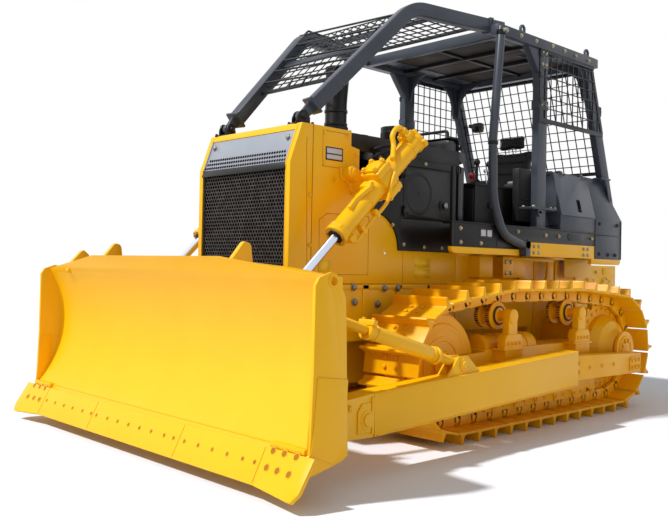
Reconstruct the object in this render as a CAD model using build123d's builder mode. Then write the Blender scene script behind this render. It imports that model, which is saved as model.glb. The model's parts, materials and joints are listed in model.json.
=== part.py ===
"""Crawler dozer for forest work: tracks, straight blade, canopy with limb risers, and a rear winch.

Frame: +Z up, the machine faces -Y, +X is its left-hand side. The origin is on the ground, in the
middle of the whole machine. All lengths are in millimetres.
"""

from build123d import *
from math import atan2, cos, degrees, hypot, pi, radians, sin, sqrt, tan
import os

os.makedirs("parts", exist_ok=True)

# ---------------------------------------------------------------------------------------------
# Driving dimensions
# ---------------------------------------------------------------------------------------------

# Clearances
SEAT_GAP = 0.3  # between curved faces of neighbouring pieces
RUN_GAP = 0.05  # radial clearance of a shaft in its bore
PANEL_GAP = 6  # around doors and lids

# Tracks
TRACK_X = 1000  # middle of each track, half the gauge
SHOE_WIDTH = 560
SHOE_COUNT = 37
SHOE_PLATE = 22
GROUSER_HEIGHT = 72
PIN_LINE = 139  # from the grouser tips to the line through the track pins
LINK_RAIL = 54  # from the pin line to the rail that the rollers run on
LINK_INNER = 36  # half the space between a track's two rows of links
LINK_WIDTH = 42
SPROCKET_Y = 1715
SPROCKET_PIN_R = 468
WHEELBASE = 2610
IDLER_PIN_R = 455
TOP_RUN_Z = 1138  # pin line of the top run
CARRIER_Y = (-167, 947)
CARRIER_Z = 975
ROLLER_R = 92
ROLLER_COUNT = 6
ROLLER_PITCH = 318
FRAME_HALF_WIDTH = 150
BEAM_CLEAR = 12  # from the shoes to the outer beam of the track frame
OUTER_BEAM_WIDTH = 128

# Hull and engine cover
HOOD_HALF = 583
HOOD_TOP = 2437
GUARD_WALL = 50
GUARD_BOTTOM = 800
FACE_Y = -2084
FACE_BREAK_Z = 2133
FACE_TOP_Y = -1974
GUARD_REAR_Y = -1860
SHEET = 8
HOOD_REAR_Y = -1453
HOOD_STEP_Y = -1359
HOOD_BOTTOM = 1230
HOUSING_FRONT_Y = -1190
HOUSING_REAR_Y = -141
HOUSING_TOP = 2290
HOUSING_BOTTOM = 1512
HOUSING_CORNER_R = 300
HOUSING_DEPTH = 34
CASE_HALF = 520
CASE_FRONT_Y = 1154
CASE_REAR_Y = 2225
CASE_TOP = 1500
FRAME_BOTTOM = 405

# Operator's station
FLOOR_TOP = 1762
FLOOR_FRONT_Y = -605
FENDER_HALF = 930
SKIRT_BOTTOM = 1552
SKIRT_REAR_Y = 500  # where the deep part of the skirt ends, at the brace tubes' feet
SKIRT_WIDTH = 100
BEAM_TOP = 1625
BEAM_BOTTOM = 1495
BOX_FRONT_Y = 1079
TANK_FRONT_Y = 1736
TANK_REAR_Y = 2300
TANK_SLOPE = 280  # how far the tank's rear leans in above the shoulder
BOX_TOP = 2340
BOX_TOP_HALF = 822
BOX_SHOULDER_Z = 1910
BOX_INNER_HALF = 585
CONSOLE_X = (300, 520)
CONSOLE_Y = (250, 1500)
CONSOLE_TOP = 2170

# Canopy
POST_X = (808, 878)
POST_Y = (742, 892)
ROOF_HALF = 900
ROOF_FRONT_Y = 135
ROOF_REAR_Y = 1800
ROOF_TOP = 3560
ROOF_DEPTH = 90
EYE_PLATE_X = (845, 865)  # lifting eyes on the roof
EYE_PLATE_Y = (482, 1640)
EYE_PLATE_R = 42
EYE_RISE = 45
LIFTING_HOLE_R = 20
WIRE = 9
WIRE_PITCH = 100
SIDE_SCREEN_HEIGHT = 650
SCREEN_RAIL = 45  # width of the side screens' frames

# Blade, arms and lift cylinders
BLADE_HALF = 1790
BLADE_TOP = 1414
ARM_PIVOT_Y = 265
ARM_PIVOT_Z = 527
ARM_CLEAR = 90  # from the shoes to the push arm
ARM_WIDTH = 160
ARM_PIN_R = 60
LIFT_X = 855
LIFT_PIVOT_Y = -1386
LIFT_PIVOT_Z = 2030
ROD_EYE_Y = -2485
ROD_EYE_Z = 1006
BARREL_R = 80
ROD_R = 33
GLAND_REACH = 660  # from the cylinder's pivot to its open end
HEAD_REACH = 530  # from the cylinder's pivot to its closed end
PISTON_PLACE = 151  # from the cylinder's pivot to the piston's rear face, with the blade on the ground

# Winch
WINCH_HALF = 450
WINCH_REAR_Y = 3100
WINCH_TOP = 1437
WINCH_PLATE = 40
DRUM_Y = 2870
DRUM_Z = 1190
DRUM_R = 120
DRUM_FLANGE_R = 200

# ---------------------------------------------------------------------------------------------
# Worked out from the driving dimensions
# ---------------------------------------------------------------------------------------------

IDLER_Y = SPROCKET_Y - WHEELBASE
IDLER_Z = PIN_LINE + IDLER_PIN_R
SPROCKET_Z = PIN_LINE + SPROCKET_PIN_R
RAIL_TOP = PIN_LINE + LINK_RAIL
ROLLER_Z = RAIL_TOP + ROLLER_R + SEAT_GAP
CARRIER_R = TOP_RUN_Z - LINK_RAIL - CARRIER_Z - SEAT_GAP
TRACK_INNER = TRACK_X - SHOE_WIDTH / 2
TRACK_OUTER = TRACK_X + SHOE_WIDTH / 2
BEAM_X = (TRACK_OUTER + BEAM_CLEAR, TRACK_OUTER + BEAM_CLEAR + OUTER_BEAM_WIDTH)
ARM_X = (TRACK_OUTER + ARM_CLEAR, TRACK_OUTER + ARM_CLEAR + ARM_WIDTH)
ARM_MIDDLE = TRACK_OUTER + ARM_CLEAR + ARM_WIDTH / 2
ROOF_BOTTOM = ROOF_TOP - ROOF_DEPTH
LIFT_ANGLE = degrees(atan2(LIFT_PIVOT_Z - ROD_EYE_Z, LIFT_PIVOT_Y - ROD_EYE_Y))
LIFT_LENGTH = hypot(LIFT_PIVOT_Z - ROD_EYE_Z, LIFT_PIVOT_Y - ROD_EYE_Y)


# ---------------------------------------------------------------------------------------------
# Helpers
# ---------------------------------------------------------------------------------------------

def save(piece, name):
    """Label a finished piece and write it."""
    piece.part.label = name
    export_step(piece.part, f"parts/{name}.step")


def save_pair(left, name):
    """Write a left-hand piece and its mirror image."""
    save(left, f"{name}_left")
    with BuildPart() as right:
        mirror(left.part, about=Plane.YZ)
    save(right, f"{name}_right")


def block(x, y, z, mode=Mode.ADD):
    """A box between the two limits given for each axis."""
    with Locations(((x[0] + x[1]) / 2, (y[0] + y[1]) / 2, (z[0] + z[1]) / 2)):
        Box(x[1] - x[0], y[1] - y[0], z[1] - z[0], mode=mode)


def plate(outline, x, mode=Mode.ADD):
    """A plate with an outline of (y, z) points, between the two limits given for X."""
    with BuildSketch(Plane.YZ.offset(x[0])) as face:
        with BuildLine():
            Polyline(*outline, close=True)
        make_face()
    extrude(face.sketch, amount=x[1] - x[0], mode=mode)


def disc(y, z, radius, x, mode=Mode.ADD):
    """A round disc or bore about an axis along X, between the two limits given for X."""
    with BuildSketch(Plane.YZ.offset(x[0])) as face:
        with Locations((y, z)):
            Circle(radius)
    extrude(face.sketch, amount=x[1] - x[0], mode=mode)


def turned(profile, x, y, z, mode=Mode.ADD):
    """A body turned about an axis along X through (y, z), from (distance from x, radius) points."""
    with BuildSketch(Plane((x, y, z), x_dir=(1, 0, 0), z_dir=(0, 0, 1))) as half:
        with BuildLine():
            Polyline(*profile, close=True)
        make_face()
    revolve(half.sketch, axis=Axis((x, y, z), (1, 0, 0)), mode=mode)


def near(corner, *steps):
    """Points that lie at steps of (y, z) from a corner."""
    return tuple((corner[0] + y, corner[1] + z) for y, z in steps)


def both_sides(x):
    """The limits along X of a piece on the left and of its mirror image on the right."""
    return (x, (-x[1], -x[0]))


# ---------------------------------------------------------------------------------------------
# Tracks
# ---------------------------------------------------------------------------------------------

# The wheels that the pin line wraps, in order round the loop: (y, z, pin line radius)
WRAPS = (
    (IDLER_Y, IDLER_Z, IDLER_PIN_R),
    (CARRIER_Y[0], CARRIER_Z, TOP_RUN_Z - CARRIER_Z),
    (CARRIER_Y[1], CARRIER_Z, TOP_RUN_Z - CARRIER_Z),
    (SPROCKET_Y, SPROCKET_Z, SPROCKET_PIN_R),
)


def outward_normals():
    """The outward unit normal of the straight run from each wheel to the next."""
    normals = []
    for (y0, z0, r0), (y1, z1, r1) in zip(WRAPS, WRAPS[1:] + WRAPS[:1]):
        span = hypot(y1 - y0, z1 - z0)
        along = ((y1 - y0) / span, (z1 - z0) / span)
        lean = (r0 - r1) / span
        rise = sqrt(1 - lean**2)
        normals.append((lean * along[0] - rise * along[1], lean * along[1] + rise * along[0]))
    return normals


def loop_segments(offset=0):
    """The pin line, moved outwards by offset, as (start, end, middle of arc or None, length)."""
    normals = outward_normals()
    segments = []
    for i, (y, z, r) in enumerate(WRAPS):
        before, after = normals[i - 1], normals[i]
        reach = r + offset
        first = atan2(before[1], before[0])
        turn = (first - atan2(after[1], after[0])) % (2 * pi)
        start = (y + reach * cos(first), z + reach * sin(first))
        middle = (y + reach * cos(first - turn / 2), z + reach * sin(first - turn / 2))
        end = (y + reach * cos(first - turn), z + reach * sin(first - turn))
        segments.append((start, end, middle, reach * turn))
        next_y, next_z, next_r = WRAPS[(i + 1) % len(WRAPS)]
        joined = (next_y + (next_r + offset) * after[0], next_z + (next_r + offset) * after[1])
        segments.append((end, joined, None, hypot(joined[0] - end[0], joined[1] - end[1])))
    return segments


def pin_places():
    """Where the track pins lie: SHOE_COUNT points, evenly spaced along the pin line."""
    segments = loop_segments()
    pitch = sum(s[3] for s in segments) / SHOE_COUNT
    places = []
    for k in range(SHOE_COUNT):
        left = k * pitch
        for i, (start, end, middle, length) in enumerate(segments):
            if left <= length:
                break
            left -= length
        if middle is None:
            t = left / length
            places.append((start[0] + t * (end[0] - start[0]), start[1] + t * (end[1] - start[1])))
        else:
            y, z, r = WRAPS[i // 2]
            angle = atan2(start[1] - z, start[0] - y) - left / r
            places.append((y + r * cos(angle), z + r * sin(angle)))
    return places


# A shoe's outer outline: (share of the pitch along the shoe, height over the pin line)
SHOE_OUTER = (
    (0.02, PIN_LINE - GROUSER_HEIGHT),
    (0.74, PIN_LINE - GROUSER_HEIGHT),
    (0.82, PIN_LINE),
    (0.92, PIN_LINE),
    (0.98, PIN_LINE - GROUSER_HEIGHT),
)
SHOE_INNER = (
    (0.98, PIN_LINE - GROUSER_HEIGHT - SHOE_PLATE),
    (0.02, PIN_LINE - GROUSER_HEIGHT - SHOE_PLATE),
)


def along_shoes(profile):
    """The points of a shoe's profile at every shoe of the loop, in order."""
    pins = pin_places()
    points = []
    for (y0, z0), (y1, z1) in zip(pins, pins[1:] + pins[:1]):
        for share, height in profile:
            span = hypot(y1 - y0, z1 - z0)
            across = (-(z1 - z0) / span, (y1 - y0) / span)
            points.append((y0 + share * (y1 - y0) + height * across[0],
                           z0 + share * (z1 - z0) + height * across[1]))
    return points


def loop_face(offset, x):
    """The face inside the pin line moved outwards by offset, on the plane at x."""
    with BuildSketch(Plane.YZ.offset(x)) as face:
        with BuildLine():
            for start, end, middle, _ in loop_segments(offset):
                if middle is None:
                    Line(start, end)
                else:
                    ThreePointArc(start, middle, end)
        make_face()
    return face.sketch


with BuildPart() as track:
    with BuildSketch(Plane.YZ.offset(TRACK_INNER)):
        with BuildLine():
            Polyline(*along_shoes(SHOE_OUTER), close=True)
        make_face()
        with BuildLine():
            Polyline(*along_shoes(SHOE_INNER[::-1]), close=True)
        make_face(mode=Mode.SUBTRACT)
    extrude(amount=SHOE_WIDTH)
    for low in (TRACK_X - LINK_INNER - LINK_WIDTH, TRACK_X + LINK_INNER):
        extrude(loop_face(PIN_LINE - GROUSER_HEIGHT - SHOE_PLATE / 2, low), amount=LINK_WIDTH)
    for low in (TRACK_X - LINK_INNER - LINK_WIDTH, TRACK_X + LINK_INNER):
        extrude(loop_face(-LINK_RAIL, low), amount=LINK_WIDTH, mode=Mode.SUBTRACT)
save_pair(track, "track")

IDLER_RIM_R = IDLER_PIN_R - LINK_RAIL - SEAT_GAP
with BuildPart() as idlers:
    for side in (1, -1):
        turned(
            ((-118, 0), (-118, 70), (-85, 120), (-85, 300), (-72, 330), (-78, 350),
             (-78, IDLER_RIM_R), (-33, IDLER_RIM_R), (-33, IDLER_RIM_R + 28),
             (33, IDLER_RIM_R + 28), (33, IDLER_RIM_R), (78, IDLER_RIM_R), (78, 350),
             (72, 330), (85, 300), (85, 120), (118, 70), (118, 0)),
            side * TRACK_X, IDLER_Y, IDLER_Z,
        )
save(idlers, "idlers")

TOOTH_COUNT = 25
TOOTH_ROOT_R = SPROCKET_PIN_R - 40
TOOTH_TIP_R = SPROCKET_PIN_R + 8
tooth_outline = [
    (SPROCKET_Y + r * cos(2 * pi * (k + share) / TOOTH_COUNT),
     SPROCKET_Z + r * sin(2 * pi * (k + share) / TOOTH_COUNT))
    for k in range(TOOTH_COUNT)
    for share, r in ((0.0, TOOTH_ROOT_R), (0.3, TOOTH_ROOT_R), (0.55, TOOTH_TIP_R), (0.75, TOOTH_TIP_R))
]
SPROCKET_HALF_WIDTH = 28
with BuildPart() as sprockets:
    for x in both_sides((TRACK_X - SPROCKET_HALF_WIDTH, TRACK_X + SPROCKET_HALF_WIDTH)):
        plate(tooth_outline, x)
save(sprockets, "sprockets")

# The final drives: a case inboard of each sprocket and a dome with a bolted cap outboard of it
DRIVE_CASE_R = 330
DRIVE_DOME_R = 318
DRIVE_CAP_R = 127
DRIVE_CAP_X = TRACK_OUTER + 8
CHEEK_THICK = 30  # of the cheek that holds the cap
with BuildPart() as final_drives:
    for side in (1, -1):
        inner = side * (TRACK_X - SPROCKET_HALF_WIDTH)
        outer = side * (TRACK_X + SPROCKET_HALF_WIDTH)
        turned(
            ((0, 0), (0, 300), (-side * 60, DRIVE_CASE_R), (side * CASE_HALF - inner, DRIVE_CASE_R),
             (side * CASE_HALF - inner, 0)),
            inner, SPROCKET_Y, SPROCKET_Z,
        )
        reach = side * DRIVE_CAP_X - outer
        turned(
            ((0, 0), (0, DRIVE_DOME_R), (side * 40, DRIVE_DOME_R), (side * 120, DRIVE_DOME_R - 55),
             (side * 150, DRIVE_CAP_R + 60), (reach - side * 45, DRIVE_CAP_R + 25),
             (reach - side * 45, DRIVE_CAP_R), (reach, DRIVE_CAP_R), (reach, 0)),
            outer, SPROCKET_Y, SPROCKET_Z,
        )
save(final_drives, "final_drives")

# Rollers: six under each track frame, two carriers above it
ROLLER_FLANGE_R = ROLLER_R + 22
roller_first_y = (IDLER_Y + SPROCKET_Y - (ROLLER_COUNT - 1) * ROLLER_PITCH) / 2
ROLLER_Y = [roller_first_y + k * ROLLER_PITCH for k in range(ROLLER_COUNT)]
ROLLER_HALF = LINK_INNER + LINK_WIDTH
with BuildPart() as rollers:
    for side in (1, -1):
        for y in ROLLER_Y:
            turned(
                ((-118, 0), (-118, 45), (-ROLLER_HALF - 20, 60), (-ROLLER_HALF - 20, ROLLER_FLANGE_R),
                 (-ROLLER_HALF - 2, ROLLER_FLANGE_R), (-ROLLER_HALF - 2, ROLLER_R),
                 (-30, ROLLER_R), (-30, 70), (30, 70), (30, ROLLER_R), (ROLLER_HALF + 2, ROLLER_R),
                 (ROLLER_HALF + 2, ROLLER_FLANGE_R), (ROLLER_HALF + 20, ROLLER_FLANGE_R),
                 (ROLLER_HALF + 20, 60), (118, 45), (118, 0)),
                side * TRACK_X, y, ROLLER_Z,
            )
        for y in CARRIER_Y:
            turned(
                ((-ROLLER_HALF, 0), (-ROLLER_HALF, CARRIER_R), (-LINK_INNER + 3, CARRIER_R),
                 (-LINK_INNER + 3, 74), (LINK_INNER - 3, 74), (LINK_INNER - 3, CARRIER_R),
                 (ROLLER_HALF, CARRIER_R), (ROLLER_HALF + 4, CARRIER_R + 12),
                 (ROLLER_HALF + 18, CARRIER_R + 12), (ROLLER_HALF + 20, 72), (ROLLER_HALF + 26, 60),
                 (ROLLER_HALF + 26, 0)),
                side * TRACK_X, y, CARRIER_Z,
            )
save(rollers, "rollers")

# Track frame: box beam, roller guards, idler yoke, recoil housing, carrier brackets, and the outer
# beam that carries the push arm's pivot pin and the sprocket's outer bearing
FRAME_TOP = 700
GUARD_X = (118, FRAME_HALF_WIDTH)
POST_OUT = (FRAME_HALF_WIDTH + 30, FRAME_HALF_WIDTH + 112)  # carrier posts, from the track's middle
POST_FOOT = 125  # half the width of a carrier post's foot
POST_HEAD = 62  # half the width of its upright, rounded round the roller's pin
BEAM_END = (385, 575)  # bottom and top of the outer beam at the sprocket
with BuildPart() as track_frame:
    x_in, x_out = TRACK_X - FRAME_HALF_WIDTH, TRACK_X + FRAME_HALF_WIDTH
    beam_front = IDLER_Y + 480
    beam_rear = SPROCKET_Y - SPROCKET_PIN_R - 20
    block((x_in, x_out), (beam_front, beam_rear), (420, FRAME_TOP))
    for low, high in (GUARD_X, (-GUARD_X[1], -GUARD_X[0])):
        plate(
            ((beam_front - 90, 230), (beam_front, 440), (beam_rear, 440), (beam_rear, 180),
             (beam_front + 30, 180)),
            (TRACK_X + low, TRACK_X + high),
        )
        plate(
            ((IDLER_Y - 70, IDLER_Z - 50), (IDLER_Y - 70, IDLER_Z + 60), (beam_front, IDLER_Z + 90),
             (beam_front, IDLER_Z - 90)),
            (TRACK_X + low, TRACK_X + high),
        )
    with Locations(Plane((TRACK_X, beam_front + 60, FRAME_TOP), x_dir=(1, 0, 0), z_dir=(0, -1, 0))):
        with Locations((0, 0, -380)):
            Cylinder(110, 760)
    post_x = (TRACK_X + POST_OUT[0], TRACK_X + POST_OUT[1])
    for y in CARRIER_Y:
        block((x_out - 20, post_x[1]), (y - POST_FOOT, y + POST_FOOT), (FRAME_TOP - 100, FRAME_TOP))
        plate(near((y, FRAME_TOP), (-POST_FOOT, -100), (-POST_FOOT, 90), (-POST_FOOT + 30, 125),
                   (POST_FOOT - 30, 125), (POST_FOOT, 90), (POST_FOOT, -100)), post_x)
        block((post_x[0] + 6, post_x[1] - 12), (y - POST_HEAD, y + POST_HEAD), (FRAME_TOP + 120, CARRIER_Z + 20))
        disc(y, CARRIER_Z, POST_HEAD, (post_x[0] + 6, post_x[1] - 12))
        disc(y, CARRIER_Z, 45, (TRACK_X + ROLLER_HALF + 26, post_x[0] + 6))
    plate(near((ARM_PIVOT_Y + 200, 0), (0, BEAM_END[0] + 15), (0, BEAM_END[1] + 45))
          + near((SPROCKET_Y + 68, 0), (0, BEAM_END[1]), (0, BEAM_END[0])), BEAM_X)
    block((x_out - 20, BEAM_X[0]), (ARM_PIVOT_Y - 90, ARM_PIVOT_Y + 700), (440, 560))
    block((BEAM_X[0], ARM_X[0] - 5), (ARM_PIVOT_Y - 90, ARM_PIVOT_Y + 200), (430, 620))
    disc(ARM_PIVOT_Y, ARM_PIVOT_Z, ARM_PIN_R, (ARM_X[0] - 5, ARM_X[1] - 20))
    cheek_x = (BEAM_X[0] - CHEEK_THICK, BEAM_X[0])
    disc(SPROCKET_Y, SPROCKET_Z, DRIVE_CAP_R + 45, cheek_x)
    block(cheek_x, (SPROCKET_Y - DRIVE_CAP_R - 25, SPROCKET_Y + 68), (BEAM_END[0] + 15, SPROCKET_Z - 60))
    disc(SPROCKET_Y, SPROCKET_Z, DRIVE_CAP_R + SEAT_GAP, (cheek_x[0] - 1, BEAM_X[0]), mode=Mode.SUBTRACT)
save_pair(track_frame, "track_frame")

# ---------------------------------------------------------------------------------------------
# Hull
# ---------------------------------------------------------------------------------------------

RAIL_X = (300, 420)
FRAME_FRONT_Y = FACE_Y + 60
FRAME_WALL_TOP = HOOD_BOTTOM - 4
BRACKET_Y = ((90, 290), (500, 820))  # brackets that carry the fenders
BRACKET_BOTTOM = 1290
BRACKET_CLEAR = 12  # from the shoes' inner ends
with BuildPart() as main_frame:
    for x in both_sides(RAIL_X):
        block(x, (GUARD_REAR_Y, CASE_FRONT_Y - 4), (FRAME_BOTTOM + 20, GUARD_BOTTOM))
    for x in both_sides((HOOD_HALF - 30, HOOD_HALF)):
        block(x, (GUARD_REAR_Y, HOUSING_REAR_Y + 36), (GUARD_BOTTOM - 30, FRAME_WALL_TOP))
    for y in (GUARD_REAR_Y, -1100, HOUSING_REAR_Y - 60):
        block((-HOOD_HALF, HOOD_HALF), (y, y + 90), (GUARD_BOTTOM - 120, GUARD_BOTTOM))
    block((-RAIL_X[1], RAIL_X[1]), (FRAME_FRONT_Y, GUARD_REAR_Y), (FRAME_BOTTOM + 60, GUARD_BOTTOM - 4))
    plate(((GUARD_REAR_Y - 60, FRAME_BOTTOM + 20), (GUARD_REAR_Y - 60, FRAME_BOTTOM + 8),
           (CASE_FRONT_Y - 4, FRAME_BOTTOM), (CASE_FRONT_Y - 4, FRAME_BOTTOM + 20)), (-RAIL_X[1], RAIL_X[1]))
save(main_frame, "main_frame")

with BuildPart() as rear_case:
    block((-CASE_HALF, CASE_HALF), (CASE_FRONT_Y, CASE_REAR_Y), (FRAME_BOTTOM + 25, CASE_TOP))
    block((-HOOD_HALF, HOOD_HALF), (HOUSING_REAR_Y + 40, CASE_FRONT_Y), (GUARD_BOTTOM + 4, CASE_TOP))
    for x in both_sides((300, 460)):
        for y in (150, 1000, 1900):
            block(x, (y, y + 200), (CASE_TOP, FLOOR_TOP - 20))
    for x in both_sides((HOOD_HALF, TRACK_INNER - BRACKET_CLEAR)):
        for y in BRACKET_Y:
            block(x, y, (BRACKET_BOTTOM, BEAM_BOTTOM - 10))
save(rear_case, "rear_case")

with BuildPart() as engine_block:
    block((-270, 270), (-1380, -250), (GUARD_BOTTOM, 1700))
save(engine_block, "engine_block")

guard_outline = (
    (FACE_Y, GUARD_BOTTOM), (FACE_Y, FACE_BREAK_Z), (FACE_TOP_Y, HOOD_TOP), (GUARD_REAR_Y, HOOD_TOP),
    (GUARD_REAR_Y, GUARD_BOTTOM),
)
with BuildPart() as radiator_guard:
    plate(guard_outline, (-HOOD_HALF, HOOD_HALF))
    opening = (
        (FACE_Y - 10, GUARD_BOTTOM + GUARD_WALL), (FACE_Y - 10, HOOD_TOP - GUARD_WALL),
        (GUARD_REAR_Y + 10, HOOD_TOP - GUARD_WALL), (GUARD_REAR_Y + 10, GUARD_BOTTOM + GUARD_WALL),
    )
    plate(opening, (GUARD_WALL - HOOD_HALF, HOOD_HALF - GUARD_WALL), mode=Mode.SUBTRACT)
save(radiator_guard, "radiator_guard")

# The front is closed by a slanting panel over an upright perforated screen
PANEL_HALF = HOOD_HALF - GUARD_WALL
face_slope = (FACE_TOP_Y - FACE_Y) / (HOOD_TOP - FACE_BREAK_Z)
panel_top_z = HOOD_TOP - GUARD_WALL
panel_top_y = FACE_Y + face_slope * (panel_top_z - FACE_BREAK_Z)
with BuildPart() as grille_panel:
    plate(((FACE_Y + 6, FACE_BREAK_Z), (panel_top_y + 6, panel_top_z), (panel_top_y + 18, panel_top_z),
           (FACE_Y + 18, FACE_BREAK_Z)), (-PANEL_HALF, PANEL_HALF))
save(grille_panel, "grille_panel")

screen_bottom = GUARD_BOTTOM + GUARD_WALL
screen_middle = (screen_bottom + FACE_BREAK_Z) / 2
with BuildPart() as grille_screen:
    block((-PANEL_HALF, PANEL_HALF), (FACE_Y + 14, FACE_Y + 20), (screen_bottom, FACE_BREAK_Z))
    with Locations(Plane((0, FACE_Y + 14, screen_middle), x_dir=(1, 0, 0), z_dir=(0, -1, 0))):
        with GridLocations(100, 100, 10, 12):
            Cylinder(38, 30, mode=Mode.SUBTRACT)
save(grille_screen, "grille_screen")

with BuildPart() as radiator_core:
    block((-PANEL_HALF, PANEL_HALF), (FACE_Y + 120, GUARD_REAR_Y - 4), (screen_bottom, panel_top_z))
save(radiator_core, "radiator_core")

# Engine cover: yellow at the front, black behind; the sides run down round the black housings
arc_y = HOUSING_FRONT_Y + HOUSING_CORNER_R
arc_z = HOUSING_BOTTOM + HOUSING_CORNER_R
with BuildPart() as hood_cover:
    for x in both_sides((HOOD_HALF - SHEET, HOOD_HALF)):
        with BuildSketch(Plane.YZ.offset(x[0])) as side_face:
            with BuildLine():
                front = GUARD_REAR_Y + 3
                Polyline(
                    (arc_y, HOUSING_BOTTOM - 4), (HOUSING_REAR_Y + 36, HOUSING_BOTTOM - 4),
                    (HOUSING_REAR_Y + 36, HOOD_BOTTOM), (front, HOOD_BOTTOM), (front, HOOD_TOP),
                    (HOOD_REAR_Y, HOOD_TOP), (HOOD_REAR_Y, HOOD_TOP - 120),
                    (HOOD_STEP_Y, HOOD_TOP - 137), (HOOD_STEP_Y, arc_z + 180),
                    (HOUSING_FRONT_Y - 4, arc_z + 180), (HOUSING_FRONT_Y - 4, arc_z),
                )
                RadiusArc((HOUSING_FRONT_Y - 4, arc_z), (arc_y, HOUSING_BOTTOM - 4),
                          HOUSING_CORNER_R + 4)
            make_face()
        extrude(side_face.sketch, amount=SHEET)
    block((-HOOD_HALF, HOOD_HALF), (front, HOOD_REAR_Y), (HOOD_TOP - SHEET, HOOD_TOP))
save(hood_cover, "hood_cover")

REAR_COVER_TOP = HOOD_TOP - 10
REAR_COVER_BOTTOM = HOUSING_TOP
with BuildPart() as hood_rear_cover:
    block((-HOOD_HALF + 12, HOOD_HALF - 12), (HOOD_REAR_Y + 4, -58), (REAR_COVER_BOTTOM, REAR_COVER_TOP))
    block((-HOOD_HALF + 12 + SHEET, HOOD_HALF - 12 - SHEET), (HOOD_REAR_Y, -58 - SHEET),
          (REAR_COVER_BOTTOM - 1, REAR_COVER_TOP - SHEET), mode=Mode.SUBTRACT)
save(hood_rear_cover, "hood_rear_cover")

# The black housings at the engine's sides, each with a door on an upright pin at its front edge
DOOR_Y = (-845, -205)
DOOR_Z = (FLOOR_TOP + 14, HOUSING_TOP - 60)  # the door swings out over the fender
DOOR_DEPTH = 14
HINGE_PIN_R = 7
KNUCKLE_R = 13
housing_x = (HOOD_HALF - 20, HOOD_HALF - 20 + HOUSING_DEPTH)
door_hinge = (housing_x[1] + KNUCKLE_R + SEAT_GAP, DOOR_Y[0])
with BuildPart() as side_housings:
    for side in (1, -1):
        with BuildSketch(Plane.YZ.offset(housing_x[0] if side > 0 else -housing_x[1])) as wall:
            with BuildLine():
                Polyline((arc_y, HOUSING_BOTTOM), (HOUSING_REAR_Y, HOUSING_BOTTOM),
                         (HOUSING_REAR_Y, HOUSING_TOP), (HOUSING_FRONT_Y, HOUSING_TOP),
                         (HOUSING_FRONT_Y, arc_z))
                RadiusArc((HOUSING_FRONT_Y, arc_z), (arc_y, HOUSING_BOTTOM), HOUSING_CORNER_R)
            make_face()
        extrude(wall.sketch, amount=HOUSING_DEPTH)
        for z in (DOOR_Z[0] + 40, DOOR_Z[1] - 90):
            with Locations((side * door_hinge[0], door_hinge[1], z)):
                Cylinder(HINGE_PIN_R, 50, align=(Align.CENTER, Align.CENTER, Align.MIN))
                with Locations((-side * KNUCKLE_R / 2, 0, -20), (-side * KNUCKLE_R / 2, 0, 50)):
                    Box(3 * KNUCKLE_R, 2 * HINGE_PIN_R, 20, align=(Align.CENTER, Align.CENTER, Align.MIN))
    for x in both_sides(housing_x):
        block(x, DOOR_Y, DOOR_Z, mode=Mode.SUBTRACT)
save(side_housings, "side_housings")

door_x = (housing_x[1] - DOOR_DEPTH, housing_x[1])
with BuildPart() as engine_door:
    block(door_x, (DOOR_Y[0] + PANEL_GAP, DOOR_Y[1] - PANEL_GAP),
          (DOOR_Z[0] + PANEL_GAP, DOOR_Z[1] - PANEL_GAP))
    for z in (DOOR_Z[0] + 40, DOOR_Z[1] - 90):
        with Locations((door_hinge[0], door_hinge[1], z + PANEL_GAP / 2)):
            knuckle = 50 - PANEL_GAP
            Cylinder(KNUCKLE_R, knuckle, align=(Align.CENTER, Align.CENTER, Align.MIN))
            Box(door_hinge[0] - door_x[1], 60, knuckle, align=(Align.MAX, Align.MIN, Align.MIN))
            Cylinder(HINGE_PIN_R + RUN_GAP, knuckle, align=(Align.CENTER, Align.CENTER, Align.MIN),
                     mode=Mode.SUBTRACT)
save_pair(engine_door, "engine_door")

EXHAUST_Y = -1075
EXHAUST_R = 95
EXHAUST_TOP = 3100
with BuildPart() as exhaust_pipe:
    with Locations((0, EXHAUST_Y, HOOD_TOP - 10)):
        Cylinder(EXHAUST_R + 15, 150, align=(Align.CENTER, Align.CENTER, Align.MIN))
        Cylinder(EXHAUST_R, EXHAUST_TOP - HOOD_TOP + 10, align=(Align.CENTER, Align.CENTER, Align.MIN))
    with Locations((0, EXHAUST_Y, EXHAUST_TOP)):
        Cylinder(EXHAUST_R - SHEET, 300, align=(Align.CENTER, Align.CENTER, Align.MAX), mode=Mode.SUBTRACT)
save(exhaust_pipe, "exhaust_pipe")

with BuildPart() as precleaner:
    with Locations((0, -320, REAR_COVER_TOP)):
        Cylinder(60, 120, align=(Align.CENTER, Align.CENTER, Align.MIN))
        with Locations((0, 0, 115)):
            Cylinder(125, 130, align=(Align.CENTER, Align.CENTER, Align.MIN))
save(precleaner, "precleaner")

# ---------------------------------------------------------------------------------------------
# Operator's station
# ---------------------------------------------------------------------------------------------

with BuildPart() as dash_cowl:
    block((-450, 450), (-54, 85), (FLOOR_TOP, 2570))
save(dash_cowl, "dash_cowl")

with BuildPart() as operator_floor:
    block((-FENDER_HALF, FENDER_HALF), (-100, TANK_FRONT_Y - 4), (FLOOR_TOP - 20, FLOOR_TOP))
    for x in both_sides((FENDER_HALF - SKIRT_WIDTH, FENDER_HALF)):
        block(x, (FLOOR_FRONT_Y, -100), (FLOOR_TOP - 20, FLOOR_TOP))
    for x in both_sides((FENDER_HALF - 20, FENDER_HALF)):
        block(x, (FLOOR_FRONT_Y, SKIRT_REAR_Y), (SKIRT_BOTTOM, FLOOR_TOP - 20))
        block(x, (SKIRT_REAR_Y, TANK_FRONT_Y - 4), (BEAM_TOP, FLOOR_TOP - 20))
save(operator_floor, "operator_floor")

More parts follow.
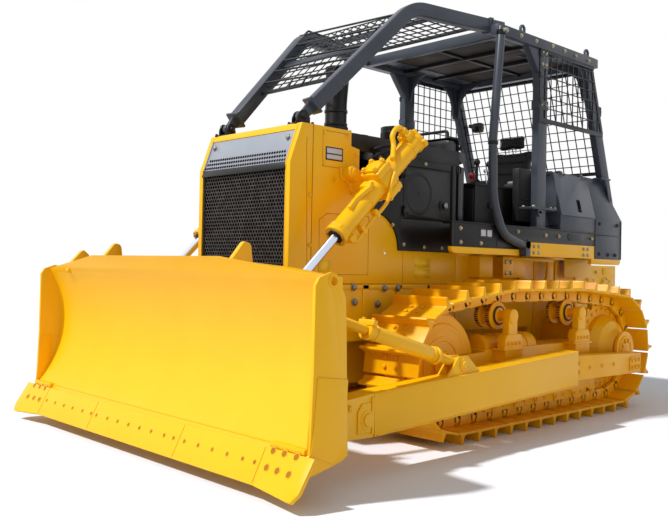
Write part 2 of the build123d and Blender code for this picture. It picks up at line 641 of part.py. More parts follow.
BEAM_THICK = 40
RIM_HEIGHT = 55  # of the rim below the skirt and of the rail below the tank
with BuildPart() as fender_beams:
    for x in both_sides((FENDER_HALF - BEAM_THICK, FENDER_HALF)):
        block(x, (SKIRT_REAR_Y, TANK_FRONT_Y - 4), (BEAM_BOTTOM, BEAM_TOP))
        block(x, (FLOOR_FRONT_Y, SKIRT_REAR_Y), (SKIRT_BOTTOM - RIM_HEIGHT, SKIRT_BOTTOM))
        block(x, (TANK_FRONT_Y - 60, TANK_REAR_Y - 15), (BEAM_BOTTOM - RIM_HEIGHT, BEAM_BOTTOM))
    for x in both_sides((CASE_HALF - 60, FENDER_HALF - BEAM_THICK)):
        for y in (560, 1500):
            block(x, (y, y + 140), (CASE_TOP, BEAM_TOP))
    for end in (0, -1):
        ends = fender_beams.edges().filter_by(Axis.X).group_by(Axis.Y)[end].group_by(Axis.Z)[0]
        fillet(ends, RIM_HEIGHT - 10)
save(fender_beams, "fender_beams")

# Boxes over the fenders; the outer wall leans in above the shoulder and carries the lid, which
# hangs on a pin along the top edge
LID_SHEET = 10
LID_EDGE = 30  # of the wall, left round the mouth
LID_PIN_R = 6
LID_KNUCKLE_R = 11
lean = atan2(FENDER_HALF - BOX_TOP_HALF, BOX_TOP - BOX_SHOULDER_Z)
box_y = (BOX_FRONT_Y, TANK_FRONT_Y - 4)
box_length = box_y[1] - box_y[0]


def leaning(inset, z):
    """Where the leaning outer wall's face is at height z, moved in by inset."""
    return FENDER_HALF - inset / cos(lean) - (z - BOX_SHOULDER_Z) * tan(lean)


def box_prism(corners, margin, mode=Mode.ADD):
    """A left-hand prism along a fender box, from corners in (x, z), short of its ends by margin."""
    with BuildSketch(Plane.XZ.offset(-box_y[1] + margin)) as section:
        Polygon(*corners, align=None)
    extrude(section.sketch, amount=box_length - 2 * margin, mode=mode)


def box_section(inset):
    """A fender box's section, with every wall moved in by inset."""
    low, high = FLOOR_TOP + inset, BOX_TOP - inset
    return (
        (BOX_INNER_HALF + inset, low), (FENDER_HALF - inset, low),
        (FENDER_HALF - inset, BOX_SHOULDER_Z), (leaning(inset, high), high), (BOX_INNER_HALF + inset, high),
    )


def lid_band(inner, outer, low, high):
    """A band along the leaning wall, between two distances from its face and two heights."""
    return ((leaning(inner, low), low), (leaning(outer, low), low), (leaning(outer, high), high),
            (leaning(inner, high), high))


lid_pin = (leaning(0, BOX_TOP) + LID_KNUCKLE_R + 1, BOX_TOP + LID_PIN_R)
knuckle_y = [box_y[0] + share * box_length for share in (0.2, 0.8)]
with BuildPart() as fender_box:
    box_prism(box_section(0), 0)
    box_prism(box_section(SHEET), SHEET, mode=Mode.SUBTRACT)
    box_prism(lid_band(2 * SHEET, -SHEET, BOX_SHOULDER_Z + LID_EDGE, BOX_TOP - LID_EDGE), LID_EDGE,
              mode=Mode.SUBTRACT)
    for y in knuckle_y:
        with BuildSketch(Plane.XZ.offset(-y - 30)) as pin:
            with Locations(lid_pin):
                Circle(LID_PIN_R)
        extrude(pin.sketch, amount=60)
        for end in (y - 40, y + 30):
            block((leaning(0, BOX_TOP) - 10, lid_pin[0] + LID_PIN_R), (end, end + 10),
                  (BOX_TOP - 2, lid_pin[1] + LID_PIN_R))
with BuildPart() as fender_boxes:
    add(fender_box.part)
    mirror(fender_box.part, about=Plane.YZ)
save(fender_boxes, "fender_boxes")

with BuildPart() as box_lid:
    box_prism(lid_band(-SEAT_GAP, -LID_SHEET, BOX_SHOULDER_Z, BOX_TOP - 14), PANEL_GAP)
    for y in knuckle_y:
        with BuildSketch(Plane.XZ.offset(-y - 20)) as knuckle:
            with Locations(lid_pin):
                Circle(LID_KNUCKLE_R)
            Polygon(*lid_band(-2, -LID_SHEET, BOX_TOP - 20, BOX_TOP + 2), align=None)
            with Locations(lid_pin):
                Circle(LID_PIN_R + RUN_GAP, mode=Mode.SUBTRACT)
        extrude(knuckle.sketch, amount=40)
save_pair(box_lid, "box_lid")

with BuildPart() as fuel_tank:
    tank_profile = (
        (TANK_FRONT_Y, BEAM_BOTTOM), (TANK_REAR_Y, BEAM_BOTTOM), (TANK_REAR_Y, BOX_SHOULDER_Z),
        (TANK_REAR_Y - TANK_SLOPE, BOX_TOP), (TANK_FRONT_Y, BOX_TOP),
    )
    plate(tank_profile, (-FENDER_HALF, FENDER_HALF))
    for side in (1, -1):
        with BuildSketch(Plane.XZ.offset(-TANK_REAR_Y - 10)) as wedge:
            Polygon((side * FENDER_HALF, BOX_SHOULDER_Z), (side * (BOX_TOP_HALF - 20), BOX_TOP + 80),
                    (side * (FENDER_HALF + 100), BOX_TOP + 80), (side * (FENDER_HALF + 100), BOX_SHOULDER_Z),
                    align=None)
        extrude(wedge.sketch, amount=TANK_REAR_Y - TANK_FRONT_Y + 20, mode=Mode.SUBTRACT)
    block((-CASE_HALF - 10, CASE_HALF + 10), (TANK_FRONT_Y - 10, TANK_REAR_Y + 10),
          (BEAM_BOTTOM - 10, FLOOR_TOP - 20), mode=Mode.SUBTRACT)
save(fuel_tank, "fuel_tank")

SEAT_Y = (1020, 1520)
CUSHION_BOTTOM = 2080
CUSHION_TOP = 2200
BACK_FOOT_Z = CUSHION_BOTTOM + 40
BACK_TOP = 2680
HEADREST_TOP = 2824
with BuildPart() as seat_base:
    block((-230, 230), (SEAT_Y[0] + 60, SEAT_Y[1] - 20), (FLOOR_TOP, CUSHION_BOTTOM))
    block((-120, 120), (SEAT_Y[1] - 20, SEAT_Y[1] + 60), (CUSHION_BOTTOM - 60, BACK_FOOT_Z))
save(seat_base, "seat_base")

with BuildPart() as seat_cushion:
    block((-255, 255), (SEAT_Y[0], SEAT_Y[1] - 21), (CUSHION_BOTTOM + SEAT_GAP, CUSHION_TOP))
    fillet(seat_cushion.edges().filter_by(Axis.Z), 50)
save(seat_cushion, "seat_cushion")

with BuildPart() as seat_back:
    foot = BACK_FOOT_Z + SEAT_GAP
    plate(((SEAT_Y[1], CUSHION_TOP + 20), (SEAT_Y[1] + 50, BACK_TOP), (SEAT_Y[1] + 140, BACK_TOP),
           (SEAT_Y[1] + 70, foot), (SEAT_Y[1] + 5, foot)), (-250, 250))
    block((-60, 60), (SEAT_Y[1] + 65, SEAT_Y[1] + 110), (BACK_TOP - 10, BACK_TOP + 20))
    block((-150, 150), (SEAT_Y[1] + 50, SEAT_Y[1] + 130), (BACK_TOP + 15, HEADREST_TOP))
save(seat_back, "seat_back")

with BuildPart() as consoles:
    for x in both_sides(CONSOLE_X):
        block(x, CONSOLE_Y, (FLOOR_TOP, CONSOLE_TOP))
save(consoles, "consoles")

with BuildPart() as levers:
    lever_x = (CONSOLE_X[0] + CONSOLE_X[1]) / 2
    for x, y in ((lever_x, 420), (lever_x, 620), (-lever_x, 420), (-lever_x, 560)):
        with Locations((x, y, CONSOLE_TOP)):
            Cylinder(14, 220, align=(Align.CENTER, Align.CENTER, Align.MIN))
            with Locations((0, 0, 225)):
                Sphere(32)
save(levers, "levers")

# ---------------------------------------------------------------------------------------------
# Canopy
# ---------------------------------------------------------------------------------------------

POST_DEPTH = POST_Y[1] - POST_Y[0]
REAR_POST_FOOT = (TANK_REAR_Y - 91, 2080)  # a point of the slanting rear posts' rear face
REAR_POST_HEAD_Y = ROOF_REAR_Y - 77
rear_post_rise = (REAR_POST_HEAD_Y - REAR_POST_FOOT[0]) / (ROOF_BOTTOM - REAR_POST_FOOT[1])
tank_slope = -TANK_SLOPE / (BOX_TOP - BOX_SHOULDER_Z)  # of the tank's rear, in y for each z


def rear_post_y(z):
    """Where the rear face of the slanting rear posts is at height z."""
    return REAR_POST_FOOT[0] + rear_post_rise * (z - REAR_POST_FOOT[1])


# where the rear face of the rear posts meets the tank's slope
seat_z = BOX_SHOULDER_Z + (TANK_REAR_Y - rear_post_y(BOX_SHOULDER_Z)) / (rear_post_rise - tank_slope)
GUSSET = (190, 230)  # length and height of the front posts' gussets
POST_FLANGE_Z = 1945
with BuildPart() as canopy_posts:
    for x in both_sides(POST_X):
        block(x, POST_Y, (FLOOR_TOP, ROOF_BOTTOM))
        plate(near((POST_Y[0], ROOF_BOTTOM), (0, -GUSSET[1]), (-GUSSET[0], 0), (0, 0)), x)
        plate(((rear_post_y(BOX_TOP) - POST_DEPTH, BOX_TOP), (TANK_REAR_Y - TANK_SLOPE, BOX_TOP),
               (rear_post_y(seat_z), seat_z), (REAR_POST_HEAD_Y, ROOF_BOTTOM),
               (REAR_POST_HEAD_Y - POST_DEPTH, ROOF_BOTTOM)), x)
    for x in both_sides((POST_X[0] - 50, POST_X[1] + 30)):
        block(x, (POST_Y[0] - 120, BOX_FRONT_Y - 15), (POST_FLANGE_Z, POST_FLANGE_Z + 20))
save(canopy_posts, "canopy_posts")

with BuildPart() as canopy_roof:
    block((-ROOF_HALF, ROOF_HALF), (ROOF_FRONT_Y, ROOF_REAR_Y), (ROOF_BOTTOM, ROOF_TOP))
    block((-ROOF_HALF + 90, ROOF_HALF - 90), (ROOF_FRONT_Y + 70, ROOF_REAR_Y - 90),
          (ROOF_BOTTOM - 1, ROOF_TOP - SHEET), mode=Mode.SUBTRACT)
    for x in both_sides(EYE_PLATE_X):
        for y in EYE_PLATE_Y:
            block(x, (y - EYE_PLATE_R, y + EYE_PLATE_R), (ROOF_TOP - 1, ROOF_TOP + EYE_RISE))
            disc(y, ROOF_TOP + EYE_RISE, EYE_PLATE_R, x)
            disc(y, ROOF_TOP + EYE_RISE, LIFTING_HOLE_R, x, mode=Mode.SUBTRACT)
save(canopy_roof, "canopy_roof")

# Limb risers: box beams that spread from feet on the radiator guard to the roof's front corners
RISER_SPREAD = 0.19  # sideways travel for each length along the machine
RISER_FOOT_X = 462
RISER_FOOT_Y = -1934
RISER_WIDTH = 100
RISER_DEPTH = 115
RISER_LOW = (72, 2525)  # middle line: distance behind the foot, height
RISER_BEND = (1085, ROOF_TOP - 31)
spread = sqrt(1 + RISER_SPREAD**2)
riser_plane = Plane((RISER_FOOT_X, RISER_FOOT_Y, 0), x_dir=(RISER_SPREAD, 1, 0), z_dir=(1, -RISER_SPREAD, 0))
with BuildPart() as riser_left:
    with BuildSketch(riser_plane.offset(-RISER_WIDTH / 2)) as beam:
        with BuildLine() as middle:
            FilletPolyline(RISER_LOW, RISER_BEND, ((ROOF_FRONT_Y - RISER_FOOT_Y) * spread + RISER_WIDTH,
                                                   RISER_BEND[1]), radius=330)
        trace(line_width=RISER_DEPTH)
    extrude(beam.sketch, amount=RISER_WIDTH)
    with BuildSketch(riser_plane.offset(-RISER_WIDTH / 2 - 12)) as foot:
        Polygon((-60, HOOD_TOP), (-60, 2500), (20, 2600), (130, 2590), (140, HOOD_TOP), align=None)
    extrude(foot.sketch, amount=RISER_WIDTH + 24)
    block((0, 2 * ROOF_HALF), (ROOF_FRONT_Y, ROOF_REAR_Y), (ROOF_BOTTOM - 100, ROOF_TOP + 100),
          mode=Mode.SUBTRACT)
with BuildPart() as limb_risers:
    add(riser_left.part)
    mirror(riser_left.part, about=Plane.YZ)
save(limb_risers, "limb_risers")


def riser_inner_x(y):
    """Half the width between the two limb risers at y."""
    return RISER_FOOT_X + RISER_SPREAD * (y - RISER_FOOT_Y) - RISER_WIDTH / 2 * spread


def screen(plane, width, height):
    """A mesh of square bars, width by height, on a plane; bars lie on its cell lines."""
    columns = max(2, round(width / WIRE_PITCH) + 1)
    rows = max(2, round(height / WIRE_PITCH) + 1)
    with Locations(plane):
        with GridLocations((width - WIRE) / (columns - 1), 1, columns, 1):
            Box(WIRE, height, WIRE)
        with GridLocations(1, (height - WIRE) / (rows - 1), 1, rows):
            Box(width, WIRE, WIRE)


with BuildPart() as canopy_screens:
    low_z = ROOF_BOTTOM - SIDE_SCREEN_HEIGHT
    columns = int((rear_post_y(low_z) - POST_Y[0]) / WIRE_PITCH)
    for x in both_sides((POST_X[1] + SEAT_GAP, POST_X[1] + SEAT_GAP + WIRE)):
        for column in range(1, columns):
            y = POST_Y[0] + column * WIRE_PITCH
            high_z = min(ROOF_BOTTOM, REAR_POST_FOOT[1] + (y - REAR_POST_FOOT[0]) / rear_post_rise)
            block(x, (y - WIRE / 2, y + WIRE / 2), (low_z, high_z))
        for row in range(1, int(SIDE_SCREEN_HEIGHT / WIRE_PITCH) + 1):
            z = low_z + row * WIRE_PITCH
            block(x, (POST_Y[0], rear_post_y(z)), (z - WIRE / 2, z + WIRE / 2))
        block(x, (POST_Y[0], rear_post_y(low_z)), (low_z - SCREEN_RAIL, low_z))
        block(x, (POST_Y[0], POST_Y[0] + SCREEN_RAIL), (low_z, ROOF_BOTTOM))
        plate(((rear_post_y(low_z), low_z), (REAR_POST_HEAD_Y, ROOF_BOTTOM),
               (REAR_POST_HEAD_Y - SCREEN_RAIL, ROOF_BOTTOM), (rear_post_y(low_z) - SCREEN_RAIL, low_z)), x)
    rear_low = (rear_post_y(BOX_TOP) - POST_DEPTH / 2, BOX_TOP)
    rear_high = (rear_post_y(ROOF_BOTTOM) - POST_DEPTH / 2, ROOF_BOTTOM)
    rear_height = hypot(rear_high[0] - rear_low[0], rear_high[1] - rear_low[1])
    rear_plane = Plane((0, (rear_low[0] + rear_high[0]) / 2, (BOX_TOP + ROOF_BOTTOM) / 2), x_dir=(1, 0, 0),
                       z_dir=(0, -(rear_high[1] - rear_low[1]), rear_high[0] - rear_low[0]))
    screen(rear_plane, 2 * POST_X[0] - 1, rear_height - 120)
save(canopy_screens, "canopy_screens")

# The front screen climbs with the risers' slope and widens with them, then lies level
SCREEN_START_Y = -1501
SCREEN_BEND_Y = -880
SCREEN_END_Y = -150
SCREEN_TOP = RISER_BEND[1] - 29
riser_rise = (RISER_BEND[1] - RISER_LOW[1]) / (RISER_BEND[0] - RISER_LOW[0]) * spread
FRAME_BAR = 30
with BuildPart() as riser_screen:
    def screen_z(y):
        """The front screen's height at y."""
        return SCREEN_TOP - max(0, SCREEN_BEND_Y - y) * riser_rise

    slope_rows = round((SCREEN_BEND_Y - SCREEN_START_Y) * hypot(1, riser_rise) / WIRE_PITCH)
    level_rows = round((SCREEN_END_Y - SCREEN_BEND_Y) / WIRE_PITCH)
    rows = [SCREEN_START_Y + k * (SCREEN_BEND_Y - SCREEN_START_Y) / slope_rows for k in range(slope_rows)]
    rows += [SCREEN_BEND_Y + k * (SCREEN_END_Y - SCREEN_BEND_Y) / level_rows for k in range(level_rows + 1)]
    for y in rows:
        half = riser_inner_x(y - WIRE) - SEAT_GAP
        bar = FRAME_BAR if y in (SCREEN_START_Y, SCREEN_END_Y) else WIRE
        with Locations((0, y, screen_z(y))):
            Box(2 * half, bar if bar == WIRE else WIRE * 2, bar)
    columns = int(riser_inner_x(SCREEN_END_Y) / WIRE_PITCH)
    for column in range(-columns, columns + 1):
        x = column * WIRE_PITCH
        first = max(SCREEN_START_Y, RISER_FOOT_Y + (abs(x) + 60 - riser_inner_x(RISER_FOOT_Y)) / RISER_SPREAD)
        wire = [(SCREEN_END_Y, SCREEN_TOP - WIRE / 2), (SCREEN_END_Y, SCREEN_TOP + WIRE / 2)]
        if first < SCREEN_BEND_Y:
            wire += [(SCREEN_BEND_Y, SCREEN_TOP + WIRE / 2), (first, screen_z(first) + WIRE / 2),
                     (first, screen_z(first) - WIRE / 2), (SCREEN_BEND_Y, SCREEN_TOP - WIRE / 2)]
        else:
            wire += [(first, SCREEN_TOP + WIRE / 2), (first, SCREEN_TOP - WIRE / 2)]
        plate(wire, (x - WIRE / 2, x + WIRE / 2))
save(riser_screen, "riser_screen")

BRACE_R = 38
brace_x = FENDER_HALF + BRACE_R
BRACE_TOP_Y = -8
BRACE_FOOT_Y = SKIRT_REAR_Y - 60
clamp_x = RISER_FOOT_X + RISER_SPREAD * (BRACE_TOP_Y + 40 - RISER_FOOT_Y) + RISER_WIDTH / 2 * spread + SEAT_GAP
with BuildPart() as brace_left:
    with BuildLine() as tube_path:
        FilletPolyline(
            (brace_x, BRACE_TOP_Y, ROOF_TOP - 60), (brace_x, -108, 2480), (brace_x, -85, 1960),
            (brace_x, 70, 1672), (brace_x, BRACE_FOOT_Y, SKIRT_BOTTOM + 26), radius=(900, 500, 250),
        )
    with BuildSketch(Plane(tube_path.line @ 0, z_dir=tube_path.line % 0)):
        Circle(BRACE_R)
    sweep()
    block((clamp_x, brace_x), (BRACE_TOP_Y - 45, BRACE_TOP_Y + 40), (ROOF_TOP - 130, ROOF_TOP - 40))
    block((FENDER_HALF, brace_x + BRACE_R), (BRACE_FOOT_Y - 60, BRACE_FOOT_Y + 10),
          (SKIRT_BOTTOM - 60, SKIRT_BOTTOM + 75))
with BuildPart() as brace_tubes:
    add(brace_left.part)
    mirror(brace_left.part, about=Plane.YZ)
save(brace_tubes, "brace_tubes")

# ---------------------------------------------------------------------------------------------
# Blade, push arms and lift cylinders
# ---------------------------------------------------------------------------------------------

FACE_TOP = (-2910, BLADE_TOP)
FACE_LOW = (-2935, 290)
FACE_HOLLOW = 205  # depth of the skin's curve
SKIN = 22
END_PLATE = 25
SHOULDER_HALF = 843  # half the level stretch of the top edge
SHOULDER_Z = 1297  # height of the top edge's ends
RIB = 32
EAR_THICK = 40
TIE_HOLE_R = 26
LIFT_EAR_GAP = 43  # from the lift rib pair's middle to each rib
BRACE_EAR_GAP = 36
ARM_JOINT_Y = -2140  # where the push arms are joined to the feet on the mouldboard
BRACE_PIN = (ARM_MIDDLE, -1163, 663)  # where each brace tube is pinned to its arm
BRACE_TOP = (ARM_MIDDLE - 45, -2610, 1094)  # and to the mouldboard

# The edges lie along the skin's foot and reach forward and down from it
EDGE_INNER = 1437
END_BIT_HALF = 1862
EDGE_THICK = 26
EDGE_TOP = (FACE_LOW[0] - 20, FACE_LOW[1] + 10)
EDGE_TIP = (-3061, 91)
END_BIT_TIP = (-3100, 75)


def edge_line(tip, depth, share=1.0):
    """A point behind the edges' front: on the line from EDGE_TOP to tip, depth behind it."""
    slant = atan2(EDGE_TOP[1] - tip[1], EDGE_TOP[0] - tip[0])
    return (EDGE_TOP[0] + share * (tip[0] - EDGE_TOP[0]) + depth * sin(slant),
            EDGE_TOP[1] + share * (tip[1] - EDGE_TOP[1]) - depth * cos(slant))


def edge_strip(stations, corners):
    """A strip along the edges, from (x, tip) stations and corners of (depth, share)."""
    sections = []
    for x, tip in stations:
        with BuildSketch(Plane.YZ.offset(x)) as section:
            with BuildLine():
                Polyline(*(edge_line(tip, depth, share) for depth, share in corners), close=True)
            make_face()
        sections.append(section.sketch)
    loft(sections, ruled=True)


# The end bits run down to the outer tips, whose lower corners are cut back
CORNER_TIP = edge_line(END_BIT_TIP, 0, 0.78)
LIP_STATIONS = ((EDGE_INNER, EDGE_TIP), (BLADE_HALF, END_BIT_TIP))
END_STATIONS = LIP_STATIONS + ((END_BIT_HALF - 35, END_BIT_TIP), (END_BIT_HALF, CORNER_TIP))
edge_corners = ((0, 0), (0, 1), (EDGE_THICK, 1), (EDGE_THICK, 0))
with BuildPart() as cutting_edge:
    edge_strip(((-EDGE_INNER, EDGE_TIP), (EDGE_INNER, EDGE_TIP)), edge_corners)
    for side in (1, -1):
        edge_strip([(side * x, tip) for x, tip in END_STATIONS], edge_corners)
save(cutting_edge, "cutting_edge")

face_mid = ((FACE_TOP[0] + FACE_LOW[0]) / 2 + FACE_HOLLOW, (FACE_TOP[1] + FACE_LOW[1]) / 2)
with BuildPart() as mouldboard:
    with BuildSketch(Plane.YZ.offset(-BLADE_HALF)) as skin:
        with BuildLine():
            ThreePointArc(FACE_LOW, face_mid, FACE_TOP)
            Line(FACE_TOP, (FACE_TOP[0] + SKIN, FACE_TOP[1]))
            ThreePointArc((FACE_TOP[0] + SKIN, FACE_TOP[1]), (face_mid[0] + SKIN, face_mid[1]),
                          (FACE_LOW[0] + SKIN, FACE_LOW[1]))
            Line((FACE_LOW[0] + SKIN, FACE_LOW[1]), FACE_LOW)
        make_face()
    extrude(skin.sketch, amount=2 * BLADE_HALF)
    # box beams along the back, the lower one with the lip that carries the edges
    plate(near(FACE_LOW, (10, 10), (65, 210), (295, 230), (305, -20), (35, -28)), (-BLADE_HALF, BLADE_HALF))
    plate(near(FACE_TOP, (20, -29), (215, -64), (215, -234), (80, -264)), (-BLADE_HALF, BLADE_HALF))
    for side in (1, -1):
        for low in (-LIFT_EAR_GAP - RIB, LIFT_EAR_GAP):
            rib = near(FACE_TOP, (50, -74), (215, -64))
            rib += near((ROD_EYE_Y, ROD_EYE_Z), (75, 54), (75, -66), (-115, -246), (-315, -246))
            plate(rib, (side * LIFT_X + low, side * LIFT_X + low + RIB))
        for low in (-BRACE_EAR_GAP - RIB, BRACE_EAR_GAP):
            rib = near(FACE_TOP, (50, -114), (215, -134))
            rib += near(BRACE_TOP[1:], (50, 86), (50, -44), (-90, -194), (-190, -194))
            plate(rib, (side * BRACE_TOP[0] + low, side * BRACE_TOP[0] + low + RIB))
    # nothing stands in front of the skin
    with BuildSketch(Plane.YZ.offset(-BLADE_HALF)) as front_side:
        with BuildLine():
            ThreePointArc(FACE_LOW, face_mid, FACE_TOP)
            Polyline(FACE_TOP, *near(FACE_TOP, (-FACE_HOLLOW, 0)), *near(FACE_LOW, (-FACE_HOLLOW, 0)), FACE_LOW)
        make_face()
    extrude(front_side.sketch, amount=2 * BLADE_HALF, mode=Mode.SUBTRACT)
    reach = EDGE_THICK + SEAT_GAP
    lip_corners = ((reach, 0.05), (reach, 0.6), (reach + 26, 0.6), (reach + 80, 0.1))
    edge_strip(((-EDGE_INNER, EDGE_TIP), (EDGE_INNER, EDGE_TIP)), lip_corners)
    for side in (1, -1):
        edge_strip([(side * x, tip) for x, tip in LIP_STATIONS], lip_corners)
    for side in (1, -1):
        with BuildSketch(Plane.XZ.offset(-FACE_TOP[0] + 100)) as shoulder:
            Polygon((side * SHOULDER_HALF, BLADE_TOP), (side * (BLADE_HALF + 1), SHOULDER_Z),
                    (side * (BLADE_HALF + 1), BLADE_TOP + 1), (side * SHOULDER_HALF, BLADE_TOP + 1),
                    align=None)
        extrude(shoulder.sketch, amount=-400, mode=Mode.SUBTRACT)
    for x in both_sides((BLADE_HALF - END_PLATE, BLADE_HALF)):
        front = near(FACE_LOW, (27, 460), (14, 98), (7, -20), (-5, -115), (173, -78), (260, -55), (308, -30))
        rear = near(FACE_TOP, (251, -360), (243, -233), (206, -159), (165, -93), (129, -85))
        plate(((FACE_TOP[0] + 34, SHOULDER_Z), *near(FACE_TOP, (4, -166)), *front, *rear), x)
        disc(FACE_TOP[0] + 142, FACE_TOP[1] - 136, TIE_HOLE_R, x, mode=Mode.SUBTRACT)
    # ears stand over the top edge at the lift cylinders, and on the right at the brace
    for x in both_sides((LIFT_X - EAR_THICK / 2, LIFT_X + EAR_THICK / 2)):
        plate(near(FACE_TOP, (60, -80), (105, -9), (190, 92), (205, 101), (240, 92), (254, 72), (270, -42),
                   (250, -232), (190, -232)), x)
    plate(near(FACE_TOP, (60, -130), (109, -42), (190, 42), (210, 45), (255, 7), (262, -60), (240, -200),
               (190, -200)), (-BRACE_TOP[0] - EAR_THICK / 2, -BRACE_TOP[0] + EAR_THICK / 2))
    for x in both_sides(ARM_X):
        foot = near(FACE_LOW, (295, 210), (295, -15))
        plate((foot[0], (ARM_JOINT_Y, 545), (ARM_JOINT_Y, 262), foot[1]), x)
save(mouldboard, "mouldboard")

BRACE_TUBE_R = 30
BRACE_COLLAR_R = 52
BRACE_BOSS_R = 46
with BuildPart() as push_arm:
    arm_rear = near((ARM_PIVOT_Y, ARM_PIVOT_Z), (145, -150), (145, 151))
    plate(((ARM_JOINT_Y + 7, 547), (ARM_JOINT_Y + 15, 262), *arm_rear), ARM_X)
    disc(ARM_PIVOT_Y, ARM_PIVOT_Z, ARM_PIN_R + RUN_GAP, (ARM_X[0] - 1, ARM_X[1] - 15), mode=Mode.SUBTRACT)
    for low in (ARM_MIDDLE - BRACE_EAR_GAP - RIB / 2, ARM_MIDDLE + BRACE_EAR_GAP):
        plate(near(BRACE_PIN[1:], (-197, -93), (-60, 62), (50, 62), (203, -63)), (low, low + RIB / 2))
with BuildPart() as push_arms:
    add(push_arm.part)
    mirror(push_arm.part, about=Plane.YZ)
save(push_arms, "push_arms")

brace_run = Vector(*BRACE_TOP) - Vector(*BRACE_PIN)
brace_plane = Plane(BRACE_PIN, z_dir=brace_run)
with BuildPart() as blade_brace:
    for radius, start, end in ((BRACE_TUBE_R, 0, 1), (BRACE_COLLAR_R, 0.17, 0.66),
                               (BRACE_COLLAR_R, 0.86, 0.94)):
        with BuildSketch(brace_plane.offset(start * brace_run.length)):
            Circle(radius)
        extrude(amount=(end - start) * brace_run.length)
    for x, y, z in (BRACE_PIN, BRACE_TOP):
        disc(y, z, BRACE_BOSS_R, (x - BRACE_EAR_GAP, x + BRACE_EAR_GAP))
with BuildPart() as blade_braces:
    add(blade_brace.part)
    mirror(blade_brace.part, about=Plane.YZ)
save(blade_braces, "blade_braces")

# Lift cylinders: a yoke round each barrel turns on a stem in a bracket on the engine cover's side
STEM_R = 45
YOKE_R = BARREL_R + 28
EYE_R = 62
EYE_HALF = 32
GLAND_DEPTH = 60
HEAD_WALL = 25
BORE_R = ROD_R + 25
PISTON_LENGTH = 40
cylinder_axis = Plane((LIFT_X, LIFT_PIVOT_Y, LIFT_PIVOT_Z), x_dir=(1, 0, 0),
                      z_dir=(0, -cos(radians(LIFT_ANGLE)), -sin(radians(LIFT_ANGLE))))


def along_cylinder(radius, start, end, mode=Mode.ADD):
    """A round length of a lift cylinder, between two distances from its pivot towards the blade."""
    with BuildSketch(cylinder_axis.offset(start)) as face:
        Circle(radius)
    extrude(face.sketch, amount=end - start, mode=mode)


with BuildPart() as lift_barrel:
    along_cylinder(BARREL_R, -HEAD_REACH, GLAND_REACH)
    along_cylinder(YOKE_R, -75, 75)
    along_cylinder(BARREL_R + 9, -HEAD_REACH, -HEAD_REACH + 45)
    along_cylinder(BARREL_R + 9, GLAND_REACH - 60, GLAND_REACH)
    disc(LIFT_PIVOT_Y, LIFT_PIVOT_Z, STEM_R, (HOOD_HALF + 10, LIFT_X - BARREL_R + 10))
    along_cylinder(BORE_R, -HEAD_REACH + HEAD_WALL, GLAND_REACH - GLAND_DEPTH, mode=Mode.SUBTRACT)
    along_cylinder(ROD_R + RUN_GAP, GLAND_REACH - GLAND_DEPTH - 1, GLAND_REACH, mode=Mode.SUBTRACT)
save_pair(lift_barrel, "lift_barrel")

with BuildPart() as lift_rod:
    along_cylinder(ROD_R, PISTON_PLACE, LIFT_LENGTH - EYE_R + 8)
    along_cylinder(BORE_R - 2, PISTON_PLACE, PISTON_PLACE + PISTON_LENGTH)
    disc(ROD_EYE_Y, ROD_EYE_Z, EYE_R, (LIFT_X - EYE_HALF, LIFT_X + EYE_HALF))
    disc(ROD_EYE_Y, ROD_EYE_Z, EYE_R / 2, (LIFT_X - ROD_R, LIFT_X + ROD_R), mode=Mode.SUBTRACT)
save_pair(lift_rod, "lift_rod")

with BuildPart() as cylinder_brackets:
    for x in both_sides((HOOD_HALF + SEAT_GAP, HOOD_HALF + 105)):
        disc(LIFT_PIVOT_Y, LIFT_PIVOT_Z, 85, x)
        disc(LIFT_PIVOT_Y, LIFT_PIVOT_Z, STEM_R + RUN_GAP, (x[0] - 200, x[1] + 200), mode=Mode.SUBTRACT)
save(cylinder_brackets, "cylinder_brackets")

# ---------------------------------------------------------------------------------------------
# Winch
# ---------------------------------------------------------------------------------------------

WINCH_BOTTOM = 720
HITCH_Y = 2990
HITCH_HALF = 110
HITCH_HOLE_R = 28
with BuildPart() as winch_frame:
    for x in both_sides((WINCH_HALF - WINCH_PLATE, WINCH_HALF)):
        with BuildSketch(Plane.YZ.offset(x[0])) as cheek:
            with BuildLine():
                Polyline((CASE_REAR_Y, WINCH_BOTTOM), (CASE_REAR_Y, WINCH_TOP), (WINCH_REAR_Y, WINCH_TOP),
                         (WINCH_REAR_Y, WINCH_BOTTOM + 150), (WINCH_REAR_Y - 150, WINCH_BOTTOM), close=True)
            make_face()
            fillet(cheek.vertices().group_by(Axis.Y)[-1].sort_by(Axis.X)[0:1], 120)
        extrude(cheek.sketch, amount=WINCH_PLATE)
        disc(DRUM_Y, DRUM_Z, 60 + RUN_GAP, (x[0] - 1, x[1] + 1), mode=Mode.SUBTRACT)
    block((-WINCH_HALF, WINCH_HALF), (CASE_REAR_Y, CASE_REAR_Y + 300), (WINCH_BOTTOM, WINCH_TOP - 60))
    floor_z = (WINCH_BOTTOM, WINCH_BOTTOM + WINCH_PLATE)
    block((-WINCH_HALF, WINCH_HALF), (CASE_REAR_Y, WINCH_REAR_Y - 150), floor_z)
    block((-HITCH_HALF, HITCH_HALF), (CASE_REAR_Y, HITCH_Y + 70), floor_z)
    with Locations((0, HITCH_Y, WINCH_BOTTOM + WINCH_PLATE / 2)):
        Cylinder(HITCH_HOLE_R, 2 * WINCH_PLATE, mode=Mode.SUBTRACT)
save(winch_frame, "winch_frame")

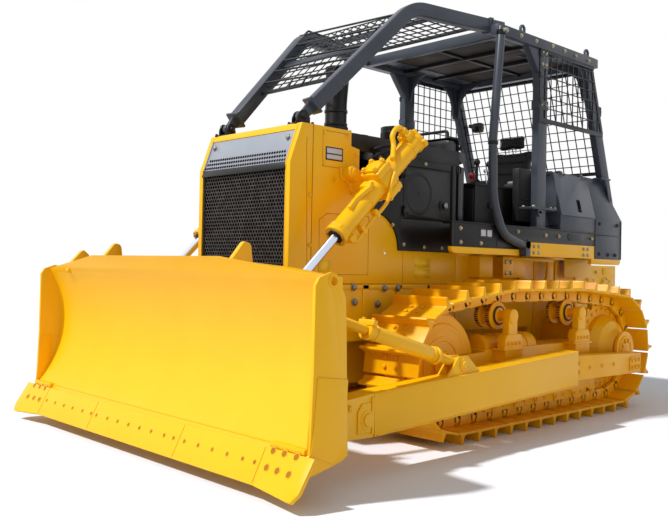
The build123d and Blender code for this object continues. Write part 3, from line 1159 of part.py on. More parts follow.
with BuildPart() as winch_drum:
    inner = WINCH_HALF - WINCH_PLATE
    turned(
        ((-WINCH_HALF + 5, 0), (-WINCH_HALF + 5, 60), (-inner + 6, 60), (-inner + 6, DRUM_FLANGE_R),
         (-inner + 36, DRUM_FLANGE_R), (-inner + 36, DRUM_R), (inner - 36, DRUM_R),
         (inner - 36, DRUM_FLANGE_R), (inner - 6, DRUM_FLANGE_R), (inner - 6, 60), (WINCH_HALF - 5, 60),
         (WINCH_HALF - 5, 0)),
        0, DRUM_Y, DRUM_Z,
    )
save(winch_drum, "winch_drum")
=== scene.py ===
"""Looks of a crawler dozer with a straight blade, forestry canopy and rear winch.

Everything is in metres in the machine's own frame: +Z up, the machine faces -Y and +X is its left.
"""

import json
import logging
import math
from dataclasses import dataclass
from enum import Enum
from typing import Callable, Sequence

import bmesh
import bpy
from mathutils import Matrix, Vector
from mathutils.bvhtree import BVHTree

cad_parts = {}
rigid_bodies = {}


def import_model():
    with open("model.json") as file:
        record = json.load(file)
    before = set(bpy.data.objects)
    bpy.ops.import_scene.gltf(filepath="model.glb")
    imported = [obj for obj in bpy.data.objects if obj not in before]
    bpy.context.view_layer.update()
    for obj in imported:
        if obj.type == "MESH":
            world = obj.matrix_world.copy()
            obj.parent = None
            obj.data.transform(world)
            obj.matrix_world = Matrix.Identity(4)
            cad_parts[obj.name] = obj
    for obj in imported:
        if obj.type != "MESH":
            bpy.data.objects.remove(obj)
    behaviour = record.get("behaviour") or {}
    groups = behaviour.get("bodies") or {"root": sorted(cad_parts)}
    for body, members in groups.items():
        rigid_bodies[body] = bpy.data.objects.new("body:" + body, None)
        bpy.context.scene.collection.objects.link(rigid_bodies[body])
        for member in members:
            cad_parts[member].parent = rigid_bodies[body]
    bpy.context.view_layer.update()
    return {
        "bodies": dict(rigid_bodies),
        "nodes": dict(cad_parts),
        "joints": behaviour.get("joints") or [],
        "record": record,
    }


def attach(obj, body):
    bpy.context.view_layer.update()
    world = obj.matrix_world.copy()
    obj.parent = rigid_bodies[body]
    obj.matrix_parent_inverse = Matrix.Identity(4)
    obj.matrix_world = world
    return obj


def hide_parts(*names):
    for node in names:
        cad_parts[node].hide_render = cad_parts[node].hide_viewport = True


log = logging.getLogger("dozer")

Point = tuple[float, float, float]
Flat = tuple[float, float]
Colour = tuple[float, float, float]


class Side(Enum):
    """A side of the machine, with the sign of X there."""

    LEFT = 1
    RIGHT = -1


class Axis(Enum):
    """An axis that a turned or extruded piece follows."""

    X = 0
    Y = 1
    Z = 2


# Finishes


def linear(red: int, green: int, blue: int) -> Colour:
    """Turn a colour of 0 to 255 as it is seen into the shader's linear values.

    Args:
        red: the red part.
        green: the green part.
        blue: the blue part.

    Returns:
        The three linear values.
    """
    return tuple((c / 255 / 12.92) if c <= 10 else ((c / 255 + 0.055) / 1.055) ** 2.4
                 for c in (red, green, blue))


class ShaderSheet:
    """A node tree that is written as short calls, inside a material or a group."""

    def __init__(self, tree: bpy.types.NodeTree) -> None:
        """Keep the tree.

        Args:
            tree: the node tree that is filled.
        """
        self.tree = tree
        self.column = 0

    def add(self, kind: str, inputs: dict | None = None, **settings: object) -> bpy.types.Node:
        """Add a node.

        Args:
            kind: the node's type name, without the leading ShaderNode.
            inputs: socket name or number to a value, or to an output socket that is linked to it.
            **settings: the node's own properties.

        Returns:
            The new node.
        """
        name = kind if kind.startswith("Node") else "ShaderNode" + kind
        node = self.tree.nodes.new(name)
        node.location = (self.column * 190, 0)
        self.column += 1
        for key, value in settings.items():
            setattr(node, key, value)
        for key, value in (inputs or {}).items():
            if isinstance(value, bpy.types.NodeSocket):
                self.tree.links.new(value, node.inputs[key])
            else:
                node.inputs[key].default_value = value
        return node

    def math(self, operation: str, first: object, second: object = 0.5,
             clamp: bool = False) -> bpy.types.NodeSocket:
        """Add a Math node.

        Args:
            operation: the node's operation.
            first: a value or socket.
            second: a value or socket.
            clamp: whether the result stays between 0 and 1.

        Returns:
            The result socket.
        """
        return self.add("Math", {0: first, 1: second}, operation=operation, use_clamp=clamp).outputs[0]

    def ramp(self, value: bpy.types.NodeSocket, low: float, high: float) -> bpy.types.NodeSocket:
        """Map a value smoothly from low..high to 0..1.

        Args:
            value: the socket that is mapped.
            low: the value that gives 0.
            high: the value that gives 1.

        Returns:
            The mapped socket.
        """
        node = self.add("MapRange", {"Value": value, "From Min": low, "From Max": high},
                        interpolation_type="SMOOTHSTEP")
        return node.outputs[0]

    def mix(self, share: object, first: object, second: object) -> bpy.types.NodeSocket:
        """Mix two colours.

        Args:
            share: how much of the second colour, a value or socket.
            first: a colour or socket.
            second: a colour or socket.

        Returns:
            The mixed colour's socket.
        """
        node = self.add("Mix", {0: share}, data_type="RGBA")
        for number, value in ((6, first), (7, second)):
            if isinstance(value, bpy.types.NodeSocket):
                self.tree.links.new(value, node.inputs[number])
            else:
                node.inputs[number].default_value = (*value, 1)
        return node.outputs[2]


def shader_group(name: str, inputs: dict[str, float], outputs: Sequence[str],
                 fill: Callable[[ShaderSheet, dict], dict]) -> bpy.types.ShaderNodeTree:
    """Build a shader group once and return it.

    Args:
        name: the group's name.
        inputs: the name and default of each number that goes in.
        outputs: the names of the numbers that come out; one named Normal is a vector.
        fill: adds the nodes, and returns the socket for each output.

    Returns:
        The group's tree.
    """
    tree = bpy.data.node_groups.get(name)
    if tree:
        return tree
    tree = bpy.data.node_groups.new(name, "ShaderNodeTree")
    for label, value in inputs.items():
        tree.interface.new_socket(label, in_out="INPUT",
                                  socket_type="NodeSocketFloat").default_value = value
    for label in outputs:
        kind = "NodeSocketVector" if label == "Normal" else "NodeSocketFloat"
        tree.interface.new_socket(label, in_out="OUTPUT", socket_type=kind)
    sheet = ShaderSheet(tree)
    entry = sheet.add("NodeGroupInput")
    made = fill(sheet, {label: entry.outputs[label] for label in inputs})
    exit_node = sheet.add("NodeGroupOutput")
    for label, socket in made.items():
        tree.links.new(socket, exit_node.inputs[label])
    return tree


def edge_wear_and_highlight_group() -> bpy.types.ShaderNodeTree:
    """A mask of edges, broken up by noise, that take a lighter colour: partly rubbed paint, partly a
    painted highlight.
    """

    def fill(sheet: ShaderSheet, given: dict) -> dict:
        """Compare the rounded normal with the flat one.

        Args:
            sheet: the group's nodes.
            given: the group's inputs, by their names.

        Returns:
            The sockets that go out, by their names.
        """
        place = sheet.add("TexCoord").outputs["Object"]
        rounded = sheet.add("Bevel", {"Radius": given["Radius"]}, samples=4).outputs[0]
        flat = sheet.add("NewGeometry").outputs["True Normal"]
        match = sheet.add("VectorMath", {0: rounded, 1: flat}, operation="DOT_PRODUCT").outputs["Value"]
        edge = sheet.ramp(sheet.math("SUBTRACT", 1.0, match), 0.02, 0.22)
        chips = sheet.add("TexNoise", {"Vector": place, "Scale": given["Scale"], "Detail": 6.0,
                                       "Roughness": 0.65})
        broken = sheet.ramp(chips.outputs[0], 0.42, 0.62)
        return {"Mask": sheet.math("MULTIPLY", sheet.math("MULTIPLY", edge, broken), given["Amount"],
                                   clamp=True)}

    return shader_group("worn_edges", {"Radius": 0.006, "Scale": 22.0, "Amount": 0.5}, ["Mask"], fill)


def paint_grain_group() -> bpy.types.ShaderNodeTree:
    """The fine orange peel of sprayed paint, with soft uneven patches."""

    def fill(sheet: ShaderSheet, given: dict) -> dict:
        """Add a fine noise for height and a broad one for shade.

        Args:
            sheet: the group's nodes.
            given: the group's inputs, by their names.

        Returns:
            The sockets that go out, by their names.
        """
        place = sheet.add("TexCoord").outputs["Object"]
        peel = sheet.add("TexNoise", {"Vector": place, "Scale": given["Peel scale"], "Detail": 2.0})
        patch = sheet.add("TexNoise", {"Vector": place, "Scale": given["Patch scale"], "Detail": 5.0,
                                       "Roughness": 0.6})
        wave = sheet.add("TexNoise", {"Vector": place, "Scale": 3.0, "Detail": 1.0})
        height = sheet.math("MULTIPLY_ADD", wave.outputs[0], given["Sheet wave"])
        sheet.tree.links.new(peel.outputs[0], height.node.inputs[2])
        return {"Height": height, "Shade": sheet.ramp(patch.outputs[0], 0.3, 0.7)}

    return shader_group("sprayed_paint", {"Peel scale": 260.0, "Patch scale": 2.2, "Sheet wave": 2.0},
                        ["Height", "Shade"], fill)


def dust_group() -> bpy.types.ShaderNodeTree:
    """Dust that lies on upward faces and collects low down on the machine."""

    def fill(sheet: ShaderSheet, given: dict) -> dict:
        """Weigh the upward slope and the height over the ground against a noise.

        Args:
            sheet: the group's nodes.
            given: the group's inputs, by their names.

        Returns:
            The sockets that go out, by their names.
        """
        geometry = sheet.add("NewGeometry")
        place = sheet.add("TexCoord").outputs["Object"]
        up = sheet.add("SeparateXYZ", {0: geometry.outputs["Normal"]}).outputs[2]
        height = sheet.add("SeparateXYZ", {0: place}).outputs[2]
        low = sheet.math("SUBTRACT", 1.0, sheet.ramp(height, 0.0, 1.3))
        lying = sheet.ramp(up, 0.35, 0.95)
        spread = sheet.math("ADD", sheet.math("MULTIPLY", lying, 0.6), sheet.math("MULTIPLY", low, 0.5))
        cloud = sheet.add("TexNoise", {"Vector": place, "Scale": given["Scale"], "Detail": 8.0,
                                       "Roughness": 0.7})
        broken = sheet.ramp(cloud.outputs[0], 0.35, 0.75)
        return {"Mask": sheet.math("MULTIPLY", sheet.math("MULTIPLY", spread, broken), given["Amount"],
                                   clamp=True)}

    return shader_group("settled_dust", {"Scale": 9.0, "Amount": 0.3}, ["Mask"], fill)


@dataclass(frozen=True)
class Finish:
    """A painted, plated or moulded surface.

    Attributes:
        name: the material's name.
        slot: the record's material slot.
        colour: the surface's main colour, linear.
        patch: the colour that its soft patches turn to.
        worn: the lighter colour at edges, for rubbed paint and as a painted highlight.
        dust: the colour of what settles on it.
        roughness: its roughness.
        metallic: 1 for bare metal.
        gloss: the strength of its reflections.
        edge_wear_and_highlight: how much of that lighter edge colour is laid on, as rubbed paint and
            painted highlight together.
        dusty: how much dust lies on it.
        peel: the grain's height in metres.
        peel_scale: how fine the grain is.
        softened: the radius at which edges look rounded, in metres.
    """

    name: str
    slot: str
    colour: Colour
    patch: Colour
    worn: Colour = (0.3, 0.3, 0.3)
    dust: Colour = (0.42, 0.34, 0.25)
    roughness: float = 0.35
    metallic: float = 0.0
    gloss: float = 0.32
    edge_wear_and_highlight: float = 0.3
    dusty: float = 0.1
    peel: float = 0.0002
    peel_scale: float = 260.0
    softened: float = 0.004

    def material(self) -> bpy.types.Material:
        """Return the finish's material, built at the first call."""
        made = bpy.data.materials.get(self.name)
        if made:
            return made
        made = bpy.data.materials.new(self.name)
        made.use_nodes = True
        made.node_tree.nodes.clear()
        sheet = ShaderSheet(made.node_tree)
        paint = sheet.add("Group", node_tree=paint_grain_group())
        paint.inputs["Peel scale"].default_value = self.peel_scale
        edge_wear_and_highlight = sheet.add("Group", node_tree=edge_wear_and_highlight_group())
        edge_wear_and_highlight.inputs["Amount"].default_value = self.edge_wear_and_highlight
        dust = sheet.add("Group", node_tree=dust_group())
        dust.inputs["Amount"].default_value = self.dusty
        colour = sheet.mix(paint.outputs["Shade"], self.colour, self.patch)
        # Lighter colour at the edges: partly rubbed paint, partly a painted highlight.
        colour = sheet.mix(edge_wear_and_highlight.outputs["Mask"], colour, self.worn)
        colour = sheet.mix(dust.outputs["Mask"], colour, self.dust)
        rough = sheet.math("MULTIPLY_ADD", paint.outputs["Shade"], 0.08)
        rough.node.inputs[2].default_value = self.roughness - 0.04
        rough = sheet.math("ADD", rough, sheet.math("MULTIPLY", dust.outputs["Mask"], 0.4), clamp=True)
        rounded = sheet.add("Bevel", {"Radius": self.softened}, samples=4).outputs[0]
        bump = sheet.add("Bump", {"Height": paint.outputs["Height"], "Strength": 1.0, "Distance": self.peel,
                                  "Normal": rounded})
        body = sheet.add("BsdfPrincipled", {"Base Color": colour, "Roughness": rough,
                                            "Normal": bump.outputs[0], "Metallic": self.metallic,
                                            "Specular IOR Level": self.gloss})
        sheet.add("OutputMaterial", {"Surface": body.outputs[0]})
        return made


YELLOW = Finish("yellow_gloss_paint", "yellow_paint", linear(249, 188, 2), linear(246, 184, 2),
                worn=linear(252, 204, 40), dust=linear(190, 140, 40), roughness=0.34, edge_wear_and_highlight=0.25, dusty=0.03)
TRACK_YELLOW = Finish("track_paint", "yellow_paint", linear(249, 184, 2), linear(243, 172, 2),
                      worn=linear(226, 168, 20), dust=linear(176, 120, 24), roughness=0.36, edge_wear_and_highlight=0.35,
                      dusty=0.05, peel=0.0005, peel_scale=120)
CANOPY = Finish("canopy_blue_grey_paint", "canopy_paint", linear(66, 72, 82), linear(56, 61, 71),
                worn=linear(112, 118, 128), roughness=0.36, edge_wear_and_highlight=0.35, dusty=0.1)
LID_GREY = Finish("lid_slate_paint", "canopy_paint", linear(98, 102, 112), linear(88, 92, 102),
                  worn=linear(140, 146, 156), roughness=0.38, edge_wear_and_highlight=0.3, dusty=0.08)
BLACK = Finish("black_satin_paint", "black_paint", linear(24, 21, 20), linear(18, 16, 15),
               worn=linear(80, 78, 78), roughness=0.36, gloss=0.25, edge_wear_and_highlight=0.3, dusty=0.05)
GREY = Finish("light_grey_paint", "grey_panel", linear(152, 158, 168), linear(144, 150, 160),
              worn=linear(205, 207, 210), roughness=0.38, edge_wear_and_highlight=0.2, dusty=0.05)
CHROME = Finish("polished_chrome", "rod_chrome", linear(215, 222, 238), linear(205, 213, 232),
                worn=linear(225, 228, 235), roughness=0.16, metallic=1.0, edge_wear_and_highlight=0.0, dusty=0.0, peel=0.00003)
CAST = Finish("rough_cast_iron", "cast_grey", linear(62, 62, 60), linear(46, 46, 44), roughness=0.7,
              metallic=0.3, dusty=0.3, peel=0.0008, peel_scale=90)
# Near-black: the colour of dark inner parts, and a painted shade in holes, slots, gaps and behind the
# grille.
CORE_AND_SHADE = Finish("dark_core", "core_dark", linear(12, 10, 9), linear(22, 13, 9), roughness=0.8, gloss=0.1,
              dusty=0.03, peel=0.001, peel_scale=200)
VINYL = Finish("seat_vinyl_black", "seat_vinyl", linear(34, 34, 36), linear(26, 26, 28),
               worn=linear(60, 60, 62), roughness=0.5, edge_wear_and_highlight=0.1, dusty=0.06, peel=0.0006, peel_scale=420)
WIRE = Finish("black_wire_paint", "wire_black", linear(40, 42, 47), linear(30, 32, 36),
              worn=linear(86, 88, 94), roughness=0.42, edge_wear_and_highlight=0.2, dusty=0.1)
PLASTIC = Finish("moulded_black_plastic", "lever_black", linear(30, 30, 31), linear(24, 24, 25),
                 worn=linear(70, 70, 70), roughness=0.55, edge_wear_and_highlight=0.15, dusty=0.08, peel=0.0003,
                 peel_scale=500)
DRUM = Finish("worn_drum_steel", "drum_steel", linear(150, 146, 138), linear(120, 112, 100),
              worn=linear(190, 188, 182), roughness=0.4, metallic=0.9, edge_wear_and_highlight=0.4, dusty=0.3,
              peel=0.0004, peel_scale=150)
ZINC = Finish("zinc_plated_bolts", "drum_steel", linear(186, 172, 140), linear(160, 142, 104),
              worn=linear(210, 204, 190), roughness=0.34, metallic=0.7, edge_wear_and_highlight=0.2, dusty=0.1, peel=0.00005)
STEEL = Finish("grey_steel_bolts", "drum_steel", linear(150, 148, 142), linear(118, 114, 106),
               worn=linear(200, 200, 200), roughness=0.38, metallic=0.6, edge_wear_and_highlight=0.3, dusty=0.2, peel=0.00005)
RED = Finish("red_knob_plastic", "lever_black", linear(190, 24, 20), linear(170, 18, 16),
             worn=linear(210, 90, 80), roughness=0.3, edge_wear_and_highlight=0.1, dusty=0.03, peel=0.00005)
# Dark brown, painted as the shade under the roof with warm light thrown up into it.
UNDERSIDE_SHADE = Finish("brown_roof_lining", "canopy_paint", linear(58, 40, 24), linear(30, 22, 17),
                worn=linear(110, 84, 56), roughness=0.6, edge_wear_and_highlight=0.1, dusty=0.02)
PLATE = Finish("blank_black_plate", "black_paint", linear(34, 36, 44), linear(30, 32, 40),
               worn=linear(120, 120, 124), roughness=0.3, edge_wear_and_highlight=0.3, dusty=0.03, peel=0.00003)
LABEL = Finish("blank_pale_label", "grey_panel", linear(200, 202, 208), linear(186, 188, 196),
               worn=linear(220, 220, 220), roughness=0.34, edge_wear_and_highlight=0.2, dusty=0.03, peel=0.00003)
DECAL = Finish("blank_yellow_label", "yellow_paint", linear(250, 205, 20), linear(246, 198, 16),
               worn=linear(250, 215, 80), roughness=0.3, edge_wear_and_highlight=0.1, dusty=0.02, peel=0.00003)
HOSE = Finish("black_rubber_hose", "wire_black", linear(26, 26, 28), linear(20, 20, 22),
              worn=linear(60, 60, 62), roughness=0.5, edge_wear_and_highlight=0.1, dusty=0.05, peel=0.0002, peel_scale=300)
# Darker yellow, painted as the shade in seams, gaps and the blade's bolt recesses.
SEAM_SHADE = Finish("shaded_seam_paint", "yellow_paint", linear(176, 112, 4), linear(160, 100, 4),
              worn=linear(190, 130, 10), roughness=0.6, edge_wear_and_highlight=0.0, dusty=0.0)
GLASS = Finish("lamp_lens", "rod_chrome", linear(205, 210, 216), linear(190, 196, 204),
               worn=linear(220, 222, 226), roughness=0.12, metallic=0.4, edge_wear_and_highlight=0.0, dusty=0.02, peel=0.00003)

# Pale edges on the webs: mostly a painted highlight, partly rubbed paint.
GRILLE = Finish("grille_dark_steel", "wire_black", linear(50, 45, 41), linear(40, 35, 31),
                worn=linear(150, 150, 152), roughness=0.36, edge_wear_and_highlight=0.5, dusty=0.12, peel=0.0001)
PAD = Finish("armrest_light_vinyl", "seat_vinyl", linear(150, 150, 152), linear(132, 132, 134),
             worn=linear(170, 170, 170), roughness=0.5, edge_wear_and_highlight=0.1, dusty=0.05, peel=0.0004, peel_scale=420)
GLOSSY = Finish("glossy_black_moulding", "black_paint", linear(40, 42, 46), linear(34, 36, 40),
                worn=linear(90, 92, 96), roughness=0.22, gloss=0.5, edge_wear_and_highlight=0.1, dusty=0.03, peel=0.0001)

SLOT_FINISH = {f.slot: f for f in (YELLOW, CANOPY, BLACK, GREY, CHROME, CAST, CORE_AND_SHADE, VINYL, WIRE, PLASTIC,
                                   DRUM)}


# Studio and camera


@dataclass
class Studio:
    """The plain floor, the lights and the camera.

    Attributes:
        eye: where the camera stands.
        turn: the camera's azimuth, in degrees from -Y towards +X.
        tip: how far the camera looks up, in degrees.
        roll: how far the camera is turned about its own line of sight, in degrees.
        lens: the focal length on a 36 mm wide sensor, in millimetres.
        sun_from: the direction that the key light comes from.
        sun_strength: the key light's strength, in watts per square metre.
        sun_width: the key light's angle across, in degrees.
        world_seen: how bright the world is to the camera and in gloss.
        world_lit: how bright it is as a light.
    """

    eye: Point = (5.209, -6.027, 1.355)
    turn: float = 46.38
    tip: float = 0.59
    roll: float = 1.14
    lens: float = 44.44
    sun_from: Point = (-0.223, -0.588, 0.777)
    sun_strength: float = 3.3
    sun_width: float = 3
    world_seen: float = 1.0
    world_lit: float = 0.46

    def build(self) -> None:
        """Make the floor, the lights, the world and the camera."""
        self._camera()
        self._floor()
        self._lights()
        self._world()
        bpy.context.scene.view_settings.view_transform = "Standard"

    def _camera(self) -> None:
        """Place the camera from its azimuth, tip and roll."""
        turn, tip, roll = (math.radians(a) for a in (self.turn, self.tip, self.roll))
        ahead = Vector((-math.sin(turn) * math.cos(tip), math.cos(turn) * math.cos(tip), math.sin(tip)))
        right = ahead.cross(Vector((0, 0, 1))).normalized()
        up = right.cross(ahead)
        across = math.cos(roll) * right + math.sin(roll) * up
        top = -math.sin(roll) * right + math.cos(roll) * up
        camera = bpy.data.objects.new("camera", bpy.data.cameras.new("camera"))
        camera.data.lens = self.lens
        camera.data.sensor_width = 36
        camera.data.clip_end = 200
        camera.matrix_world = Matrix((
            (across.x, top.x, -ahead.x, self.eye[0]), (across.y, top.y, -ahead.y, self.eye[1]),
            (across.z, top.z, -ahead.z, self.eye[2]), (0, 0, 0, 1)))
        bpy.context.scene.collection.objects.link(camera)
        bpy.context.scene.camera = camera

    def _floor(self) -> None:
        """Make a large pale floor that shows white where the key light reaches it."""
        mesh = bpy.data.meshes.new("floor")
        half = 60
        mesh.from_pydata([(-half, -half, 0), (half, -half, 0), (half, half, 0), (-half, half, 0)], [],
                         [(0, 1, 2, 3)])
        floor = bpy.data.objects.new("floor", mesh)
        bpy.context.scene.collection.objects.link(floor)
        made = bpy.data.materials.new("floor_white")
        made.use_nodes = True
        made.node_tree.nodes.clear()
        sheet = ShaderSheet(made.node_tree)
        seen = sheet.add("LightPath").outputs["Is Camera Ray"]
        lit = sheet.add("BsdfDiffuse", {"Color": (0.72, 0.72, 0.73, 1)})
        shown = sheet.add("BsdfDiffuse", {"Color": (0.83, 0.86, 0.92, 1)})
        mixed = sheet.add("MixShader", {0: seen, 1: lit.outputs[0], 2: shown.outputs[0]})
        sheet.add("OutputMaterial", {"Surface": mixed.outputs[0]})
        mesh.materials.append(made)

    def _lights(self) -> None:
        """Add the key light, a wide soft sun."""
        sun = bpy.data.objects.new("key_sun", bpy.data.lights.new("key_sun", "SUN"))
        sun.data.energy = self.sun_strength
        sun.data.angle = math.radians(self.sun_width)
        sun.rotation_euler = Vector(self.sun_from).to_track_quat("Z", "Y").to_euler()
        bpy.context.scene.collection.objects.link(sun)

    def _world(self) -> None:
        """Make a pale world that shows white to the camera and in gloss."""
        world = bpy.data.worlds.new("studio")
        world.use_nodes = True
        world.node_tree.nodes.clear()
        sheet = ShaderSheet(world.node_tree)
        path = sheet.add("LightPath")
        shown = sheet.math("MAXIMUM", path.outputs["Is Camera Ray"], path.outputs["Is Glossy Ray"])
        shown = sheet.math("MAXIMUM", shown, path.outputs["Is Transmission Ray"])
        strength = sheet.math("MULTIPLY_ADD", shown, self.world_seen - self.world_lit)
        strength.node.inputs[2].default_value = self.world_lit
        light = sheet.add("Background", {"Color": (1, 1, 1, 1), "Strength": strength})
        sheet.add("OutputWorld", {"Surface": light.outputs[0]})
        bpy.context.scene.world = world


# Shapes


def smooth_by_angle(mesh: bpy.types.Mesh, degrees: float = 32) -> None:
    """Shade a mesh smooth, with sharp edges where its faces meet at more than an angle.

    Args:
        mesh: the mesh.
        degrees: the angle.
    """
    work = bmesh.new()
    work.from_mesh(mesh)
    limit = math.radians(degrees)
    for face in work.faces:
        face.smooth = True
    for edge in work.edges:
        edge.smooth = len(edge.link_faces) == 2 and edge.calc_face_angle(0) < limit
    work.to_mesh(mesh)
    work.free()


def softened_copy(node: bpy.types.Object, width: float) -> bpy.types.Object:
    """Copy a CAD node with its sharp edges rounded.

    Args:
        node: the CAD node's object.
        width: the rounding, in metres.

    Returns:
        The new object, linked to the scene.
    """
    mesh = node.data.copy()
    work = bmesh.new()
    work.from_mesh(mesh)
    bmesh.ops.remove_doubles(work, verts=work.verts, dist=1e-5)
    bmesh.ops.dissolve_limit(work, angle_limit=math.radians(0.6), verts=work.verts, edges=work.edges,
                             use_dissolve_boundaries=False)
    work.to_mesh(mesh)
    work.free()
    piece = bpy.data.objects.new(node.name + "_dressed", mesh)
    bpy.context.scene.collection.objects.link(piece)
    bevel = piece.modifiers.new("round", "BEVEL")
    bevel.width = width
    bevel.segments = 2
    bevel.limit_method = "ANGLE"
    bevel.angle_limit = math.radians(38)
    bevel.use_clamp_overlap = True
    bevel.miter_outer = "MITER_SHARP"
    seen = piece.evaluated_get(bpy.context.evaluated_depsgraph_get())
    rounded = bpy.data.meshes.new_from_object(seen)
    piece.modifiers.clear()
    piece.data = rounded
    bpy.data.meshes.remove(mesh)
    smooth_by_angle(rounded)
    return piece


def placed(origin: Sequence[float], along: Sequence[float], side: Sequence[float] = (1, 0, 0)) -> Matrix:
    """Give the matrix that takes local Z to one direction and keeps local X near another.

    Args:
        origin: where the local origin goes.
        along: the direction of local Z.
        side: the direction that local X is kept near.

    Returns:
        The matrix.
    """
    z_axis = Vector(along).normalized()
    y_axis = z_axis.cross(Vector(side))
    if y_axis.length < 1e-6:
        y_axis = z_axis.cross(Vector((0, 1, 0)))
    y_axis.normalize()
    x_axis = y_axis.cross(z_axis)
    return Matrix.Translation(Vector(origin)) @ Matrix((x_axis, y_axis, z_axis)).transposed().to_4x4()


@dataclass
class Model:
    """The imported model's nodes."""

    nodes: dict[str, bpy.types.Object]

    def skin(self, *names: str) -> BVHTree:
        """Return the surface of some nodes, for asking where a line meets it.

        Args:
            *names: the nodes.

        Returns:
            The surface's search tree.
        """
        corners: list[Vector] = []
        faces: list[list[int]] = []
        for name in names:
            mesh = self.nodes[name].data
            start = len(corners)
            corners += [v.co.copy() for v in mesh.vertices]
            faces += [[start + i for i in p.vertices] for p in mesh.polygons]
        return BVHTree.FromPolygons(corners, faces)


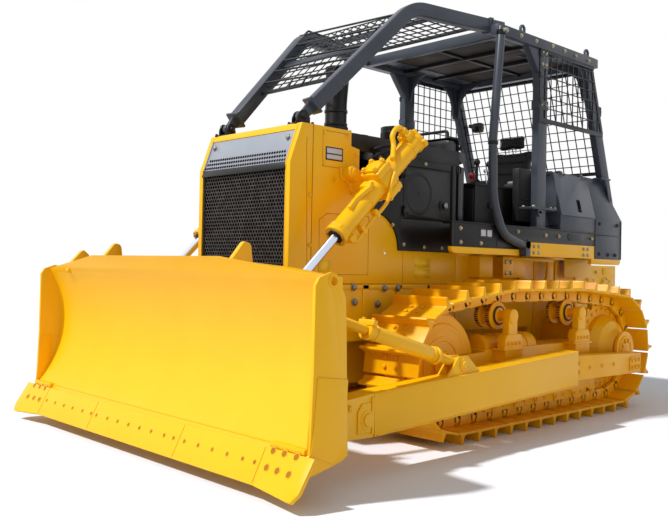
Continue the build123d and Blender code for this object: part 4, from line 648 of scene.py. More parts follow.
class Shape:
    """Closed solids gathered into one mesh."""

    heads: dict[float, bpy.types.Mesh] = {}

    def __init__(self) -> None:
        """Start empty."""
        self.solids = bmesh.new()

    def take(self, part: bmesh.types.BMesh, round_by: float = 0.0, place: Matrix | None = None) -> "Shape":
        """Add a solid, and free what it came in.

        Args:
            part: the solid.
            round_by: the radius of its sharp edges.
            place: where it goes.

        Returns:
            This shape.
        """
        bmesh.ops.recalc_face_normals(part, faces=part.faces)
        if round_by > 0:
            sharp = [e for e in part.edges if len(e.link_faces) == 2 and e.calc_face_angle(0) > 0.55]
            bmesh.ops.bevel(part, geom=sharp, offset=round_by, offset_type="OFFSET", segments=2,
                            profile=0.5, affect="EDGES", clamp_overlap=True)
        mesh = bpy.data.meshes.new("solid")
        part.to_mesh(mesh)
        part.free()
        if place:
            mesh.transform(place)
        self.solids.from_mesh(mesh)
        bpy.data.meshes.remove(mesh)
        return self

    def stamp(self, mesh: bpy.types.Mesh, place: Matrix) -> "Shape":
        """Add a copy of a mesh.

        Args:
            mesh: the mesh.
            place: where the copy goes.

        Returns:
            This shape.
        """
        copy = mesh.copy()
        copy.transform(place)
        self.solids.from_mesh(copy)
        bpy.data.meshes.remove(copy)
        return self

    def block(self, low: Point, high: Point, round_by: float = 0.003,
              place: Matrix | None = None) -> "Shape":
        """Add a box with rounded edges.

        Args:
            low: one corner.
            high: the opposite corner.
            round_by: the radius of its edges.
            place: where it goes, if it is given in local coordinates.

        Returns:
            This shape.
        """
        part = bmesh.new()
        bmesh.ops.create_cube(part, size=1)
        spans = [sorted(pair) for pair in zip(low, high)]
        for v in part.verts:
            v.co = Vector([lo + (c + 0.5) * (hi - lo) for (lo, hi), c in zip(spans, v.co)])
        return self.take(part, round_by, place)

    def prism(self, outline: Sequence[Flat], axis: Axis, low: float, high: float, round_by: float = 0.003,
              place: Matrix | None = None) -> "Shape":
        """Add a plate or bar with one outline along an axis.

        Args:
            outline: its corners in the two other coordinates, in their order.
            axis: the axis that it runs along.
            low: where one end is.
            high: where the other end is.
            round_by: the radius of its edges.
            place: where it goes, if it is given in local coordinates.

        Returns:
            This shape.
        """
        part = bmesh.new()

        def ring(depth: float) -> list[bmesh.types.BMVert]:
            """Make the outline's corners at a depth."""
            made = []
            for a, b in outline:
                spot = [a, b]
                spot.insert(axis.value, depth)
                made.append(part.verts.new(spot))
            return made

        near_ring, far_ring = ring(min(low, high)), ring(max(low, high))
        part.faces.new(near_ring)
        part.faces.new(far_ring[::-1])
        for i, corner in enumerate(near_ring):
            part.faces.new((near_ring[i - 1], corner, far_ring[i], far_ring[i - 1]))
        return self.take(part, round_by, place)

    def turned(self, profile: Sequence[Flat], origin: Sequence[float], along: Sequence[float],
               sides: int = 32, round_by: float = 0.0) -> "Shape":
        """Add a solid of revolution.

        Args:
            profile: (distance along the axis, radius) pairs, from one end to the other; a ring where they
                end at the distance that they started from.
            origin: where the axis starts.
            along: the axis's direction.
            sides: how many flat faces go round.
            round_by: the radius of its edges.

        Returns:
            This shape.
        """
        part = bmesh.new()
        rings = []
        for reach, radius in profile:
            if radius < 1e-6:
                rings.append([part.verts.new((0, 0, reach))])
            else:
                rings.append([part.verts.new((radius * math.cos(2 * math.pi * k / sides),
                                              radius * math.sin(2 * math.pi * k / sides), reach))
                              for k in range(sides)])
        for first, second in zip(rings, rings[1:]):
            for k in range(sides):
                corners = [first[k - 1 if len(first) > 1 else 0], first[k if len(first) > 1 else 0],
                           second[k if len(second) > 1 else 0], second[k - 1 if len(second) > 1 else 0]]
                corners = list(dict.fromkeys(corners))
                if len(corners) > 2:
                    part.faces.new(corners)
        if profile[0][0] == profile[-1][0]:
            for k in range(sides):
                part.faces.new((rings[-1][k - 1], rings[-1][k], rings[0][k], rings[0][k - 1]))
        else:
            for end in (rings[0], rings[-1]):
                if len(end) > 1:
                    part.faces.new(end)
        return self.take(part, round_by, placed(origin, along))

    def rod(self, start: Sequence[float], end: Sequence[float], radius: float, sides: int = 24,
            round_by: float = 0.002) -> "Shape":
        """Add a round bar between two points.

        Args:
            start: the middle of one end.
            end: the middle of the other end.
            radius: its radius.
            sides: how many flat faces go round.
            round_by: the radius of its end edges.

        Returns:
            This shape.
        """
        run = Vector(end) - Vector(start)
        return self.turned(((0, radius), (run.length, radius)), start, run, sides, round_by)

    def tube(self, points: Sequence[Point], radius: float, bend: float = 0.0) -> "Shape":
        """Add a bent tube.

        Args:
            points: the corners of its path.
            radius: its radius.
            bend: the radius of its bends; 0 for one smooth curve through all the points.

        Returns:
            This shape.
        """
        spots = [Vector(p) for p in points]
        path = [spots[0]]
        if bend > 0:
            for before, corner, after in zip(spots, spots[1:], spots[2:]):
                into, out = (before - corner), (after - corner)
                reach = min(bend, into.length * 0.48, out.length * 0.48)
                first, last = corner + into.normalized() * reach, corner + out.normalized() * reach
                path += [(1 - t) ** 2 * first + 2 * t * (1 - t) * corner + t * t * last
                         for t in (k / 6 for k in range(7))]
        else:
            padded = [2 * spots[0] - spots[1], *spots, 2 * spots[-1] - spots[-2]]
            for a, b, c, d in zip(padded, padded[1:], padded[2:], padded[3:]):
                path += [0.5 * (2 * b + (c - a) * t + (2 * a - 5 * b + 4 * c - d) * t ** 2
                                + (3 * b - a - 3 * c + d) * t ** 3) for t in (k / 8 for k in range(1, 9))]
        if bend > 0:
            path.append(spots[-1])
        part = bmesh.new()
        sides, rings = 12, []
        side = (path[1] - path[0]).orthogonal().normalized()
        for i, spot in enumerate(path):
            ahead = (path[min(i + 1, len(path) - 1)] - path[max(i - 1, 0)]).normalized()
            side = (side - side.dot(ahead) * ahead).normalized()
            up = ahead.cross(side)
            rings.append([part.verts.new(spot + radius * (math.cos(2 * math.pi * k / sides) * side
                                                          + math.sin(2 * math.pi * k / sides) * up))
                          for k in range(sides)])
        for first, second in zip(rings, rings[1:]):
            for k in range(sides):
                part.faces.new((first[k - 1], first[k], second[k], second[k - 1]))
        part.faces.new(rings[0])
        part.faces.new(rings[-1])
        return self.take(part)

    def bolt(self, place: Sequence[float], normal: Sequence[float], across: float = 0.03,
             washer: bool = True) -> "Shape":
        """Add a hexagon bolt head.

        Args:
            place: where its axis leaves the surface.
            normal: the direction that it faces.
            across: the width across its flats.
            washer: whether a washer lies under it.

        Returns:
            This shape.
        """
        if across not in self.heads:
            head = Shape()
            head.turned(((0, across * 0.565), (across * 0.42, across * 0.565),
                         (across * 0.5, across * 0.42)), (0, 0, across * 0.08), (0, 0, 1), 6, across * 0.03)
            head.turned(((across * 0.5, across * 0.25), (across * 0.6, across * 0.22)), (0, 0, 0),
                        (0, 0, 1), 10)
            self.heads[across] = bpy.data.meshes.new("bolt_head")
            head.solids.to_mesh(self.heads[across])
            head.solids.free()
        self.stamp(self.heads[across], placed(place, normal, (0.3, 0.8, 0.5)))
        if washer:
            self.turned(((0, across * 0.78), (across * 0.1, across * 0.78), (across * 0.12, across * 0.7)),
                        place, normal, 20)
        return self

    def bolts_on(self, skin: BVHTree, starts: Sequence[Point], along: Point, across: float = 0.03,
                 washer: bool = True) -> "Shape":
        """Add bolts where lines from some points meet a surface.

        Args:
            skin: the surface.
            starts: points outside it.
            along: the lines' direction.
            across: the width across the flats.
            washer: whether washers lie under them.

        Returns:
            This shape.
        """
        for start in starts:
            place, normal, _, _ = skin.ray_cast(Vector(start), Vector(along).normalized())
            if place is None:
                log.warning("no surface for a bolt from %s", start)
                continue
            self.bolt(place, normal, across, washer)
        return self

    def mirrored(self, keep: bool = True) -> "Shape":
        """Mirror what is there from the left side to the right.

        Args:
            keep: whether the left side stays too.

        Returns:
            This shape.
        """
        mesh = bpy.data.meshes.new("mirror_image")
        self.solids.to_mesh(mesh)
        mesh.transform(Matrix.Scale(-1, 4, (1, 0, 0)))
        mesh.flip_normals()
        if not keep:
            self.solids.clear()
        self.solids.from_mesh(mesh)
        bpy.data.meshes.remove(mesh)
        return self

    def finish(self, name: str, finish: Finish, body: str, *replaced: str) -> bpy.types.Object:
        """Turn the solids into one piece of the machine.

        Args:
            name: the piece's name.
            finish: its finish.
            body: the body that it rides on.
            *replaced: the CAD nodes that it stands for.

        Returns:
            The piece's object.
        """
        mesh = bpy.data.meshes.new(name)
        self.solids.to_mesh(mesh)
        self.solids.free()
        smooth_by_angle(mesh)
        mesh.materials.append(finish.material())
        piece = bpy.data.objects.new(name, mesh)
        bpy.context.scene.collection.objects.link(piece)
        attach(piece, body)
        if replaced:
            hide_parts(*replaced)
        log.info("%s: %d faces", name, len(mesh.polygons))
        return piece


def spread(first: Sequence[float], last: Sequence[float], count: int) -> list[Vector]:
    """Place points evenly between two points, both of them included.

    Args:
        first: where they start.
        last: where they end.
        count: how many there are.

    Returns:
        The points, in their order.
    """
    return [Vector(first).lerp(Vector(last), k / (count - 1)) for k in range(count)]


def ring_of(centre: Sequence[float], radius: float, count: int, start: float = 0.0) -> list[Vector]:
    """Place points evenly on a circle that faces along X.

    Args:
        centre: the circle's middle.
        radius: its radius.
        count: how many points there are.
        start: the angle of the first one, in radians from +Y towards +Z.

    Returns:
        The points, in their order.
    """
    return [Vector(centre) + radius * Vector((0, math.cos(start + 2 * math.pi * k / count),
                                              math.sin(start + 2 * math.pi * k / count)))
            for k in range(count)]


# Undercarriage


@dataclass
class TrackDress:
    """A track's links, pins, grouser shoes and shoe bolts.

    Attributes:
        middle: the track's middle along X.
        width: the shoes' width.
        count: how many shoes there are.
        rail: from the pin line to the rail that the rollers run on.
        gap_half: half the space between the two rows of links.
        link_width: a link's width.
        wheels: (y, z, pin line radius) of the wheels that the pin line wraps.
        plate: a shoe's outline as (place along the shoe, height over the pin line).
    """

    middle: float = 1.0
    width: float = 0.56
    count: int = 37
    rail: float = 0.054
    gap_half: float = 0.036
    link_width: float = 0.042
    wheels: tuple[Point, ...] = ((-0.895, 0.594, 0.455), (-0.167, 0.975, 0.163), (0.947, 0.975, 0.163),
                                 (1.715, 0.607, 0.468))
    plate: tuple[Flat, ...] = ((0.002, 0.046), (0.002, 0.058), (0.01, 0.067), (0.15, 0.067), (0.17, 0.074),
                               (0.184, 0.124), (0.19, 0.139), (0.208, 0.139), (0.212, 0.126),
                               (0.214, 0.078), (0.222, 0.067), (0.232, 0.06), (0.236, 0.04), (0.226, 0.038),
                               (0.218, 0.046))

    def _normal(self, index: int) -> tuple[float, float]:
        """Give the outward normal of the run from a wheel to the next one."""
        y0, z0, r0 = self.wheels[index]
        y1, z1, r1 = self.wheels[(index + 1) % len(self.wheels)]
        span = math.hypot(y1 - y0, z1 - z0)
        lean = (r0 - r1) / span
        rise = math.sqrt(1 - lean ** 2)
        along = ((y1 - y0) / span, (z1 - z0) / span)
        return lean * along[0] - rise * along[1], lean * along[1] + rise * along[0]

    def pins(self) -> list[Vector]:
        """Place the track pins evenly along the pin line."""
        path: list[Vector] = []
        for i, (y, z, r) in enumerate(self.wheels):
            before, after = self._normal(i - 1), self._normal(i)
            first = math.atan2(before[1], before[0])
            turn = (first - math.atan2(after[1], after[0])) % (2 * math.pi)
            path += [Vector((self.middle, y + r * math.cos(first - turn * k / 80),
                             z + r * math.sin(first - turn * k / 80))) for k in range(81)]
        path.append(path[0])
        total = sum((b - a).length for a, b in zip(path, path[1:]))
        places, left, i = [], 0.0, 0
        for _ in range(self.count):
            while left > (path[i + 1] - path[i]).length:
                left -= (path[i + 1] - path[i]).length
                i += 1
            places.append(path[i].lerp(path[i + 1], left / (path[i + 1] - path[i]).length))
            left += total / self.count
        return places

    def _shoe(self, pitch: float) -> bpy.types.Mesh:
        """Make one shoe with its two links, bushing and bolts, from pin to pin along local Y."""
        shape = Shape()
        half = self.width / 2
        shape.prism([(y * pitch / 0.2286, z) for y, z in self.plate], Axis.X, -half, half, 0.0025)
        body = ((0.02, -0.034), (0.034, -self.rail), (pitch - 0.034, -self.rail), (pitch - 0.02, -0.034),
                (pitch - 0.02, 0.026), (pitch - 0.036, 0.046), (0.036, 0.046), (0.02, 0.026))
        for side in (-1, 1):
            shape.prism(body, Axis.X, side * self.gap_half, side * (self.gap_half + self.link_width), 0.004)
            middle = side * (self.gap_half + self.link_width / 2)
            for y, inner, outer in ((0.0, 0.0, 0.5), (pitch, 0.52, 1.0)):
                low = side * (self.gap_half + inner * self.link_width)
                high = side * (self.gap_half + outer * self.link_width)
                shape.turned(((0, 0.043), (abs(high - low), 0.043)), (min(low, high), y, -0.006), (1, 0, 0),
                             20, 0.003)
                towards = 0.03 if y == 0 else -0.03
                shape.block((low, y, -0.04), (high, y + towards, 0.03), 0.003)
            for share in (0.3, 0.62):
                shape.bolt((middle, share * pitch, 0.067), (0, 0, 1), 0.03, False)
        shape.rod((-self.gap_half, 0, 0), (self.gap_half, 0, 0), 0.034, 16, 0.0)
        shape.rod((-0.083, 0, 0), (0.083, 0, 0), 0.022, 16, 0.002)
        mesh = bpy.data.meshes.new("shoe")
        shape.solids.to_mesh(mesh)
        shape.solids.free()
        return mesh

    def build(self) -> None:
        """Lay the shoes round both tracks."""
        pins = self.pins()
        pitch = sum((b - a).length for a, b in zip(pins, pins[1:])) / (self.count - 1)
        shoe = self._shoe(pitch)
        for side, node in ((Side.LEFT, "track_left"), (Side.RIGHT, "track_right")):
            shape = Shape()
            for here, there in zip(pins, pins[1:] + pins[:1]):
                ahead = (there - here).normalized()
                outward = Vector((0, -ahead.z, ahead.y))
                frame = Matrix((Vector((1, 0, 0)), ahead, outward)).transposed().to_4x4()
                shape.stamp(shoe, Matrix.Translation(here) @ frame)
            if side is Side.RIGHT:
                shape.mirrored(keep=False)
            shape.finish(node + "_shoes", TRACK_YELLOW, "hull", node)
        bpy.data.meshes.remove(shoe)


@dataclass
class UndercarriageDress:
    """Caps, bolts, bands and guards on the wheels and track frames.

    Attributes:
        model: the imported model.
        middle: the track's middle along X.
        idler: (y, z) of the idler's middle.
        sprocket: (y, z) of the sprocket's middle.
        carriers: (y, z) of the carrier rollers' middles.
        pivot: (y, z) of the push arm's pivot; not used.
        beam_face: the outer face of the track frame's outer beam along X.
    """

    model: Model
    middle: float = 1.0
    idler: Flat = (-0.895, 0.594)
    sprocket: Flat = (1.715, 0.607)
    carriers: tuple[Flat, ...] = ((-0.167, 0.975), (0.947, 0.975))
    pivot: Flat = (0.265, 0.527)
    beam_face: float = 1.42

    def build(self) -> None:
        """Dress both sides."""
        self._wheels()
        self._frame()
        self._bolts()

    def _wheels(self) -> None:
        """Add the final drive's cap ring, the idler's hub cover and the carrier rollers' bands."""
        shape = Shape()
        y, z = self.sprocket
        shape.turned(((0, 0.127), (0.012, 0.124), (0.016, 0.108), (0.006, 0.098), (0.004, 0.07),
                      (0.018, 0.064), (0.024, 0.05), (0.026, 0.0)), (1.288, y, z), (1, 0, 0), 48)
        y, z = self.idler
        shape.turned(((0, 0.118), (0.01, 0.112), (0.014, 0.085), (0.034, 0.07), (0.04, 0.052), (0.04, 0.0)),
                     (1.108, y, z), (1, 0, 0), 40)
        shape.turned(((0, 0.236), (0.01, 0.23), (0.01, 0.196), (0, 0.19)), (1.082, y, z), (1, 0, 0), 56)
        shape.turned(((0, 0.338), (0.008, 0.33), (0.008, 0.306), (0, 0.3)), (1.076, y, z), (1, 0, 0), 64)
        for y, z in self.carriers:
            shape.turned(((0, 0.06), (0.006, 0.07), (0.016, 0.07), (0.02, 0.062)), (1.098, y, z), (1, 0, 0),
                         32)
            shape.turned(((0, 0.062), (0.008, 0.06), (0.012, 0.046), (0.016, 0.02), (0.016, 0.0)),
                         (1.25, y, z), (1, 0, 0), 32)
        shape.mirrored().finish("wheel_caps_and_rings", TRACK_YELLOW, "hull")
        bands = Shape()
        for y, z in self.carriers:
            for x in (0.924, 1.034):
                bands.turned(((0, 0.104), (0.002, 0.1088), (0.04, 0.1088), (0.042, 0.104)), (x, y, z),
                             (1, 0, 0), 40)
            bands.turned(((0, 0.058), (0.002, 0.082), (0.012, 0.082), (0.014, 0.058)), (1.102, y, z),
                         (1, 0, 0), 32)
        bands.mirrored().finish("carrier_wear_bands", CAST, "hull")

    def _frame(self) -> None:
        """Add the roller guards, recoil bands and stiffeners of the track frames."""
        shape = Shape()
        lower, pitch = 0.182, 0.318
        first = (self.idler[0] + self.sprocket[0]) / 2 - 2.5 * pitch
        edge: list[Flat] = [(first - 0.19, 0.43), (first - 0.19, 0.235)]
        for k in range(6):
            y = first + k * pitch
            edge += [(y - 0.125, lower), (y - 0.082, lower), (y - 0.066, 0.232), (y - 0.034, 0.252),
                     (y + 0.034, 0.252), (y + 0.066, 0.232), (y + 0.082, lower), (y + 0.125, lower)]
        edge += [(first + 5 * pitch + 0.17, 0.235), (first + 5 * pitch + 0.17, 0.43)]
        shape.prism(edge, Axis.X, self.middle + 0.15, self.middle + 0.162, 0.002)
        for y in (-0.34, -0.14, 0.06, 0.26):
            shape.turned(((0, 0.11), (0.004, 0.118), (0.026, 0.118), (0.03, 0.11)), (1.0, y, 0.7),
                         (0, 1, 0), 40)
        for y, _ in self.carriers:
            shape.block((1.15, y - 0.155, 0.694), (1.275, y + 0.155, 0.712), 0.004)
            shape.prism(((y - 0.1, 0.712), (y - 0.062, 0.712), (y - 0.062, 0.8)), Axis.X, 1.2, 1.216, 0.002)
            shape.prism(((y + 0.1, 0.712), (y + 0.062, 0.712), (y + 0.062, 0.8)), Axis.X, 1.2, 1.216, 0.002)
        face = self.beam_face
        shape.prism(((0.5, 0.445), (0.5, 0.585), (0.62, 0.572), (0.62, 0.44)), Axis.X, face, face + 0.01,
                    0.003)
        shape.prism(((1.55, 0.415), (1.55, 0.548), (1.755, 0.548), (1.755, 0.415)), Axis.X, face,
                    face + 0.01, 0.003)
        shape.mirrored().finish("track_frame_guards", TRACK_YELLOW, "hull")

    def _bolts(self) -> None:
        """Add the bolts that hold the caps, guards and posts."""
        shape = Shape()
        y, z = self.sprocket
        for spot in ring_of((1.294, y, z), 0.083, 8, 0.2):
            shape.bolt(spot, (1, 0, 0), 0.03, False)
        for spot in ring_of((1.028, y, z), 0.376, 24):
            shape.bolt(spot, (1, 0, 0), 0.026)
        y, z = self.idler
        for spot in ring_of((1.118, y, z), 0.098, 6, 0.3):
            shape.bolt(spot, (1, 0, 0), 0.018)
        skin = self.model.skin("track_frame_left")
        for y, _ in self.carriers:
            for step in (-0.085, -0.028, 0.028, 0.085):
                shape.bolt((1.262, y + step, 0.752), (1, 0, 0), 0.024)
            for step in (-0.128, 0.128):
                shape.bolt((1.2, y + step, 0.712), (0, 0, 1), 0.024)
                shape.bolt((1.25, y + step, 0.712), (0, 0, 1), 0.024)
        for k in range(6):
            middle = (self.idler[0] + self.sprocket[0]) / 2 + (k - 2.5) * 0.318
            shape.bolt((1.162, middle - 0.1, 0.222), (1, 0, 0), 0.022)
            shape.bolt((1.162, middle + 0.1, 0.222), (1, 0, 0), 0.022)
            shape.bolt((1.162, middle, 0.395), (1, 0, 0), 0.022)
        for spot in ((1.43, 0.53, 0.475), (1.43, 0.53, 0.555), (1.43, 0.59, 0.47), (1.43, 0.59, 0.55),
                     (1.43, 1.585, 0.445), (1.43, 1.585, 0.515), (1.43, 1.652, 0.445), (1.43, 1.652, 0.515),
                     (1.43, 1.72, 0.445), (1.43, 1.72, 0.515)):
            shape.bolt(spot, (1, 0, 0), 0.03)
        shape.bolts_on(skin, [(1.6, y, 0.5) for y in (0.8, 1.02, 1.24)], (-1, 0, 0), 0.026)
        shape.mirrored().finish("undercarriage_bolts", TRACK_YELLOW, "hull")


# Blade, arms and cylinders


@dataclass
class BladeDress:
    """Bolt rows, seams, weld beads and stiffeners of the blade and its arms.

    Attributes:
        model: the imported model.
        edge_row: the height of the main row of edge bolts.
        bolt_x: where the main row's bolts are.
        end_x: where the end bits' bolts are, on both sides.
        half: half the mouldboard's width.
    """

    model: Model
    edge_row: float = 0.205
    bolt_x: tuple[float, ...] = (-1.385, -1.23, -1.073, -0.922, -0.757, -0.616, -0.53, -0.363, -0.212,
                                 -0.057, 0.095, 0.25, 0.416, 0.53, 0.659, 0.815, 0.969, 1.125, 1.28, 1.395)
    end_x: tuple[float, ...] = (1.515, 1.615, 1.72)
    half: float = 1.79

    def build(self) -> None:
        """Dress the blade, its arms and the braces."""
        self._edges()
        self._welds()
        self._arms()
        self._braces()

    def _edges(self) -> None:
        """Add the edge bolts, as darker discs in yellow rims painted as the shade of their recesses, and
        darker strips painted as the shade in the seams between the edge's sections.
        """
        skin = self.model.skin("cutting_edge")
        # Darker discs and strips: painted shade in the bolt recesses and the seams.
        shape, rims = Shape(), Shape()
        starts = [(x, -3.4, self.edge_row) for x in self.bolt_x]
        starts += [(s * x, -3.4, z) for x in self.end_x for z in (self.edge_row - 0.008, 0.287)
                   for s in (-1, 1)]
        for start in starts:
            place, normal, _, _ = skin.ray_cast(Vector(start), Vector((0, 1, 0)))
            if place is None:
                continue
            wide = 0.0195 if abs(start[0]) > 1.45 else 0.0125
            shape.turned(((0, wide), (0.0008, wide * 0.96), (0.0009, 0.0)), place, normal, 20)
            rims.turned(((0, wide * 1.35), (0.0014, wide * 1.3), (0.0016, wide * 1.05), (0.0004, wide)),
                        place, normal, 24)
        for x in (-0.59, 0.59, -1.437, 1.437):
            low, _, _, _ = skin.ray_cast(Vector((x + 0.004, -3.4, 0.11)), Vector((0, 1, 0)))
            high, _, _, _ = skin.ray_cast(Vector((x + 0.004, -3.4, 0.29)), Vector((0, 1, 0)))
            if low and high:
                face = (high - low).normalized()
                out = Vector((1, 0, 0)).cross(face)
                out = out if out.y < 0 else -out
                frame = Matrix((Vector((1, 0, 0)), face, out)).transposed().to_4x4()
                shape.block((-0.0022, -0.012, -0.001), (0.0022, (high - low).length + 0.008, 0.0009), 0.0,
                            Matrix.Translation(low) @ frame)
        shape.finish("edge_bolt_heads_and_seams", SEAM_SHADE, "blade")
        rims.finish("edge_bolt_rims", YELLOW, "blade")

    def _welds(self) -> None:
        """Add the weld bead, backing plates and pins of the mouldboard."""
        board = self.model.skin("mouldboard")
        shape = Shape()
        line = []
        for x in [-1.72 + 0.215 * k for k in range(17)]:
            place, _, _, _ = board.ray_cast(Vector((x, -3.4, 0.318)), Vector((0, 1, 0)))
            line.append(tuple(place))
        shape.tube(line, 0.005)
        for side in (-1, 1):
            face = side * self.half
            shape.prism(((-2.88, 0.735), (-2.905, 0.42), (-2.925, 0.3), (-2.76, 0.232), (-2.66, 0.262),
                         (-2.64, 0.705)), Axis.X, face, face + side * 0.007, 0.003)
            shape.turned(((0, 0.04), (0.005, 0.038), (0.005, 0.027), (0, 0.027)), (face, -2.768, 1.278),
                         (side, 0, 0), 32)
            shape.prism(((-2.9, 0.3), (-2.93, 0.33), (-2.905, 0.66), (-2.885, 0.72), (-2.8, 0.72),
                         (-2.8, 0.3)), Axis.X, side * 1.762, side * 1.772, 0.002)
            shape.block((side * 1.46, -2.945, 0.298), (side * 1.765, -2.9, 0.33), 0.004)
            near_x = min(side * 1.4, side * 1.5)
            for z in (0.52, 0.8, 1.06):
                shape.prism(((-2.685, z), (-2.62, z - 0.09), (-2.62, z + 0.09)), Axis.X, near_x,
                            near_x + 0.014, 0.002)
        shape.finish("blade_welds_and_plates", YELLOW, "blade")
        pins = Shape()
        for side in (-1, 1):
            for x, y, z, reach, radius in ((0.855, -2.485, 1.006, 0.09, 0.036),
                                           (1.405, -2.61, 1.094, 0.08, 0.028)):
                pins.rod((side * (x - reach), y, z), (side * (x + reach), y, z), radius, 24, 0.003)
                for end in (-1, 1):
                    pins.block((side * x + end * reach - 0.006, y - 0.05, z - 0.014),
                               (side * x + end * reach + 0.006, y + 0.05, z + 0.014), 0.002)
                    pins.bolt((side * x + end * (reach + 0.006), y + 0.036, z), (end, 0, 0), 0.018, False)
        pins.finish("blade_eye_pins", YELLOW, "blade")

    def _arms(self) -> None:
        """Add eye caps, weld seams, pads and bolts to the push arms."""
        shape = Shape()
        low, high = 1.37, 1.53
        for z_low, z_high in ((0.268, 0.38), (0.543, 0.672)):
            shape.tube([(high + 0.001, -2.1, z_low), (high + 0.001, 0.38, z_high)], 0.005, 0.01)
            shape.tube([(low - 0.001, -2.1, z_low), (low - 0.001, 0.38, z_high)], 0.005, 0.01)
        shape.block((low - 0.012, -2.165, 0.285), (high + 0.012, -2.142, 0.525), 0.005)
        shape.turned(((0, 0.066), (0.012, 0.062), (0.014, 0.044), (0.026, 0.04), (0.028, 0.0)),
                     (high, -2.205, 0.383), (1, 0, 0), 36)
        shape.prism(((-2.29, 0.3), (-2.29, 0.44), (-2.25, 0.49), (-2.17, 0.49), (-2.17, 0.3)), Axis.X, high,
                    high + 0.008, 0.003)
        for y, z in ((-2.42, 0.47), (-2.36, 0.47), (-2.42, 0.33)):
            shape.bolt((high, y, z), (1, 0, 0), 0.034)
        y, z = -1.163, 0.663
        for end, x in ((-1, 1.398), (1, 1.502)):
            shape.turned(((0, 0.05), (0.01, 0.047), (0.012, 0.03), (0.022, 0.026), (0.022, 0.0)), (x, y, z),
                         (end, 0, 0), 28)
            shape.bolt((x + end * 0.012, y + 0.037, z - 0.02), (end, 0, 0), 0.016, False)
        shape.mirrored().finish("push_arm_trim", YELLOW, "blade")

    def _braces(self) -> None:
        """Add the screw threads, lock nuts and clamps of the blade braces."""
        foot, head = Vector((1.45, -1.163, 0.663)), Vector((1.405, -2.61, 1.094))
        run = head - foot
        shape = Shape()
        for first, last in ((0.075, 0.165), (0.665, 0.855)):
            count = int((last - first) * run.length / 0.011)
            profile = [(first * run.length, 0.028)]
            for k in range(count):
                start = first * run.length + 0.011 * k
                profile += [(start + 0.002, 0.0345), (start + 0.006, 0.0345), (start + 0.009, 0.031)]
            profile.append((last * run.length, 0.028))
            shape.turned(profile, foot, run, 28)
        for share, radius, deep in ((0.17, 0.064, 0.03), (0.205, 0.058, 0.016), (0.6, 0.058, 0.016),
                                    (0.64, 0.064, 0.034), (0.935, 0.06, 0.02)):
            shape.turned(((0, radius * 0.94), (0.004, radius), (deep - 0.004, radius),
                          (deep, radius * 0.94)), foot + share * run, run, 32)
        shape.turned(((0, 0.062), (0.03, 0.062)), foot + 0.845 * run, run, 6, 0.004)
        side = run.cross(Vector((0, 0, 1))).normalized()
        up = side.cross(run).normalized()
        clamp = foot + 0.655 * run
        tilt = Matrix((run.normalized(), side, up)).transposed().to_4x4()
        shape.block((-0.018, -0.075, -0.02), (0.018, 0.075, 0.02), 0.004,
                    Matrix.Translation(clamp + up * 0.052) @ tilt)
        for end in (-1, 1):
            shape.bolt(clamp + up * 0.072 + side * end * 0.045, up, 0.024)
        shape.mirrored().finish("brace_screws_and_nuts", YELLOW, "blade")


